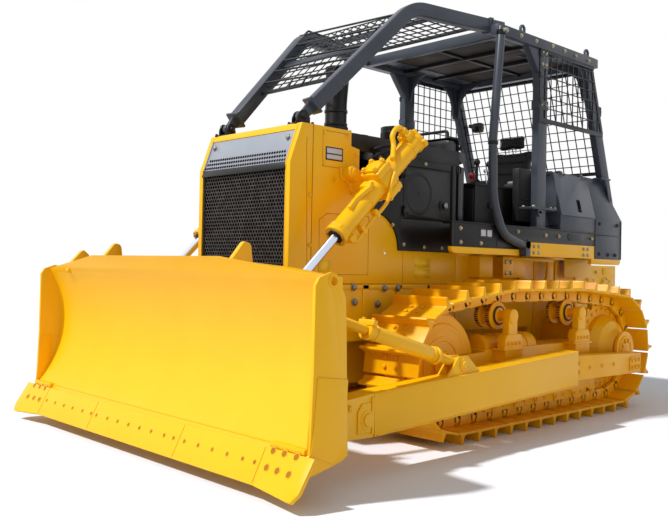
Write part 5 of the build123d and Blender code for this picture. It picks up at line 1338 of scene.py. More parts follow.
@dataclass
class LiftCylinderDress:
    """Ports, pipes, caps and collars of the two lift cylinders.

    Attributes:
        pivot: the left cylinder's pivot.
        eye: the left rod's eye.
        radius: the barrel's radius.
        head: from the pivot to the closed end.
        gland: from the pivot to the open end.
    """

    pivot: Point = (0.855, -1.386, 2.03)
    eye: Point = (0.855, -2.485, 1.006)
    radius: float = 0.08
    head: float = 0.53
    gland: float = 0.66

    def _frame(self) -> Matrix:
        """Give the matrix from local X along the rod, Y to the left and Z up and forward."""
        along = (Vector(self.eye) - Vector(self.pivot)).normalized()
        across = Vector((1, 0, 0))
        up = along.cross(across)
        up = up if up.z > 0 else -up
        return Matrix.Translation(self.pivot) @ Matrix((along, across, up)).transposed().to_4x4()

    def build(self) -> None:
        """Dress both cylinders, their brackets and hoses."""
        frame = self._frame()
        for side in Side:
            word = side.name.lower()
            shape = self._barrel(frame)
            if side is Side.RIGHT:
                shape.mirrored(keep=False)
            shape.finish(f"lift_barrel_{word}_fittings", YELLOW, f"lift_barrel_{word}")
            wiper = Shape()
            start = frame @ Vector((self.gland + 0.001, 0, 0))
            wiper.turned(((0, 0.06), (0.006, 0.058), (0.01, 0.048), (0.012, 0.0345), (0, 0.0345)), start,
                         frame.to_3x3() @ Vector((1, 0, 0)), 32)
            bolts = Shape()
            for angle in range(6):
                turn = math.radians(60 * angle + 30)
                spot = frame @ Vector((self.gland, 0.073 * math.cos(turn), 0.073 * math.sin(turn)))
                bolts.bolt(spot, frame.to_3x3() @ Vector((1, 0, 0)), 0.016, False)
            for made, name, finish in ((wiper, "wiper", HOSE), (bolts, "gland_bolts", ZINC)):
                if side is Side.RIGHT:
                    made.mirrored(keep=False)
                made.finish(f"lift_{word}_{name}", finish, f"lift_barrel_{word}")
            eye = Shape()
            eye.turned(((0, 0.05), (0.024, 0.062), (0.052, 0.062), (0.06, 0.05)),
                       Vector(self.eye) - Vector((0.03, 0, 0)), (1, 0, 0), 40)
            eye.turned(((0, 0.034), (0.01, 0.05), (0.05, 0.054), (0.07, 0.04)),
                       frame @ Vector((1.5021 - 0.125, 0, 0)), frame.to_3x3() @ Vector((1, 0, 0)), 32)
            if side is Side.RIGHT:
                eye.mirrored(keep=False)
            eye.finish(f"lift_rod_{word}_eye", YELLOW, f"lift_rod_{word}")
        self._bracket()

    def _barrel(self, frame: Matrix) -> Shape:
        """Make the left barrel's collars, blocks, ribs and pipes.

        Args:
            frame: the matrix of the cylinder's own frame.

        Returns:
            The shape, in the machine's frame.
        """
        shape, r = Shape(), self.radius
        along = frame.to_3x3() @ Vector((1, 0, 0))

        def band(start: float, profile: Sequence[Flat], sides: int = 40) -> None:
            """Add a ring round the barrel that leaves its bore free.

            Args:
                start: where it starts along the barrel.
                profile: (distance from there, radius) pairs of its outer side.
                sides: how many flat faces go round.
            """
            bore = r - 0.006
            ring = [(profile[0][0], bore), *profile, (profile[-1][0], bore), (profile[0][0], bore)]
            shape.turned(ring, frame @ Vector((start, 0, 0)), along, sides)

        band(-self.head - 0.004, ((0, 0.05), (0.004, r + 0.004), (0.014, r + 0.013), (0.046, r + 0.013),
                                  (0.052, r + 0.004), (0.058, r)))
        band(-0.395, ((0, r), (0.004, r + 0.007), (0.016, r + 0.007), (0.02, r)))
        band(-0.085, ((0, r + 0.004), (0.006, r + 0.02), (0.016, r + 0.026), (0.03, r + 0.03)))
        band(0.055, ((0, r + 0.03), (0.014, r + 0.026), (0.024, r + 0.02), (0.03, r + 0.004)))
        band(0.25, ((0, r), (0.003, r + 0.006), (0.013, r + 0.006), (0.016, r)))
        band(self.gland - 0.088, ((0, r), (0.006, r + 0.006), (0.02, r + 0.01), (0.03, r + 0.01)))
        band(self.gland - 0.066, ((0, r + 0.01), (0.004, r + 0.014), (0.03, r + 0.014), (0.034, r + 0.01)),
             8)
        band(self.gland - 0.03, ((0, r + 0.009), (0.004, r + 0.012), (0.026, r + 0.012),
                                 (0.031, r + 0.004)))
        shape.block((-0.088, -0.098, 0.062), (0.088, 0.098, 0.128), 0.02, frame)
        shape.block((-0.07, -0.075, 0.12), (0.07, 0.075, 0.15), 0.012, frame)
        shape.block((-0.088, -0.098, -0.128), (0.088, 0.098, -0.062), 0.02, frame)
        for x in (-0.055, 0.055):
            for y in (-0.055, 0.055):
                shape.bolt(frame @ Vector((x, y, 0.15)), frame.to_3x3() @ Vector((0, 0, 1)), 0.03)
                shape.bolt(frame @ Vector((x, y, -0.128)), frame.to_3x3() @ Vector((0, 0, -1)), 0.03)
        shape.prism(((0.14, 0.03), (0.14, 0.062), (0.2, 0.085), (0.33, 0.04), (0.44, 0.052), (0.44, 0.024),
                     (0.3, 0.012)), Axis.Z, r - 0.012, r + 0.02, 0.004, frame)
        shape.block((0.135, -0.03, r - 0.01), (0.2, 0.07, r + 0.026), 0.008, frame)
        shape.block((-self.head - 0.002, -0.086, -0.086), (-self.head + 0.03, 0.086, 0.086), 0.008,
                    frame @ Matrix.Rotation(math.radians(20), 4, "X"))
        for y in (-0.066, 0.066):
            for z in (-0.066, 0.066):
                spot = frame @ Matrix.Rotation(math.radians(20), 4,
                                               "X") @ Vector((-self.head - 0.002, y, z))
                shape.bolt(spot, frame.to_3x3() @ Vector((-1, 0, 0)), 0.026, False)
        shape.block((-0.505, -0.052, r - 0.014), (-0.405, 0.052, r + 0.034), 0.01, frame)
        shape.block((-0.48, -0.036, r + 0.02), (-0.42, 0.036, r + 0.058), 0.008, frame)
        for x in (-0.49, -0.42):
            for y in (-0.038, 0.038):
                shape.bolt(frame @ Vector((x, y, r + 0.033)), frame.to_3x3() @ Vector((0, 0, 1)), 0.018)
        loop = [(-0.45, 0, r + 0.05), (-0.448, 0.0, r + 0.095), (-0.4, 0.0, r + 0.125),
                (-0.33, 0.0, r + 0.108), (-0.285, 0.012, r + 0.06), (-0.24, 0.03, r + 0.04),
                (-0.12, 0.095, r + 0.028)]
        shape.tube([tuple(frame @ Vector(p)) for p in loop], 0.021)
        shape.turned(((0, 0.03), (0.004, 0.034), (0.024, 0.034), (0.028, 0.03)),
                     frame @ Vector((-0.452, 0, r + 0.055)), frame.to_3x3() @ Vector((0, 0, 1)), 8)
        side_pipe = [(0.6, 0.06, -r + 0.012), (0.585, 0.078, -r - 0.03), (0.54, 0.08, -r - 0.04),
                     (0.34, 0.078, -r - 0.03), (0.2, 0.08, -r - 0.034), (0.13, 0.11, -r - 0.002),
                     (0.05, 0.118, -0.02), (-0.06, 0.116, 0.03)]
        shape.tube([tuple(frame @ Vector(p)) for p in side_pipe], 0.015)
        shape.block((0.565, 0.03, -r - 0.02), (0.625, 0.092, -r + 0.03), 0.008, frame)
        for x in (0.28, 0.47):
            shape.block((x - 0.016, 0.04, -r - 0.052), (x + 0.016, 0.1, -r + 0.016), 0.006, frame)
            shape.bolt(frame @ Vector((x, 0.086, -r - 0.052)), frame.to_3x3() @ Vector((0, 0, -1)), 0.016,
                       False)
        shape.turned(((0, 0.016), (0.03, 0.016), (0.034, 0.012), (0.04, 0.012)),
                     frame @ Vector((-self.head + 0.03, r + 0.004, 0)), frame.to_3x3() @ Vector((0, 1, 0)),
                     8)
        return shape

    def _bracket(self) -> None:
        """Add the cast arms that carry the trunnions, and the hoses to them."""
        _, y, z = self.pivot
        shape = Shape()
        shape.turned(((0, 0.1), (0.014, 0.096), (0.022, 0.088), (0.098, 0.084), (0.106, 0.074)),
                     (0.583, y, z), (1, 0, 0), 44)
        shape.prism(((y - 0.19, z + 0.02), (y - 0.2, z + 0.1), (y - 0.16, z + 0.125), (y - 0.02, z + 0.1),
                     (y + 0.1, z + 0.1), (y + 0.1, z - 0.1), (y - 0.06, z - 0.1), (y - 0.1, z - 0.02)),
                    Axis.X, 0.583, 0.6, 0.005)
        shape.prism(((y - 0.18, z + 0.035), (y - 0.18, z + 0.105), (y - 0.13, z + 0.115),
                     (y - 0.05, z + 0.085), (y - 0.05, z - 0.02)), Axis.X, 0.597, 0.69, 0.012)
        shape.turned(((0, 0.036), (0.01, 0.034), (0.014, 0.022), (0.02, 0.0)),
                     (0.688, y - 0.125, z + 0.065), (1, 0, 0), 28)
        for spot in ((y - 0.165, z + 0.095), (y + 0.075, z + 0.08), (y + 0.075, z - 0.075),
                     (y - 0.05, z - 0.075)):
            shape.bolt((0.6, *spot), (1, 0, 0), 0.026)
        shape.mirrored().finish("trunnion_brackets", YELLOW, "hull")
        hose = Shape()
        hose.tube([(0.596, -0.91, 2.12), (0.64, -0.925, 2.118), (0.676, -0.945, 2.15), (0.694, -1.0, 2.25),
                   (0.675, -1.085, 2.3), (0.64, -1.16, 2.29), (0.588, -1.215, 2.255)], 0.015)
        hose.tube([(0.596, -0.9, 2.175), (0.645, -0.915, 2.176), (0.69, -0.94, 2.215),
                   (0.712, -1.01, 2.316), (0.68, -1.09, 2.352), (0.63, -1.15, 2.344),
                   (0.588, -1.205, 2.32)], 0.015)
        hose.mirrored().finish("lift_hoses", HOSE, "hull")


# Engine cover


@dataclass
class GrilleDress:
    """The perforated grille and the punched grey panel over it.

    Attributes:
        model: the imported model.
        half: half the screen's width.
        bottom: the screen's lower edge.
        top: the screen's upper edge.
        face: the screen's front face along Y.
        pitch: the distance between the holes.
        web: the width of metal left between two holes.
        thick: the sheet's thickness.
    """

    model: Model
    half: float = 0.533
    bottom: float = 0.85
    top: float = 2.133
    face: float = -2.071
    pitch: float = 0.033
    web: float = 0.0078
    thick: float = 0.003

    def build(self) -> None:
        """Make the screen, its frame and the panel's holes."""
        self._screen()
        self._border()
        self._panel()

    def _screen(self) -> None:
        """Punch hexagons into a sheet, row by row."""
        rise = self.pitch * math.sqrt(3) / 2
        outer, inner = self.pitch / math.sqrt(3), (self.pitch - self.web) / math.sqrt(3)
        turn = [(math.sin(math.pi / 3 * k), math.cos(math.pi / 3 * k)) for k in range(6)]
        corners: list[Point] = []
        faces: list[tuple[int, ...]] = []
        rows = int((self.top - self.bottom) / rise)
        for row in range(rows + 1):
            z = self.bottom + rise * row
            shift = 0.5 * (row % 2)
            count = int(self.half / self.pitch)
            for column in range(-count - 1, count + 1):
                x = (column + shift) * self.pitch
                if abs(x) > self.half - 0.004:
                    continue
                start = len(corners)
                corners += [(x + outer * a, self.face, z + outer * b) for a, b in turn]
                corners += [(x + inner * a, self.face - 0.0004, z + inner * b) for a, b in turn]
                corners += [(x + inner * a, self.face + self.thick, z + inner * b) for a, b in turn]
                for k in range(6):
                    n = (k + 1) % 6
                    faces.append((start + k, start + n, start + 6 + n, start + 6 + k))
                    faces.append((start + 6 + k, start + 6 + n, start + 12 + n, start + 12 + k))
        mesh = bpy.data.meshes.new("grille_mesh")
        mesh.from_pydata(corners, [], faces)
        shape = Shape()
        shape.solids.from_mesh(mesh)
        bpy.data.meshes.remove(mesh)
        bmesh.ops.remove_doubles(shape.solids, verts=shape.solids.verts, dist=1e-5)
        shape.finish("grille_perforated_sheet", GRILLE, "hull", "grille_screen")

    def _border(self) -> None:
        """Add the strips that hold the screen, and behind it the posts and a near-black sheet, a painted
        shade for the dark inside the cover.
        """
        shape = Shape()
        y = self.face
        for side in (-1, 1):
            shape.block((side * self.half, y - 0.006, self.bottom),
                        (side * (self.half - 0.022), y + 0.006, self.top), 0.002)
        shape.block((-self.half, y - 0.006, self.top - 0.02), (self.half, y + 0.006, self.top + 0.004),
                    0.002)
        shape.block((-self.half, y - 0.006, self.bottom - 0.002),
                    (self.half, y + 0.006, self.bottom + 0.022), 0.002)
        shape.finish("grille_frame_strips", BLACK, "hull")
        # Posts and a near-black sheet behind the screen: painted shade for the dark inside the cover.
        shade_backing = Shape()
        for side in (-1, 1):
            shade_backing.block((side * self.half, y + 0.008, self.bottom),
                       (side * (self.half - 0.012), y + 0.09, self.top), 0.002)
        for k in range(9):
            x = -self.half + 0.012 + k * (2 * self.half - 0.024) / 9
            shade_backing.block((x, y + 0.05, self.bottom), (x + (2 * self.half - 0.024) / 9, y + 0.062, self.top),
                       0.002)
        shade_backing.finish("grille_backing", CORE_AND_SHADE, "hull")

    def _panel(self) -> None:
        """Add rows of near-black discs on the slanting panel, painted as the shade in its punched holes,
        and add its folds and bolts.
        """
        skin = self.model.skin("grille_panel")
        # Near-black discs, painted as the shade seen through the panel's holes.
        holes = Shape()
        for row, z in enumerate((2.152, 2.185, 2.218)):
            for k in range(35 - row):
                x = -0.512 + 0.015 * row + 0.03 * k
                place, normal, _, _ = skin.ray_cast(Vector((x, -2.6, z)), Vector((0, 1, 0)))
                if place is not None:
                    holes.turned(((0, 0.011), (0.003, 0.011), (0.0032, 0.0)), place, normal, 14)
        holes.finish("panel_holes", CORE_AND_SHADE, "hull")
        low, _, _, _ = skin.ray_cast(Vector((0, -2.6, 2.137)), Vector((0, 1, 0)))
        high, normal, _, _ = skin.ray_cast(Vector((0, -2.6, 2.38)), Vector((0, 1, 0)))
        face = (high - low).normalized()
        frame = Matrix.Translation(low) @ Matrix((Vector((1, 0, 0)), face, normal)).transposed().to_4x4()
        length = (high - low).length
        trim = Shape()
        trim.block((-self.half, -0.06, -0.004), (self.half, -0.004, 0.004), 0.003, frame)
        trim.finish("panel_lower_fold", BLACK, "hull")
        pale = Shape()
        for side in (-1, 1):
            pale.block((side * self.half, 0.0, -0.002), (side * (self.half - 0.012), length, 0.008), 0.002,
                       frame)
        pale.finish("panel_folds", GREY, "hull")
        bolts = Shape()
        for x in (-0.47, 0.47):
            bolts.bolt(frame @ Vector((x, length - 0.055, 0)), normal, 0.034)
        bolts.finish("panel_bolts", STEEL, "hull")


@dataclass
class HoodDress:
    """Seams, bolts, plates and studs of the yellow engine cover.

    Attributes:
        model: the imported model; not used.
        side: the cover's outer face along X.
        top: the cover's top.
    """

    model: Model
    side: float = 0.583
    top: float = 2.437

    def build(self) -> None:
        """Dress the cover's sides, top and front frame."""
        self._seams()
        self._plates()
        self._bolts()
        self._frame()

    def _seam(self, shape: Shape, points: Sequence[Flat], width: float = 0.004) -> None:
        """Draw a narrow darker strip along the cover's side, painted as the shade in a gap.

        Args:
            shape: what it is added to.
            points: its corners as (y, z).
            width: its width.
        """
        for (y0, z0), (y1, z1) in zip(points, points[1:]):
            run = Vector((0, y1 - y0, z1 - z0))
            frame = Matrix((Vector((1, 0, 0)), run.normalized(), Vector((1, 0, 0)).cross(run.normalized())))
            shape.block((-0.002, -width / 2, -width / 2), (0.0009, run.length + width / 2, width / 2), 0.0,
                        Matrix.Translation((self.side, y0, z0)) @ frame.transposed().to_4x4())

    def _seams(self) -> None:
        """Add darker strips, painted as the shade in the gaps between the cover's sheets."""
        shape = Shape()
        self._seam(shape, ((-1.924, 2.33), (-1.924, 2.232), (-1.895, 1.182)))
        self._seam(shape, ((-1.8615, 2.437), (-1.8615, 1.23)), 0.005)
        self._seam(shape, ((-1.76, 2.405), (-1.48, 2.405)))
        self._seam(shape, ((-1.76, 2.405), (-1.76, 2.13), (-1.48, 2.13)))
        self._seam(shape, ((-1.78, 1.72), (-1.7, 1.77), (-1.24, 1.77), (-1.24, 1.3), (-1.78, 1.3),
                           (-1.78, 1.72)))
        self._seam(shape, ((-0.82, 1.5), (-0.82, 1.235)))
        self._seam(shape, ((-1.85, 1.228), (-0.11, 1.228)), 0.006)
        shape.mirrored().finish("cover_seams", SEAM_SHADE, "hull")

    def _plates(self) -> None:
        """Add blank plates and labels."""
        face = self.side
        dark, pale, yellow = Shape(), Shape(), Shape()
        dark.block((face - 0.002, -1.73, 2.181), (face + 0.002, -1.545, 2.285), 0.001)
        pale.block((face, -1.718, 2.236), (face + 0.0026, -1.557, 2.275), 0.0005)
        pale.block((face, -1.718, 2.192), (face + 0.0026, -1.557, 2.226), 0.0005)
        for y0, y1, z0, z1 in ((-0.666, -0.461, 1.37, 1.45), (-0.666, -0.461, 1.28, 1.36),
                               (-1.768, -1.661, 1.319, 1.41)):
            yellow.block((face, y0, z0), (face + 0.0012, y1, z1), 0.0004)
        dark.mirrored().finish("name_plate_backs", PLATE, "hull")
        pale.mirrored().finish("name_plates_blank", LABEL, "hull")
        yellow.mirrored().finish("labels_blank", DECAL, "hull")

    def _bolts(self) -> None:
        """Add the cover's screws, bolts and lock."""
        face = self.side
        grey = Shape()
        for y, z in ((-1.407, 1.203), (-1.047, 1.194), (-0.888, 1.194), (-1.393, 1.084), (-1.127, 1.064)):
            grey.bolt((face + 0.009, y, z), (1, 0, 0), 0.04)
        grey.mirrored().finish("cover_bolts", STEEL, "hull")
        same = Shape()
        for y, z in ((-1.405, 2.25), (-1.405, 2.16), (-1.744, 2.15), (-1.496, 2.15), (-1.744, 2.388),
                     (-1.496, 2.388), (-1.885, 1.9), (-1.88, 1.52)):
            same.bolt((face, y, z), (1, 0, 0), 0.024)
        same.turned(((0, 0.04), (0.003, 0.039), (0.004, 0.026), (0.001, 0.02), (0.001, 0.012), (0.01, 0.01),
                     (0.012, 0.0)), (face, -1.628, 2.041), (1, 0, 0), 32)
        same.mirrored().finish("cover_screws", YELLOW, "hull")
        lock = Shape()
        lock.turned(((0, 0.012), (0.006, 0.011), (0.0065, 0.0)), (face, -1.05, 1.48), (1, 0, 0), 20)
        lock.turned(((0, 0.02), (0.003, 0.019), (0.0035, 0.0)), (face, -1.628, 1.7), (1, 0, 0), 24)
        lock.mirrored().finish("cover_locks", CHROME, "hull")

    def _frame(self) -> None:
        """Add the radiator guard's folded edge, its top cap and the front corner bolts."""
        shape = Shape()
        for side in (-1, 1):
            for (y0, z0), (y1, z1) in (((-2.084, 0.8), (-2.084, 2.133)), ((-2.084, 2.133), (-1.98, 2.425))):
                start = Vector((side * 0.536, y0, z0))
                run = Vector((0, y1 - y0, z1 - z0))
                out = Vector((1, 0, 0)).cross(run.normalized())
                out = out if out.y < 0 else -out
                frame = Matrix((Vector((1, 0, 0)), run.normalized(), out)).transposed().to_4x4()
                shape.block((-0.006, 0, -0.012), (0.004, run.length, 0.003), 0.002,
                            Matrix.Translation(start) @ frame)
        for x in (-0.4, 0.4):
            for y in (-1.8, -1.53):
                shape.bolt((x, y, self.top), (0, 0, 1), 0.028)
        shape.tube([(-0.583, -1.463, 2.438), (0.583, -1.463, 2.438)], 0.004, 0.01)
        shape.finish("guard_folds", YELLOW, "hull")


@dataclass
class HousingDress:
    """The black side housings with their doors, and what stands on the rear cover.

    Attributes:
        face: the housing's outer face along X.
    """

    face: float = 0.597

    def build(self) -> None:
        """Dress the doors, the housings, the exhaust and the precleaner."""
        self._doors()
        self._housing()
        self._stack()

    def _doors(self) -> None:
        """Add the pressed ring, the folded rim and the latch of each door."""
        face = self.face
        for side in Side:
            word = side.name.lower()
            shape = Shape()
            shape.turned(((-0.001, 0.186), (0.0022, 0.178), (0.0022, 0.15), (-0.001, 0.142)),
                         (face, -0.64, 2.004), (1, 0, 0), 56)
            shape.turned(((-0.001, 0.012), (0.002, 0.01), (0.002, 0.0)), (face, -0.64, 2.004), (1, 0, 0),
                         20)
            shape.block((face - 0.003, -0.836, 2.216), (face + 0.003, -0.214, 2.224), 0.002)
            shape.block((face - 0.003, -0.361, 1.878), (face + 0.005, -0.246, 1.958), 0.003)
            if side is Side.RIGHT:
                shape.mirrored(keep=False)
            shape.finish(f"door_{word}_pressings", BLACK, f"engine_door_{word}")
            latch = Shape()
            latch.turned(((0, 0.014), (0.01, 0.014), (0.012, 0.026), (0.022, 0.026), (0.026, 0.02),
                          (0.027, 0.0)), (face + 0.004, -0.3, 1.918), (1, 0, 0), 28)
            if side is Side.RIGHT:
                latch.mirrored(keep=False)
            latch.finish(f"door_{word}_latch", STEEL, f"engine_door_{word}")

    def _housing(self) -> None:
        """Add the housing's bolts, lifting ring, vertical strip and rim."""
        face = self.face
        shape = Shape()
        shape.block((face - 0.005, -0.2, 1.52), (face + 0.01, -0.146, 2.284), 0.004)
        corner = [(face - 0.021, -0.89 - 0.294 * math.cos(math.radians(9 * k)),
                   1.812 - 0.294 * math.sin(math.radians(9 * k))) for k in range(11)]
        shape.tube([(face - 0.021, -0.15, 2.284), (face - 0.021, -1.184, 2.284), *corner,
                    (face - 0.021, -0.16, 1.518)], 0.004, 0.01)
        shape.mirrored().finish("housing_pressings", BLACK, "hull")
        bolts = Shape()
        for y, z in ((-0.967, 1.717), (-0.824, 1.56), (-0.32, 1.545), (-1.14, 2.262), (-0.86, 2.262),
                     (-0.56, 2.262), (-0.56, 1.545)):
            bolts.bolt((face, y, z), (1, 0, 0), 0.022)
        bolts.mirrored().finish("housing_bolts", ZINC, "hull")
        rings = Shape()
        rings.tube([(0.606, -0.132, 2.22), (0.606, -0.138, 2.262), (0.606, -0.118, 2.286),
                    (0.606, -0.09, 2.278), (0.606, -0.08, 2.25), (0.606, -0.092, 2.224)], 0.007)
        rings.mirrored().finish("lifting_rings", BLACK, "hull")

    def _stack(self) -> None:
        """Add the exhaust's collar, clamps and mouth, the precleaner's dome and the top's ribs and bolts.
        """
        shape = Shape()
        y = -1.075
        shape.turned(((0, 0.16), (0.01, 0.156), (0.014, 0.12), (0.06, 0.114)), (0, y, 2.427), (0, 0, 1), 48)
        for z in (2.585, 2.7, 2.97):
            shape.turned(((0, 0.095), (0.003, 0.102), (0.024, 0.102), (0.027, 0.095)), (0, y, z), (0, 0, 1),
                         48)
        shape.turned(((0, 0.0955), (0.002, 0.1), (0.014, 0.1), (0.018, 0.097), (0.018, 0.088)),
                     (0, y, 3.08), (0, 0, 1), 48)
        shape.turned(((0.0, 0.128), (0.016, 0.128), (0.03, 0.12), (0.052, 0.094), (0.062, 0.05),
                      (0.065, 0.0)), (0, -0.32, 2.606), (0, 0, 1), 48)
        for k in range(12):
            turn = math.radians(30 * k)
            shape.block((0.118, -0.006, 2.552), (0.13, 0.006, 2.606), 0.002,
                        Matrix.Translation((0, -0.32, 0)) @ Matrix.Rotation(turn, 4, "Z"))
        shape.turned(((0, 0.075), (0.012, 0.072), (0.016, 0.062)), (0, -0.32, 2.427), (0, 0, 1), 40)
        shape.finish("stack_fittings", BLACK, "hull")
        top = Shape()
        for x in (-0.42, 0.42):
            for y in (-1.36, -0.95, -0.55, -0.15):
                top.bolt((x, y, 2.427), (0, 0, 1), 0.024)
        for y0, y1 in ((-1.3, -1.24), (-0.9, -0.84), (-0.6, -0.54)):
            top.block((-0.56, y0, 2.424), (0.56, y1, 2.432), 0.003)
        top.finish("rear_cover_ribs", BLACK, "hull")


# Operator's station


@dataclass
class FenderDress:
    """Skirts, boxes, lids and tank over the tracks.

    Attributes:
        model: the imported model.
        face: the outer face of the skirts and of the lids' lower edge, along X.
        thick: how far the lids' outer face stands out from the line between its edges.
        shoulder: the height at which the lids lean in.
        lid_top: the height of the lids' upper edge.
        lean: how far the lids lean in from the shoulder to their upper edge.
    """

    model: Model
    face: float = 0.93
    thick: float = 0.011
    shoulder: float = 1.91
    lid_top: float = 2.34
    lean: float = 0.108

    def build(self) -> None:
        """Dress the skirts, the boxes, their lids and the tank."""
        self._skirts()
        self._lids()
        self._inside()
        self._tank()

    def _skirts(self) -> None:
        """Add the skirts' bolts, folds, plates and the yellow beam's brackets."""
        face = self.face
        bolts = Shape()
        for y, z in ((-0.487, 1.707), (-0.483, 1.59), (0.149, 1.715), (-0.2, 1.59), (0.36, 1.715),
                     (0.82, 1.7), (1.05, 1.7), (1.68, 1.7)):
            bolts.bolt((face, y, z), (1, 0, 0), 0.024)
        bolts.mirrored().finish("skirt_bolts", ZINC, "hull")
        fold = Shape()
        fold.block((face - 0.012, -0.608, 1.752), (face + 0.006, 1.73, 1.766), 0.004)
        fold.block((face - 0.01, -0.607, 1.556), (face + 0.004, -0.59, 1.76), 0.003)
        fold.block((face - 0.01, -0.6, 1.552), (face + 0.004, 0.5, 1.564), 0.003)
        fold.block((face - 0.004, 0.03, 1.556), (face + 0.003, 0.046, 1.758), 0.002)
        fold.block((0.835, -0.6, 1.76), (0.925, -0.1, 1.766), 0.002)
        for k in range(9):
            y = -0.56 + 0.055 * k
            fold.block((0.848, y, 1.765), (0.912, y + 0.02, 1.768), 0.001)
        fold.mirrored().finish("skirt_folds", BLACK, "hull")
        plates = Shape()
        for y in (-0.205, -0.115):
            plates.block((face + 0.002, y, 1.652), (face + 0.004, y + 0.068, 1.708), 0.0008)
        plates.mirrored().finish("skirt_plates_blank", LABEL, "hull")
        backs = Shape()
        backs.block((face, -0.222, 1.641), (face + 0.002, -0.03, 1.72), 0.0008)
        backs.mirrored().finish("skirt_plate_backs", PLATE, "hull")
        oval = Shape()
        outline = [(1.37 + 0.1 * (1 if k < 9 or k > 26 else -1) + 0.055 * math.cos(math.radians(10 * k)),
                    1.7 + 0.042 * math.sin(math.radians(10 * k))) for k in range(36)]
        oval.prism(outline, Axis.X, face - 0.001, face + 0.003, 0.001)
        oval.mirrored().finish("oval_plates_blank", PLATE, "hull")
        beam = Shape()
        for y in (0.62, 1.52):
            for step in (0.0, 0.08):
                for z in (1.53, 1.59):
                    beam.bolt((face, y + step, z), (1, 0, 0), 0.026)
        for y, z in ((0.479, 1.438), (0.56, 1.44), (0.482, 1.335), (0.563, 1.336)):
            beam.bolt((0.718, y, z), (1, 0, 0), 0.03)
        beam.mirrored().finish("beam_bolts", ZINC, "hull")
        walls = Shape()
        walls.prism(((0.44, 1.29), (0.44, 1.49), (0.6, 1.49), (0.6, 1.29)), Axis.X, 0.709, 0.718, 0.004)
        walls.block((0.575, -0.1, 1.48), (0.59, 1.735, 1.744), 0.003)
        walls.block((0.575, 1.735, 1.3), (0.59, 2.29, 1.5), 0.003)
        walls.prism(((0.86, 1.18), (0.86, 1.49), (0.97, 1.49), (0.955, 1.4), (0.97, 1.3), (1.02, 1.22),
                     (1.1, 1.18)), Axis.X, 0.6, 0.63, 0.004)
        walls.prism(((1.45, 1.18), (1.45, 1.49), (1.34, 1.49), (1.355, 1.4), (1.34, 1.3), (1.29, 1.22),
                     (1.21, 1.18)), Axis.X, 0.6, 0.63, 0.004)
        walls.block((0.6, 0.86, 1.455), (0.64, 1.45, 1.492), 0.004)
        walls.mirrored().finish("case_arches", YELLOW, "hull")

    def _slant(self) -> float:
        """Give the angle between a lid's outer face and the upright."""
        return math.atan2(self.lean, round(self.lid_top - self.shoulder, 3))

    def _lean(self, y: float, z: float, out: float = 0.0) -> Vector:
        """Give a point on the left lid's outer face, or off it.

        Args:
            y: its place along the machine.
            z: its height.
            out: how far it stands out from the face.

        Returns:
            The point.
        """
        share = (z - self.shoulder) / (self.lid_top - self.shoulder)
        slant = self._slant()
        return Vector((self.face - self.lean * share + (self.thick + out) * math.cos(slant), y,
                       z + out * math.sin(slant)))

    def _lids(self) -> None:
        """Add the lids' folded rims, handles and latches; each latch is a bar over a near-black plate,
        painted as the shade in its slot.
        """
        slant = self._slant()
        turn = Matrix((Vector((0, 1, 0)), Vector((-math.sin(slant), 0, math.cos(slant))),
                       Vector((math.cos(slant), 0, math.sin(slant))))).transposed().to_4x4()
        for side in Side:
            word = side.name.lower()
            rim, latch = Shape(), Shape()
            rim.block((0, 0, 0), (0.628, 0.012, 0.004), 0.002,
                      Matrix.Translation(self._lean(1.092, 1.913, -0.002)) @ turn)
            for y in (1.2, 1.62):
                rim.tube([tuple(self._lean(y, 2.318, -0.006)), tuple(self._lean(y, 2.318, 0.03)),
                          tuple(self._lean(y + 0.07, 2.318, 0.03)),
                          tuple(self._lean(y + 0.07, 2.318, -0.006))], 0.006, 0.015)
            low = self._lean(1.416, 1.955, 0.0)
            # A near-black plate, painted as the shade in the latch's slot.
            latch.block((0, 0, 0), (0.06, 0.13, 0.003), 0.001, Matrix.Translation(low) @ turn)
            bar = Shape()
            bar.block((0.034, 0.02, 0.0), (0.046, 0.112, 0.014), 0.004, Matrix.Translation(low) @ turn)
            bar.block((0.012, 0.02, 0.0), (0.046, 0.034, 0.014), 0.004, Matrix.Translation(low) @ turn)
            for made, name, finish in ((rim, "rim", LID_GREY), (latch, "latch", CORE_AND_SHADE),
                                       (bar, "latch_bar", BLACK)):
                if side is Side.RIGHT:
                    made.mirrored(keep=False)
                made.finish(f"lid_{word}_{name}", finish, f"box_lid_{word}")

    def _inside(self) -> None:
        """Line the open boxes with dark walls' folds and top seams."""
        shape = Shape()
        shape.block((0.59, 1.08, 2.338), (0.818, 1.092, 2.344), 0.002)
        shape.block((0.59, 1.718, 2.338), (0.818, 1.73, 2.344), 0.002)
        shape.block((0.586, 1.08, 2.338), (0.598, 1.73, 2.344), 0.002)
        shape.block((0.6, 1.0755, 1.8), (0.9, 1.08, 1.812), 0.002)
        shape.block((0.6, 1.0755, 2.3), (0.8, 1.08, 2.312), 0.002)
        shape.mirrored().finish("box_folds", BLACK, "hull")
        gap = Shape()
        gap.prism(((1.729, 1.77), (1.729, 2.338), (1.74, 2.338), (1.74, 1.77)), Axis.X, 0.8, 0.815, 0.0)
        gap.mirrored().finish("box_gap_shadow", CORE_AND_SHADE, "hull")

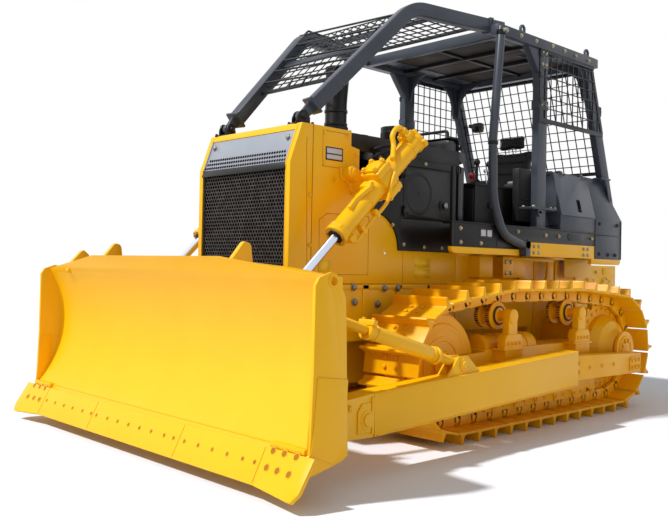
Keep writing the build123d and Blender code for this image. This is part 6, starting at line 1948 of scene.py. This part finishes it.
    def _tank(self) -> None:
        """Add the tank's bolts, filler cap, seams and rear trim."""
        skin = self.model.skin("fuel_tank")
        bolts = Shape()
        bolts.bolts_on(skin, [(1.3, 1.826, 1.548), (1.3, 2.01, 1.544), (1.3, 2.164, 1.542),
                              (1.3, 1.826, 1.86), (1.3, 2.2, 1.86)], (-1, 0, 0), 0.028)
        bolts.bolts_on(skin, [(x, 2.8, z) for x in (0.45, 0.8) for z in (1.56, 1.86)], (0, -1, 0), 0.028)
        bolts.mirrored().finish("tank_bolts", CAST, "hull")
        shape = Shape()
        shape.turned(((0, 0.085), (0.01, 0.085), (0.014, 0.07), (0.04, 0.07), (0.046, 0.062), (0.048, 0.0)),
                     (-0.55, 1.88, 2.338), (0, 0, 1), 40)
        for k in range(10):
            turn = Matrix.Translation((-0.55, 1.88, 0)) @ Matrix.Rotation(math.radians(36 * k), 4, "Z")
            shape.block((0.066, -0.006, 2.352), (0.076, 0.006, 2.376), 0.002, turn)
        shape.tube([(-0.928, 2.297, 1.909), (0.928, 2.297, 1.909)], 0.006, 0.01)
        for side in (-1, 1):
            inner, outer = side * 0.927, side * 0.934
            shape.prism(((1.74, 1.5), (1.74, 1.905), (1.752, 1.905), (1.752, 1.5)), Axis.X, inner, outer,
                        0.002)
            shape.prism(((2.285, 1.5), (2.285, 1.905), (2.297, 1.905), (2.297, 1.5)), Axis.X, inner, outer,
                        0.002)
            shape.block((inner, 1.745, 1.738), (outer, 2.295, 1.752), 0.002)
        shape.block((-0.62, 2.296, 1.62), (0.62, 2.304, 1.8), 0.004)
        shape.finish("tank_trim", BLACK, "hull")


@dataclass
class StationDress:
    """Dash, consoles, levers, pedals and bars round the seat."""

    def build(self) -> None:
        """Dress the dash, the consoles and the floor."""
        self._dash()
        self._consoles()
        self._floor()

    def _dash(self) -> None:
        """Add the dash's panel, gauges and grab rail, and its rounded cowl."""
        shape = Shape()
        shape.prism(((-0.05, 2.566), (0.06, 2.566), (0.088, 2.52), (0.088, 2.3), (0.08, 2.29),
                     (0.08, 2.575), (-0.05, 2.575)), Axis.X, -0.452, 0.452, 0.004)
        shape.block((-0.36, 0.082, 2.33), (0.36, 0.098, 2.53), 0.008)
        shape.tube([(-0.4, -0.02, 2.568), (-0.4, -0.02, 2.64), (0.4, -0.02, 2.64), (0.4, -0.02, 2.568)],
                   0.014, 0.05)
        shape.block((0.56, 0.791, 1.838), (0.64, 1.07, 2.361), 0.012)
        shape.block((0.556, 0.82, 2.05), (0.646, 1.04, 2.066), 0.004)
        shape.finish("dash_panels", PLASTIC, "hull")
        rims, faces = Shape(), Shape()
        for k in range(5):
            x = -0.28 + 0.14 * k
            rims.turned(((0, 0.044), (0.008, 0.044), (0.01, 0.038), (0.004, 0.036)), (x, 0.096, 2.44),
                        (0, 1, 0), 32)
            faces.turned(((0, 0.036), (0.003, 0.035), (0.0035, 0.0)), (x, 0.096, 2.44), (0, 1, 0), 28)
            rims.turned(((0, 0.012), (0.012, 0.012), (0.014, 0.008), (0.014, 0.0)), (x, 0.096, 2.365),
                        (0, 1, 0), 16)
        rims.finish("gauge_rims", CHROME, "hull")
        faces.finish("gauge_faces", PLATE, "hull")
        cowl = Shape()
        cowl.block((-0.45, -0.054, 1.762), (0.45, 0.085, 2.57), 0.055)
        for side in (-1, 1):
            cowl.turned(((0, 0.03), (0.01, 0.052), (0.07, 0.058), (0.11, 0.05), (0.116, 0.0)),
                        (side * 0.44, 0.012, 2.38), (side, 0, 0), 36)
            cowl.block((side * 0.5 - 0.045, -0.03, 1.765), (side * 0.5 + 0.045, 0.06, 2.3), 0.02)
        cowl.finish("dash_cowl_rounded", GLOSSY, "hull", "dash_cowl")

    def _consoles(self) -> None:
        """Add the consoles' tops, armrests, levers' boots and grips."""
        tops = Shape()
        for side in (-1, 1):
            low, high = sorted((side * 0.292, side * 0.528))
            tops.block((low, 0.242, 2.15), (high, 1.506, 2.18), 0.012)
            tops.block((low + 0.02, 0.238, 1.8), (high - 0.02, 0.252, 2.12), 0.006)
            tops.block((low + 0.03, 0.98, 2.178), (high - 0.03, 1.4, 2.235), 0.022)
            for y in (0.42, 0.62 if side > 0 else 0.56):
                tops.turned(((0, 0.052), (0.01, 0.05), (0.018, 0.036), (0.026, 0.04), (0.034, 0.028),
                             (0.042, 0.032), (0.052, 0.018)), (side * 0.41, y, 2.178), (0, 0, 1), 28)
            for k in range(4):
                tops.block((side * 0.41 - 0.03, 0.72 + 0.055 * k, 2.178),
                           (side * 0.41 + 0.03, 0.755 + 0.055 * k, 2.19), 0.004)
        tops.finish("console_tops", PLASTIC, "hull")
        red = Shape()
        red.turned(((0, 0.012), (0.008, 0.016), (0.022, 0.026), (0.038, 0.027), (0.052, 0.02),
                    (0.058, 0.0)), (0.36, 0.402, 2.236), (0, 0, 1), 32)
        red.rod((0.36, 0.402, 2.178), (0.36, 0.402, 2.24), 0.01, 14)
        red.finish("red_lever_knob", RED, "hull")
        silver = Shape()
        for x, y in ((0.47, 0.5), (0.47, 0.56), (0.345, 0.52)):
            silver.rod((x, y, 2.178), (x, y - 0.03, 2.3), 0.007, 14)
            silver.turned(((0, 0.01), (0.008, 0.016), (0.024, 0.017), (0.034, 0.0)), (x, y - 0.03, 2.296),
                          (0, 0, 1), 20)
        silver.finish("silver_levers", CHROME, "hull")
        pads = Shape()
        for side in (-1, 1):
            pads.block((side * 0.41 - 0.055, 1.0, 2.228), (side * 0.41 + 0.055, 1.38, 2.262), 0.016)
        pads.finish("armrest_pads", PAD, "hull")

    def _floor(self) -> None:
        """Add the tread pattern, pedals and seat springs."""
        tread = Shape()
        for row in range(14):
            for column in range(8):
                x = -0.245 + 0.07 * column
                y = 0.12 + 0.062 * row
                angle = math.radians(45 if (row + column) % 2 else -45)
                turn = Matrix.Translation((x, y, 1.762)) @ Matrix.Rotation(angle, 4, "Z")
                tread.block((-0.018, -0.004, -0.001), (0.018, 0.004, 0.0025), 0.001, turn)
        for x in (-0.16, 0.0, 0.16):
            tread.block((x - 0.045, 0.15, 1.86), (x + 0.045, 0.172, 1.97), 0.006)
            tread.rod((x, 0.165, 1.762), (x, 0.165, 1.9), 0.012, 14)
        tread.finish("floor_tread_and_pedals", BLACK, "hull")
        seat = Shape()
        for side in (-1, 1):
            seat.tube([(side * 0.235, 1.1, 2.078), (side * 0.262, 1.1, 2.078), (side * 0.262, 1.48, 2.085),
                       (side * 0.235, 1.54, 2.14), (side * 0.16, 1.575, 2.36), (side * 0.05, 1.6, 2.6)],
                      0.011, 0.05)
            seat.block((side * 0.19 - 0.022, 1.1, 1.8), (side * 0.19 + 0.022, 1.47, 1.84), 0.006)
        for z in (1.85, 1.885, 1.92, 1.955, 1.99, 2.025):
            seat.block((-0.236, 1.078, z), (0.236, 1.502, z + 0.014), 0.006)
        seat.finish("seat_frame", BLACK, "hull")


@dataclass
class SeatDress:
    """The seat's stuffed cushion, back and headrest.

    Attributes:
        cushion: lowest and highest corner of the cushion.
        back: lowest and highest corner of the backrest before it is leaned.
        headrest: lowest and highest corner of the headrest.
        limit: how far stuffing may push the cover out.
    """

    cushion: tuple[Point, Point] = ((-0.242, 1.032, 2.094), (0.242, 1.487, 2.186))
    back: tuple[Point, Point] = ((-0.238, 1.545, 2.15), (0.238, 1.625, 2.665))
    headrest: tuple[Point, Point] = ((-0.15, 1.575, 2.69), (0.15, 1.645, 2.815))
    limit: float = 0.022

    def build(self) -> None:
        """Stuff and stitch the three pads."""
        self._pad("seat_cushion_pad", self.cushion, ("seat_cushion",), 0.0, Axis.Z)
        self._pad("seat_back_pad", self.back, ("seat_back",), 0.068, Axis.Y)
        self._pad("headrest_pad", self.headrest, ("seat_back",), 0.0, Axis.Y)
        posts = Shape()
        for x in (-0.045, 0.045):
            posts.rod((x, 1.608, 2.65), (x, 1.608, 2.73), 0.008, 16)
        posts.finish("headrest_posts", CHROME, "hull")

    def _start(self, corners: tuple[Point, Point]) -> bpy.types.Object:
        """Make the closed, evenly meshed form that is stuffed."""
        low, high = corners
        part = bmesh.new()
        bmesh.ops.create_cube(part, size=1)
        for v in part.verts:
            v.co = Vector([lo + (c + 0.5) * (hi - lo) for lo, hi, c in zip(low, high, v.co)])
        bmesh.ops.bevel(part, geom=list(part.edges), offset=0.022, offset_type="OFFSET", segments=3,
                        profile=0.5, affect="EDGES", clamp_overlap=True)
        mesh = bpy.data.meshes.new("pad_form")
        part.to_mesh(mesh)
        part.free()
        pad = bpy.data.objects.new("pad_form", mesh)
        bpy.context.scene.collection.objects.link(pad)
        remesh = pad.modifiers.new("even", "REMESH")
        remesh.mode = "VOXEL"
        remesh.voxel_size = 0.006
        self._apply(pad)
        return pad

    def _apply(self, pad: bpy.types.Object) -> None:
        """Turn the pad's modifiers into its mesh."""
        seen = pad.evaluated_get(bpy.context.evaluated_depsgraph_get())
        mesh = bpy.data.meshes.new_from_object(seen)
        pad.modifiers.clear()
        pad.data = mesh

    def _inflate(self, pad: bpy.types.Object) -> None:
        """Let pressure crown the pad, with a limit on how far a point moves."""
        before = [v.co.copy() for v in pad.data.vertices]
        cloth = pad.modifiers.new("stuffing", "CLOTH")
        cloth.settings.use_pressure = True
        cloth.settings.uniform_pressure_force = 4
        cloth.settings.effector_weights.gravity = 0
        cloth.settings.quality = 5
        scene = bpy.context.scene
        for step in range(1, 21):
            scene.frame_set(step)
        self._apply(pad)
        scene.frame_set(1)
        for v, first in zip(pad.data.vertices, before):
            shift = v.co - first
            if shift.length > self.limit:
                v.co = first + shift.normalized() * self.limit

    def _pad(self, name: str, corners: tuple[Point, Point], nodes: tuple[str, ...], lean: float,
             thick: Axis) -> None:
        """Make one pad with its sewn channels and piping.

        Args:
            name: the piece's name.
            corners: its lowest and highest corner.
            nodes: the CAD nodes that it stands for.
            lean: how far its top leans back.
            thick: the axis through the pad.
        """
        pad = self._start(corners)
        self._inflate(pad)
        low, high = Vector(corners[0]), Vector(corners[1])
        middle, size = (low + high) / 2, high - low
        flat = Axis.Y if thick is Axis.Z else Axis.Z
        face = 1 if thick is Axis.Z else -1
        channels = 1 if name.startswith("headrest") else 3
        for v in pad.data.vertices:
            along = (v.co[flat.value] - middle[flat.value]) / size[flat.value]
            across = (v.co.x - middle.x) / size.x
            front = face * (v.co[thick.value] - middle[thick.value]) / size[thick.value] > 0.15
            if front:
                press = 0.0
                for k in range(channels):
                    seam = (k - (channels - 1) / 2) * 0.25
                    press += 0.009 * math.exp(-((along - seam) * size[flat.value] / 0.008) ** 2)
                border = max(abs(across) / 0.4, abs(along) / 0.43)
                press += 0.008 * math.exp(-((border - 1) * size.x * 0.4 / 0.008) ** 2)
                press *= 1.0 if border < 1.04 else math.exp(-(border - 1.04) * 20)
                v.co[thick.value] -= face * press
            v.co.x -= 0.008 * (across * 2) * (1 - (2 * along) ** 2) * (abs(across) > 0.35)
            v.co.y += lean * (v.co.z - low.z) / size.z
        pad.data.update()
        pad.name = name
        pad.data.polygons.foreach_set("use_smooth", [True] * len(pad.data.polygons))
        pad.data.materials.clear()
        pad.data.materials.append(VINYL.material())
        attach(pad, "hull")
        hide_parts(*nodes)
        log.info("%s: %d faces", name, len(pad.data.polygons))
        self._piping(name + "_piping", corners, lean, thick)

    def _piping(self, name: str, corners: tuple[Point, Point], lean: float, thick: Axis) -> None:
        """Sew a round cord of vinyl along a pad's edge.

        Args:
            name: the piece's name.
            corners: the pad's lowest and highest corner.
            lean: how far its top leans back.
            thick: the axis through the pad.
        """
        low, high = corners
        shape = Shape()
        if thick is Axis.Z:
            z = (low[2] + high[2]) / 2 + 0.012
            spots = [(low[0] - 0.004, low[1] - 0.004, z), (high[0] + 0.004, low[1] - 0.004, z),
                     (high[0] + 0.004, high[1] + 0.004, z), (low[0] - 0.004, high[1] + 0.004, z)]
        else:
            y = (low[1] + high[1]) / 2 - 0.012
            spots = [(low[0] - 0.004, y, low[2] - 0.004), (high[0] + 0.004, y, low[2] - 0.004),
                     (high[0] + 0.004, y + lean, high[2] + 0.004),
                     (low[0] - 0.004, y + lean, high[2] + 0.004)]
        middle = tuple((a + b) / 2 for a, b in zip(spots[0], spots[1]))
        shape.tube([middle, spots[1], spots[2], spots[3], spots[0], middle], 0.004, 0.035)
        shape.finish(name, VINYL, "hull")


# Canopy and winch


@dataclass
class CanopyDress:
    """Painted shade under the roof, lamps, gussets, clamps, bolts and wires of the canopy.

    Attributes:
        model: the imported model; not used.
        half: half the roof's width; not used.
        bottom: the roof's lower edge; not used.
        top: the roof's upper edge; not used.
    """

    model: Model
    half: float = 0.9
    bottom: float = 3.47
    top: float = 3.56

    def build(self) -> None:
        """Dress the roof, the posts, the risers and the screens."""
        self._roof()
        self._posts()
        self._risers()
        self._wires()
        self._bolts()

    def _roof(self) -> None:
        """Add the ceiling in dark brown and its cross members in black, painted as the shade under the roof
        with warm light thrown up into the ceiling, and the roof's top plates.
        """
        # Dark brown panels: painted shade under the roof, with warm light thrown up into it.
        underside_shade = Shape()
        for y0, y1 in ((0.215, 0.7), (0.74, 1.2), (1.24, 1.7)):
            for x0, x1 in ((-0.8, -0.02), (0.02, 0.8)):
                underside_shade.block((x0, y0, 3.528), (x1, y1, 3.546), 0.01)
        underside_shade.finish("ceiling_panels", UNDERSIDE_SHADE, "hull")
        beams = Shape()
        for side in (-1, 1):
            beams.block((side * 0.81, 0.205, 3.52), (side * 0.6, 1.7, 3.53), 0.003)
        # Black cross members: painted shade under the roof.
        shaded_rafters = Shape()
        for y in (0.72, 1.22):
            shaded_rafters.block((-0.81, y - 0.022, 3.496), (0.81, y + 0.022, 3.55), 0.006)
        shaded_rafters.block((-0.022, 0.21, 3.508), (0.022, 1.7, 3.55), 0.006)
        shaded_rafters.finish("roof_rafters", BLACK, "hull")
        for x in (-0.6, -0.2, 0.2, 0.6):
            beams.block((x - 0.03, 0.25, 3.556), (x + 0.03, 1.7, 3.566), 0.004)
        beams.tube([(-0.885, 0.14, 3.562), (-0.885, 1.79, 3.562), (0.885, 1.79, 3.562),
                    (0.885, 0.14, 3.562)], 0.006, 0.02)
        for side in (-1, 1):
            beams.prism(((1.44, 3.472), (1.44, 3.455), (1.5, 3.425), (1.56, 3.36), (1.6, 3.26),
                         (1.625, 3.12), (1.66, 3.12), (1.66, 3.472)), Axis.X, side * 0.843 - 0.012,
                        side * 0.843 + 0.012, 0.003)
            beams.prism(((side * 0.8, 3.12), (side * 0.775, 3.26), (side * 0.735, 3.36),
                         (side * 0.67, 3.425), (side * 0.6, 3.455), (side * 0.52, 3.47),
                         (side * 0.81, 3.47)), Axis.Y, 1.655, 1.679, 0.003)
            beams.prism(((side * 0.8, 3.2), (side * 0.765, 3.32), (side * 0.7, 3.41), (side * 0.62, 3.455),
                         (side * 0.56, 3.47), (side * 0.81, 3.47)), Axis.Y, 0.805, 0.829, 0.003)
        beams.finish("roof_beams_and_gussets", CANOPY, "hull")

    def _posts(self) -> None:
        """Add the posts' foot flanges, lugs, doublers and the lamps."""
        shape = Shape()
        for z in (1.766, 2.9):
            shape.block((0.8, 0.734, z), (0.886, 0.9, z + (0.016 if z < 2 else 0.09)), 0.004)
        shape.block((0.878, 0.73, 1.902), (0.902, 0.8, 1.948), 0.005)
        shape.turned(((0, 0.03), (0.02, 0.03)), (0.882, 0.765, 1.905), (1, 0, 0), 24, 0.003)
        shape.prism(((0.745, 3.465), (0.745, 3.3), (0.755, 3.29), (0.88, 3.29), (0.89, 3.3), (0.89, 3.465)),
                    Axis.X, 0.878, 0.886, 0.003)
        shape.prism(((0.892, 3.466), (0.892, 3.34), (0.935, 3.4), (1.01, 3.44), (1.06, 3.466)), Axis.X,
                    0.833, 0.853, 0.003)
        shape.prism(((2.06, 2.26), (2.095, 2.26), (2.135, 2.115), (2.205, 1.95), (2.165, 1.95)), Axis.X,
                    0.872, 0.884, 0.003)
        shape.block((0.795, 1.915, 2.33), (0.895, 2.12, 2.352), 0.006)
        shape.mirrored().finish("post_flanges", CANOPY, "hull")
        lamps, glass = Shape(), Shape()
        y, z = 2.0, 3.06
        for x in (-0.76, 0.76):
            lamps.block((x - 0.062, y - 0.04, z - 0.055), (x + 0.062, y + 0.04, z + 0.055), 0.014)
            lamps.turned(((0, 0.052), (0.01, 0.054), (0.014, 0.05), (0.006, 0.044)), (x, y + 0.038, z),
                         (0, 1, 0), 32)
            lamps.block((x - 0.02, 1.84, z - 0.02), (x + 0.02, y - 0.03, z + 0.02), 0.004)
            glass.turned(((0, 0.045), (0.006, 0.043), (0.01, 0.03), (0.012, 0.0)), (x, y + 0.042, z),
                         (0, 1, 0), 32)
        lamps.finish("lamp_bodies", PLASTIC, "hull")
        glass.finish("lamp_lenses", GLASS, "hull")

    def _riser_outline(self) -> list[Flat]:
        """Give a riser's side outline as (distance behind its foot, height)."""
        half, radius, low, level, end = 0.0575, 0.33, (0.15, 2.602), 3.529, 2.118
        slope = math.atan2(1.004, 1.013)
        reach = radius * math.tan(slope / 2)
        bend = low[0] + (level - low[1]) / math.tan(slope)
        middle = (bend + reach, level - radius)
        turns = [math.pi / 2 + slope * (1 - k / 10) for k in range(11)]
        across = (-math.sin(slope) * half, math.cos(slope) * half)
        upper = [(low[0] + across[0], low[1] + across[1])]
        upper += [(middle[0] + (radius + half) * math.cos(t), middle[1] + (radius + half) * math.sin(t))
                  for t in turns]
        lower = [(middle[0] + (radius - half) * math.cos(t), middle[1] + (radius - half) * math.sin(t))
                 for t in reversed(turns)]
        foot = (low[0] - across[0], low[1] - across[1])
        return upper + [(end, level + half), (end, level - half)] + lower + [foot]

    def _risers(self) -> None:
        """Add the risers with their clevis feet, pins, end plates and clamps."""
        foot = Matrix.Translation((0.462, -1.934, 0)) @ Matrix.Rotation(-math.atan(0.19), 4, "Z")
        beam = Shape()
        beam.prism(self._riser_outline(), Axis.X, -0.05, 0.05, 0.012, foot)
        slope = Matrix.Translation((0, 0.15, 2.602)) @ Matrix.Rotation(math.atan2(1.004, 1.013), 4, "X")
        beam.block((-0.064, -0.016, -0.074), (0.064, 0.004, 0.074), 0.004, foot @ slope)
        beam.prism(((-0.15, -0.03), (-0.15, 0.03), (-0.01, 0.05), (-0.01, -0.05)), Axis.X, -0.016, 0.016,
                   0.004, foot @ slope)
        beam.turned(((0, 0.044), (0.032, 0.044)), foot @ Vector((-0.016, 0.045, 2.5)),
                    foot.to_3x3() @ Vector((1, 0, 0)), 28, 0.004)
        beam.block((-0.058, 1.93, -0.066), (0.058, 1.945, 0.066), 0.003,
                   foot @ Matrix.Translation((0, 0, 3.529)))
        beam.block((-0.058, 1.955, -0.066), (0.058, 1.97, 0.066), 0.003,
                   foot @ Matrix.Translation((0, 0, 3.529)))
        beam.mirrored()
        for y, z, wide, deep in ((-1.2, 3.182, 0.075, 0.008), (-0.6, 3.506, 0.05, 0.007)):
            half = 0.462 + 0.19 * (y + 1.934) - 0.045
            angle = math.atan(1.009) if y < -0.9 else 0.0
            turn = Matrix.Translation((0, y, z)) @ Matrix.Rotation(angle, 4, "X")
            beam.block((-half, -wide / 2, -deep), (half, wide / 2, deep), 0.003, turn)
        beam.finish("limb_riser_beams", CANOPY, "hull", "limb_risers")
        bars = Shape()
        for k in range(5):
            y = -1.47 + 0.125 * k + (0.06 if k > 2 else 0)
            z = 3.5 - (-0.88 - y) * 1.009 + 0.012
            half = 0.462 + 0.19 * (y + 1.934) + 0.035
            bars.rod((-half, y, z + 0.062), (half - 0.08, y, z + 0.01), 0.009, 12)
        bars.tube([(-0.52, -1.5, 2.95), (-0.63, -0.93, 3.52), (-0.66, -0.75, 3.598), (-0.8, -0.1, 3.6)],
                  0.01)
        bars.finish("riser_screen_bars", WIRE, "hull")
        shape = Shape()
        for x in (-0.046, 0.03):
            shape.prism(((-0.012, 2.437), (-0.012, 2.49), (0.006, 2.532), (0.03, 2.548), (0.06, 2.548),
                         (0.084, 2.532), (0.102, 2.49), (0.102, 2.437)), Axis.X, x, x + 0.016, 0.004, foot)
        shape.block((-0.068, -0.038, 2.434), (0.068, 0.128, 2.448), 0.004, foot)
        shape.turned(((0, 0.022), (0.13, 0.022)), foot @ Vector((-0.065, 0.045, 2.5)),
                     foot.to_3x3() @ Vector((1, 0, 0)), 24, 0.003)
        for x in (-0.056, 0.056):
            for y in (-0.026, 0.116):
                shape.bolt(foot @ Vector((x, y, 2.448)), (0, 0, 1), 0.02, False)
        for end in (-1, 1):
            shape.bolt(foot @ Vector((end * 0.048, 0.045, 2.5)), foot.to_3x3() @ Vector((end, 0, 0)), 0.036)
        shape.mirrored().finish("riser_feet", BLACK, "hull")
        clamps = Shape()
        clamps.turned(((0, 0.0385), (0.004, 0.046), (0.04, 0.046), (0.044, 0.0385)), (0.968, -0.014, 3.425),
                      (0, 0.05, 1), 32)
        clamps.turned(((0, 0.0385), (0.004, 0.045), (0.03, 0.045), (0.034, 0.0385)), (0.968, -0.104, 2.45),
                      (0, 0.05, 1), 32)
        clamps.turned(((0, 0.044), (0.02, 0.044)), (0.968 + 0.018, 0.415, 1.6), (1, 0, 0), 28, 0.004)
        clamps.block((0.928, -0.128, 1.895), (0.972, -0.052, 1.955), 0.006)
        clamps.mirrored().finish("brace_clamps", BLACK, "hull")
        knobs = Shape()
        knobs.turned(((0, 0.028), (0.006, 0.028), (0.01, 0.022), (0.03, 0.022), (0.036, 0.016),
                      (0.038, 0.0)), (0.968 + 0.034, -0.01, 3.458), (1, 0, 0), 28)
        knobs.mirrored().finish("brace_head_bolts", STEEL, "hull")
        handle = Shape()
        handle.tube([(-0.09, -1.512, 2.925), (-0.09, -1.545, 2.87), (-0.07, -1.56, 2.845),
                     (0.07, -1.56, 2.845), (0.09, -1.545, 2.87), (0.09, -1.512, 2.925)], 0.008, 0.02)
        handle.finish("screen_handle", BLACK, "hull")

    def _wires(self) -> None:
        """Add the side screens' lugs and the rear screen's frame."""
        shape = Shape()
        for side in (-1, 1):
            shape.block((side * 0.8875 - 0.008, 0.742, 3.44), (side * 0.8875 + 0.008, 1.735, 3.47), 0.003)
            for z in (2.95, 3.2, 3.4):
                shape.block((side * 0.884 - 0.012, 0.735, z), (side * 0.884 + 0.012, 0.785, z + 0.05),
                            0.004)
        low, high = Vector((0, 1.98, 2.4)), Vector((0, 1.675, 3.42))
        for spot in (low, high):
            shape.block((-0.8, spot.y - 0.015, spot.z - 0.018), (0.8, spot.y + 0.015, spot.z + 0.018),
                        0.004)
        shape.finish("screen_frames", WIRE, "hull")

    def _bolts(self) -> None:
        """Add the roof's, posts' and tank brackets' bolts."""
        shape = Shape()
        for y, z in ((0.933, 3.53), (1.151, 3.524), (1.359, 3.515), (1.613, 3.513), (0.4, 3.52),
                     (0.65, 3.52)):
            shape.bolt((0.9, y, z), (1, 0, 0), 0.026)
        for y, z in ((0.845, 3.442), (0.845, 3.33), (0.785, 3.442), (0.785, 3.33)):
            shape.bolt((0.886, y, z), (1, 0, 0), 0.022)
        for y, z in ((0.864, 2.914), (0.78, 2.914)):
            shape.bolt((0.886, y, z + 0.03), (1, 0, 0), 0.02)
        for y in (0.66, 0.95, 1.03):
            shape.bolt((0.892, y, 1.965), (0, 0, 1), 0.026)
        for y in (0.66, 1.03):
            shape.bolt((0.78, y, 1.965), (0, 0, 1), 0.026)
        shape.mirrored().finish("canopy_bolts", ZINC, "hull")


@dataclass
class WinchDress:
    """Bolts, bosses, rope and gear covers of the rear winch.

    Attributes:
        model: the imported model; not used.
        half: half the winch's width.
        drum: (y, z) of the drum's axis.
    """

    model: Model
    half: float = 0.45
    drum: Flat = (2.87, 1.19)

    def build(self) -> None:
        """Dress the cheeks and wind the rope on the drum."""
        shape = Shape()
        y, z = self.drum
        shape.turned(((0, 0.12), (0.01, 0.116), (0.014, 0.075), (0.006, 0.062)), (self.half, y, z),
                     (1, 0, 0), 40)
        shape.block((self.half, 2.8, 1.33), (self.half + 0.01, 3.05, 1.41), 0.008)
        shape.turned(((0, 0.22), (0.012, 0.214), (0.02, 0.19), (0.024, 0.1), (0.024, 0.0)),
                     (self.half, 2.5, 1.08), (1, 0, 0), 48)
        shape.block((self.half, 2.24, 0.78), (self.half + 0.012, 2.33, 1.38), 0.006)
        shape.mirrored().finish("winch_covers", YELLOW, "hull")
        bolts = Shape()
        for spot in ring_of((self.half + 0.01, y, z), 0.096, 8):
            bolts.bolt(spot, (1, 0, 0), 0.022, False)
        for spot in ring_of((self.half + 0.014, 2.5, 1.08), 0.2, 10):
            bolts.bolt(spot, (1, 0, 0), 0.02, False)
        for z_bolt in (0.83, 0.98, 1.13, 1.28):
            bolts.bolt((self.half + 0.012, 2.285, z_bolt), (1, 0, 0), 0.03)
        bolts.bolt((self.half, 2.645, 1.363), (1, 0, 0), 0.028)
        bolts.mirrored().finish("winch_bolts", ZINC, "hull")
        rope = Shape()
        turns, radius, thick = 27, 0.1215, 0.0125
        for layer in range(2):
            profile: list[Flat] = [(0.0, 0.118)]
            for k in range(turns):
                start = 0.001 + k * 0.0262
                r = radius + layer * 0.021
                profile += [(start, r), (start + 0.004, r + thick * 0.8), (start + 0.0131, r + thick),
                            (start + 0.022, r + thick * 0.8)]
            profile.append((turns * 0.0262 + 0.002, 0.118))
            rope.turned(profile, (-0.354, y, z), (1, 0, 0), 48)
        rope.finish("winch_rope_wound", CAST, "winch_drum")
        marks = Shape()
        for end in (-1, 1):
            for k in range(6):
                turn = math.radians(60 * k)
                marks.bolt((end * 0.404, y + 0.165 * math.cos(turn), z + 0.165 * math.sin(turn)),
                           (end, 0, 0), 0.01, False)
        marks.finish("drum_flange_bolts", DRUM, "winch_drum")


@dataclass
class HullDress:
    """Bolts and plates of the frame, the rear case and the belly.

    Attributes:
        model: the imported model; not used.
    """

    model: Model

    def build(self) -> None:
        """Dress the frame's sides, the case's rear and the belly plates."""
        shape = Shape()
        for y in (-1.72, -1.3, -0.9, -0.5):
            shape.prism(((y, 1.225), (y + 0.07, 1.225), (y + 0.07, 0.78), (y, 0.78)), Axis.X, 0.583, 0.592,
                        0.003)
        shape.block((0.583, -1.855, 0.775), (0.594, -0.11, 0.815), 0.004)
        shape.block((0.583, -1.855, 1.185), (0.592, -0.11, 1.222), 0.004)
        for y in (1.25, 1.65, 2.05):
            shape.block((0.52, y, 0.7), (0.532, y + 0.05, 1.46), 0.004)
        shape.mirrored()
        shape.block((-0.3, 2.222, 0.8), (0.3, 2.24, 1.4), 0.01)
        shape.finish("frame_ribs", YELLOW, "hull")
        bolts = Shape()
        for x in (-0.35, -0.12, 0.12, 0.35):
            for y in (-1.7, -1.15, -0.6, -0.05, 0.5, 1.05):
                bolts.bolt((x, y, 0.412), (0, 0, -1), 0.03)
        for x in (-0.25, 0.25):
            for z in (0.85, 1.1, 1.35):
                bolts.bolt((x, 2.24, z), (0, 1, 0), 0.03)
        bolts.finish("belly_and_case_bolts", STEEL, "hull")


def finish_of(name: str, slot: str) -> Finish:
    """Choose a CAD node's finish.

    Args:
        name: the node.
        slot: its material slot in the record.

    Returns:
        The finish.
    """
    if name.startswith(("track_", "idlers", "sprockets", "rollers")):
        return TRACK_YELLOW
    if name.startswith("box_lid"):
        return LID_GREY
    return SLOT_FINISH[slot]


def main() -> None:
    """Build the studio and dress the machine."""
    logging.basicConfig(level=logging.INFO, format="%(name)s: %(message)s")
    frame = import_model()
    Studio().build()
    slots = {p["node"]: p["material_slot"] for p in frame["record"]["subparts"]}
    body_of = {n: b for b, members in frame["record"]["behaviour"]["bodies"].items() for n in members}
    model = Model(frame["nodes"])
    for name, node in sorted(frame["nodes"].items()):
        if name in ("track_left", "track_right", "grille_screen", "seat_cushion", "seat_back", "dash_cowl",
                    "limb_risers"):
            continue
        finish = finish_of(name, slots[name])
        piece = softened_copy(node, 0.003)
        piece.data.materials.clear()
        piece.data.materials.append(finish.material())
        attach(piece, body_of[name])
        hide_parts(name)
        log.info("%s: %d faces", piece.name, len(piece.data.polygons))
    for part in (TrackDress(), UndercarriageDress(model), BladeDress(model), LiftCylinderDress(),
                 GrilleDress(model), HoodDress(model), HousingDress(), FenderDress(model), StationDress(),
                 SeatDress(), CanopyDress(model), WinchDress(model), HullDress(model)):
        part.build()


if __name__ == "__main__":
    main()
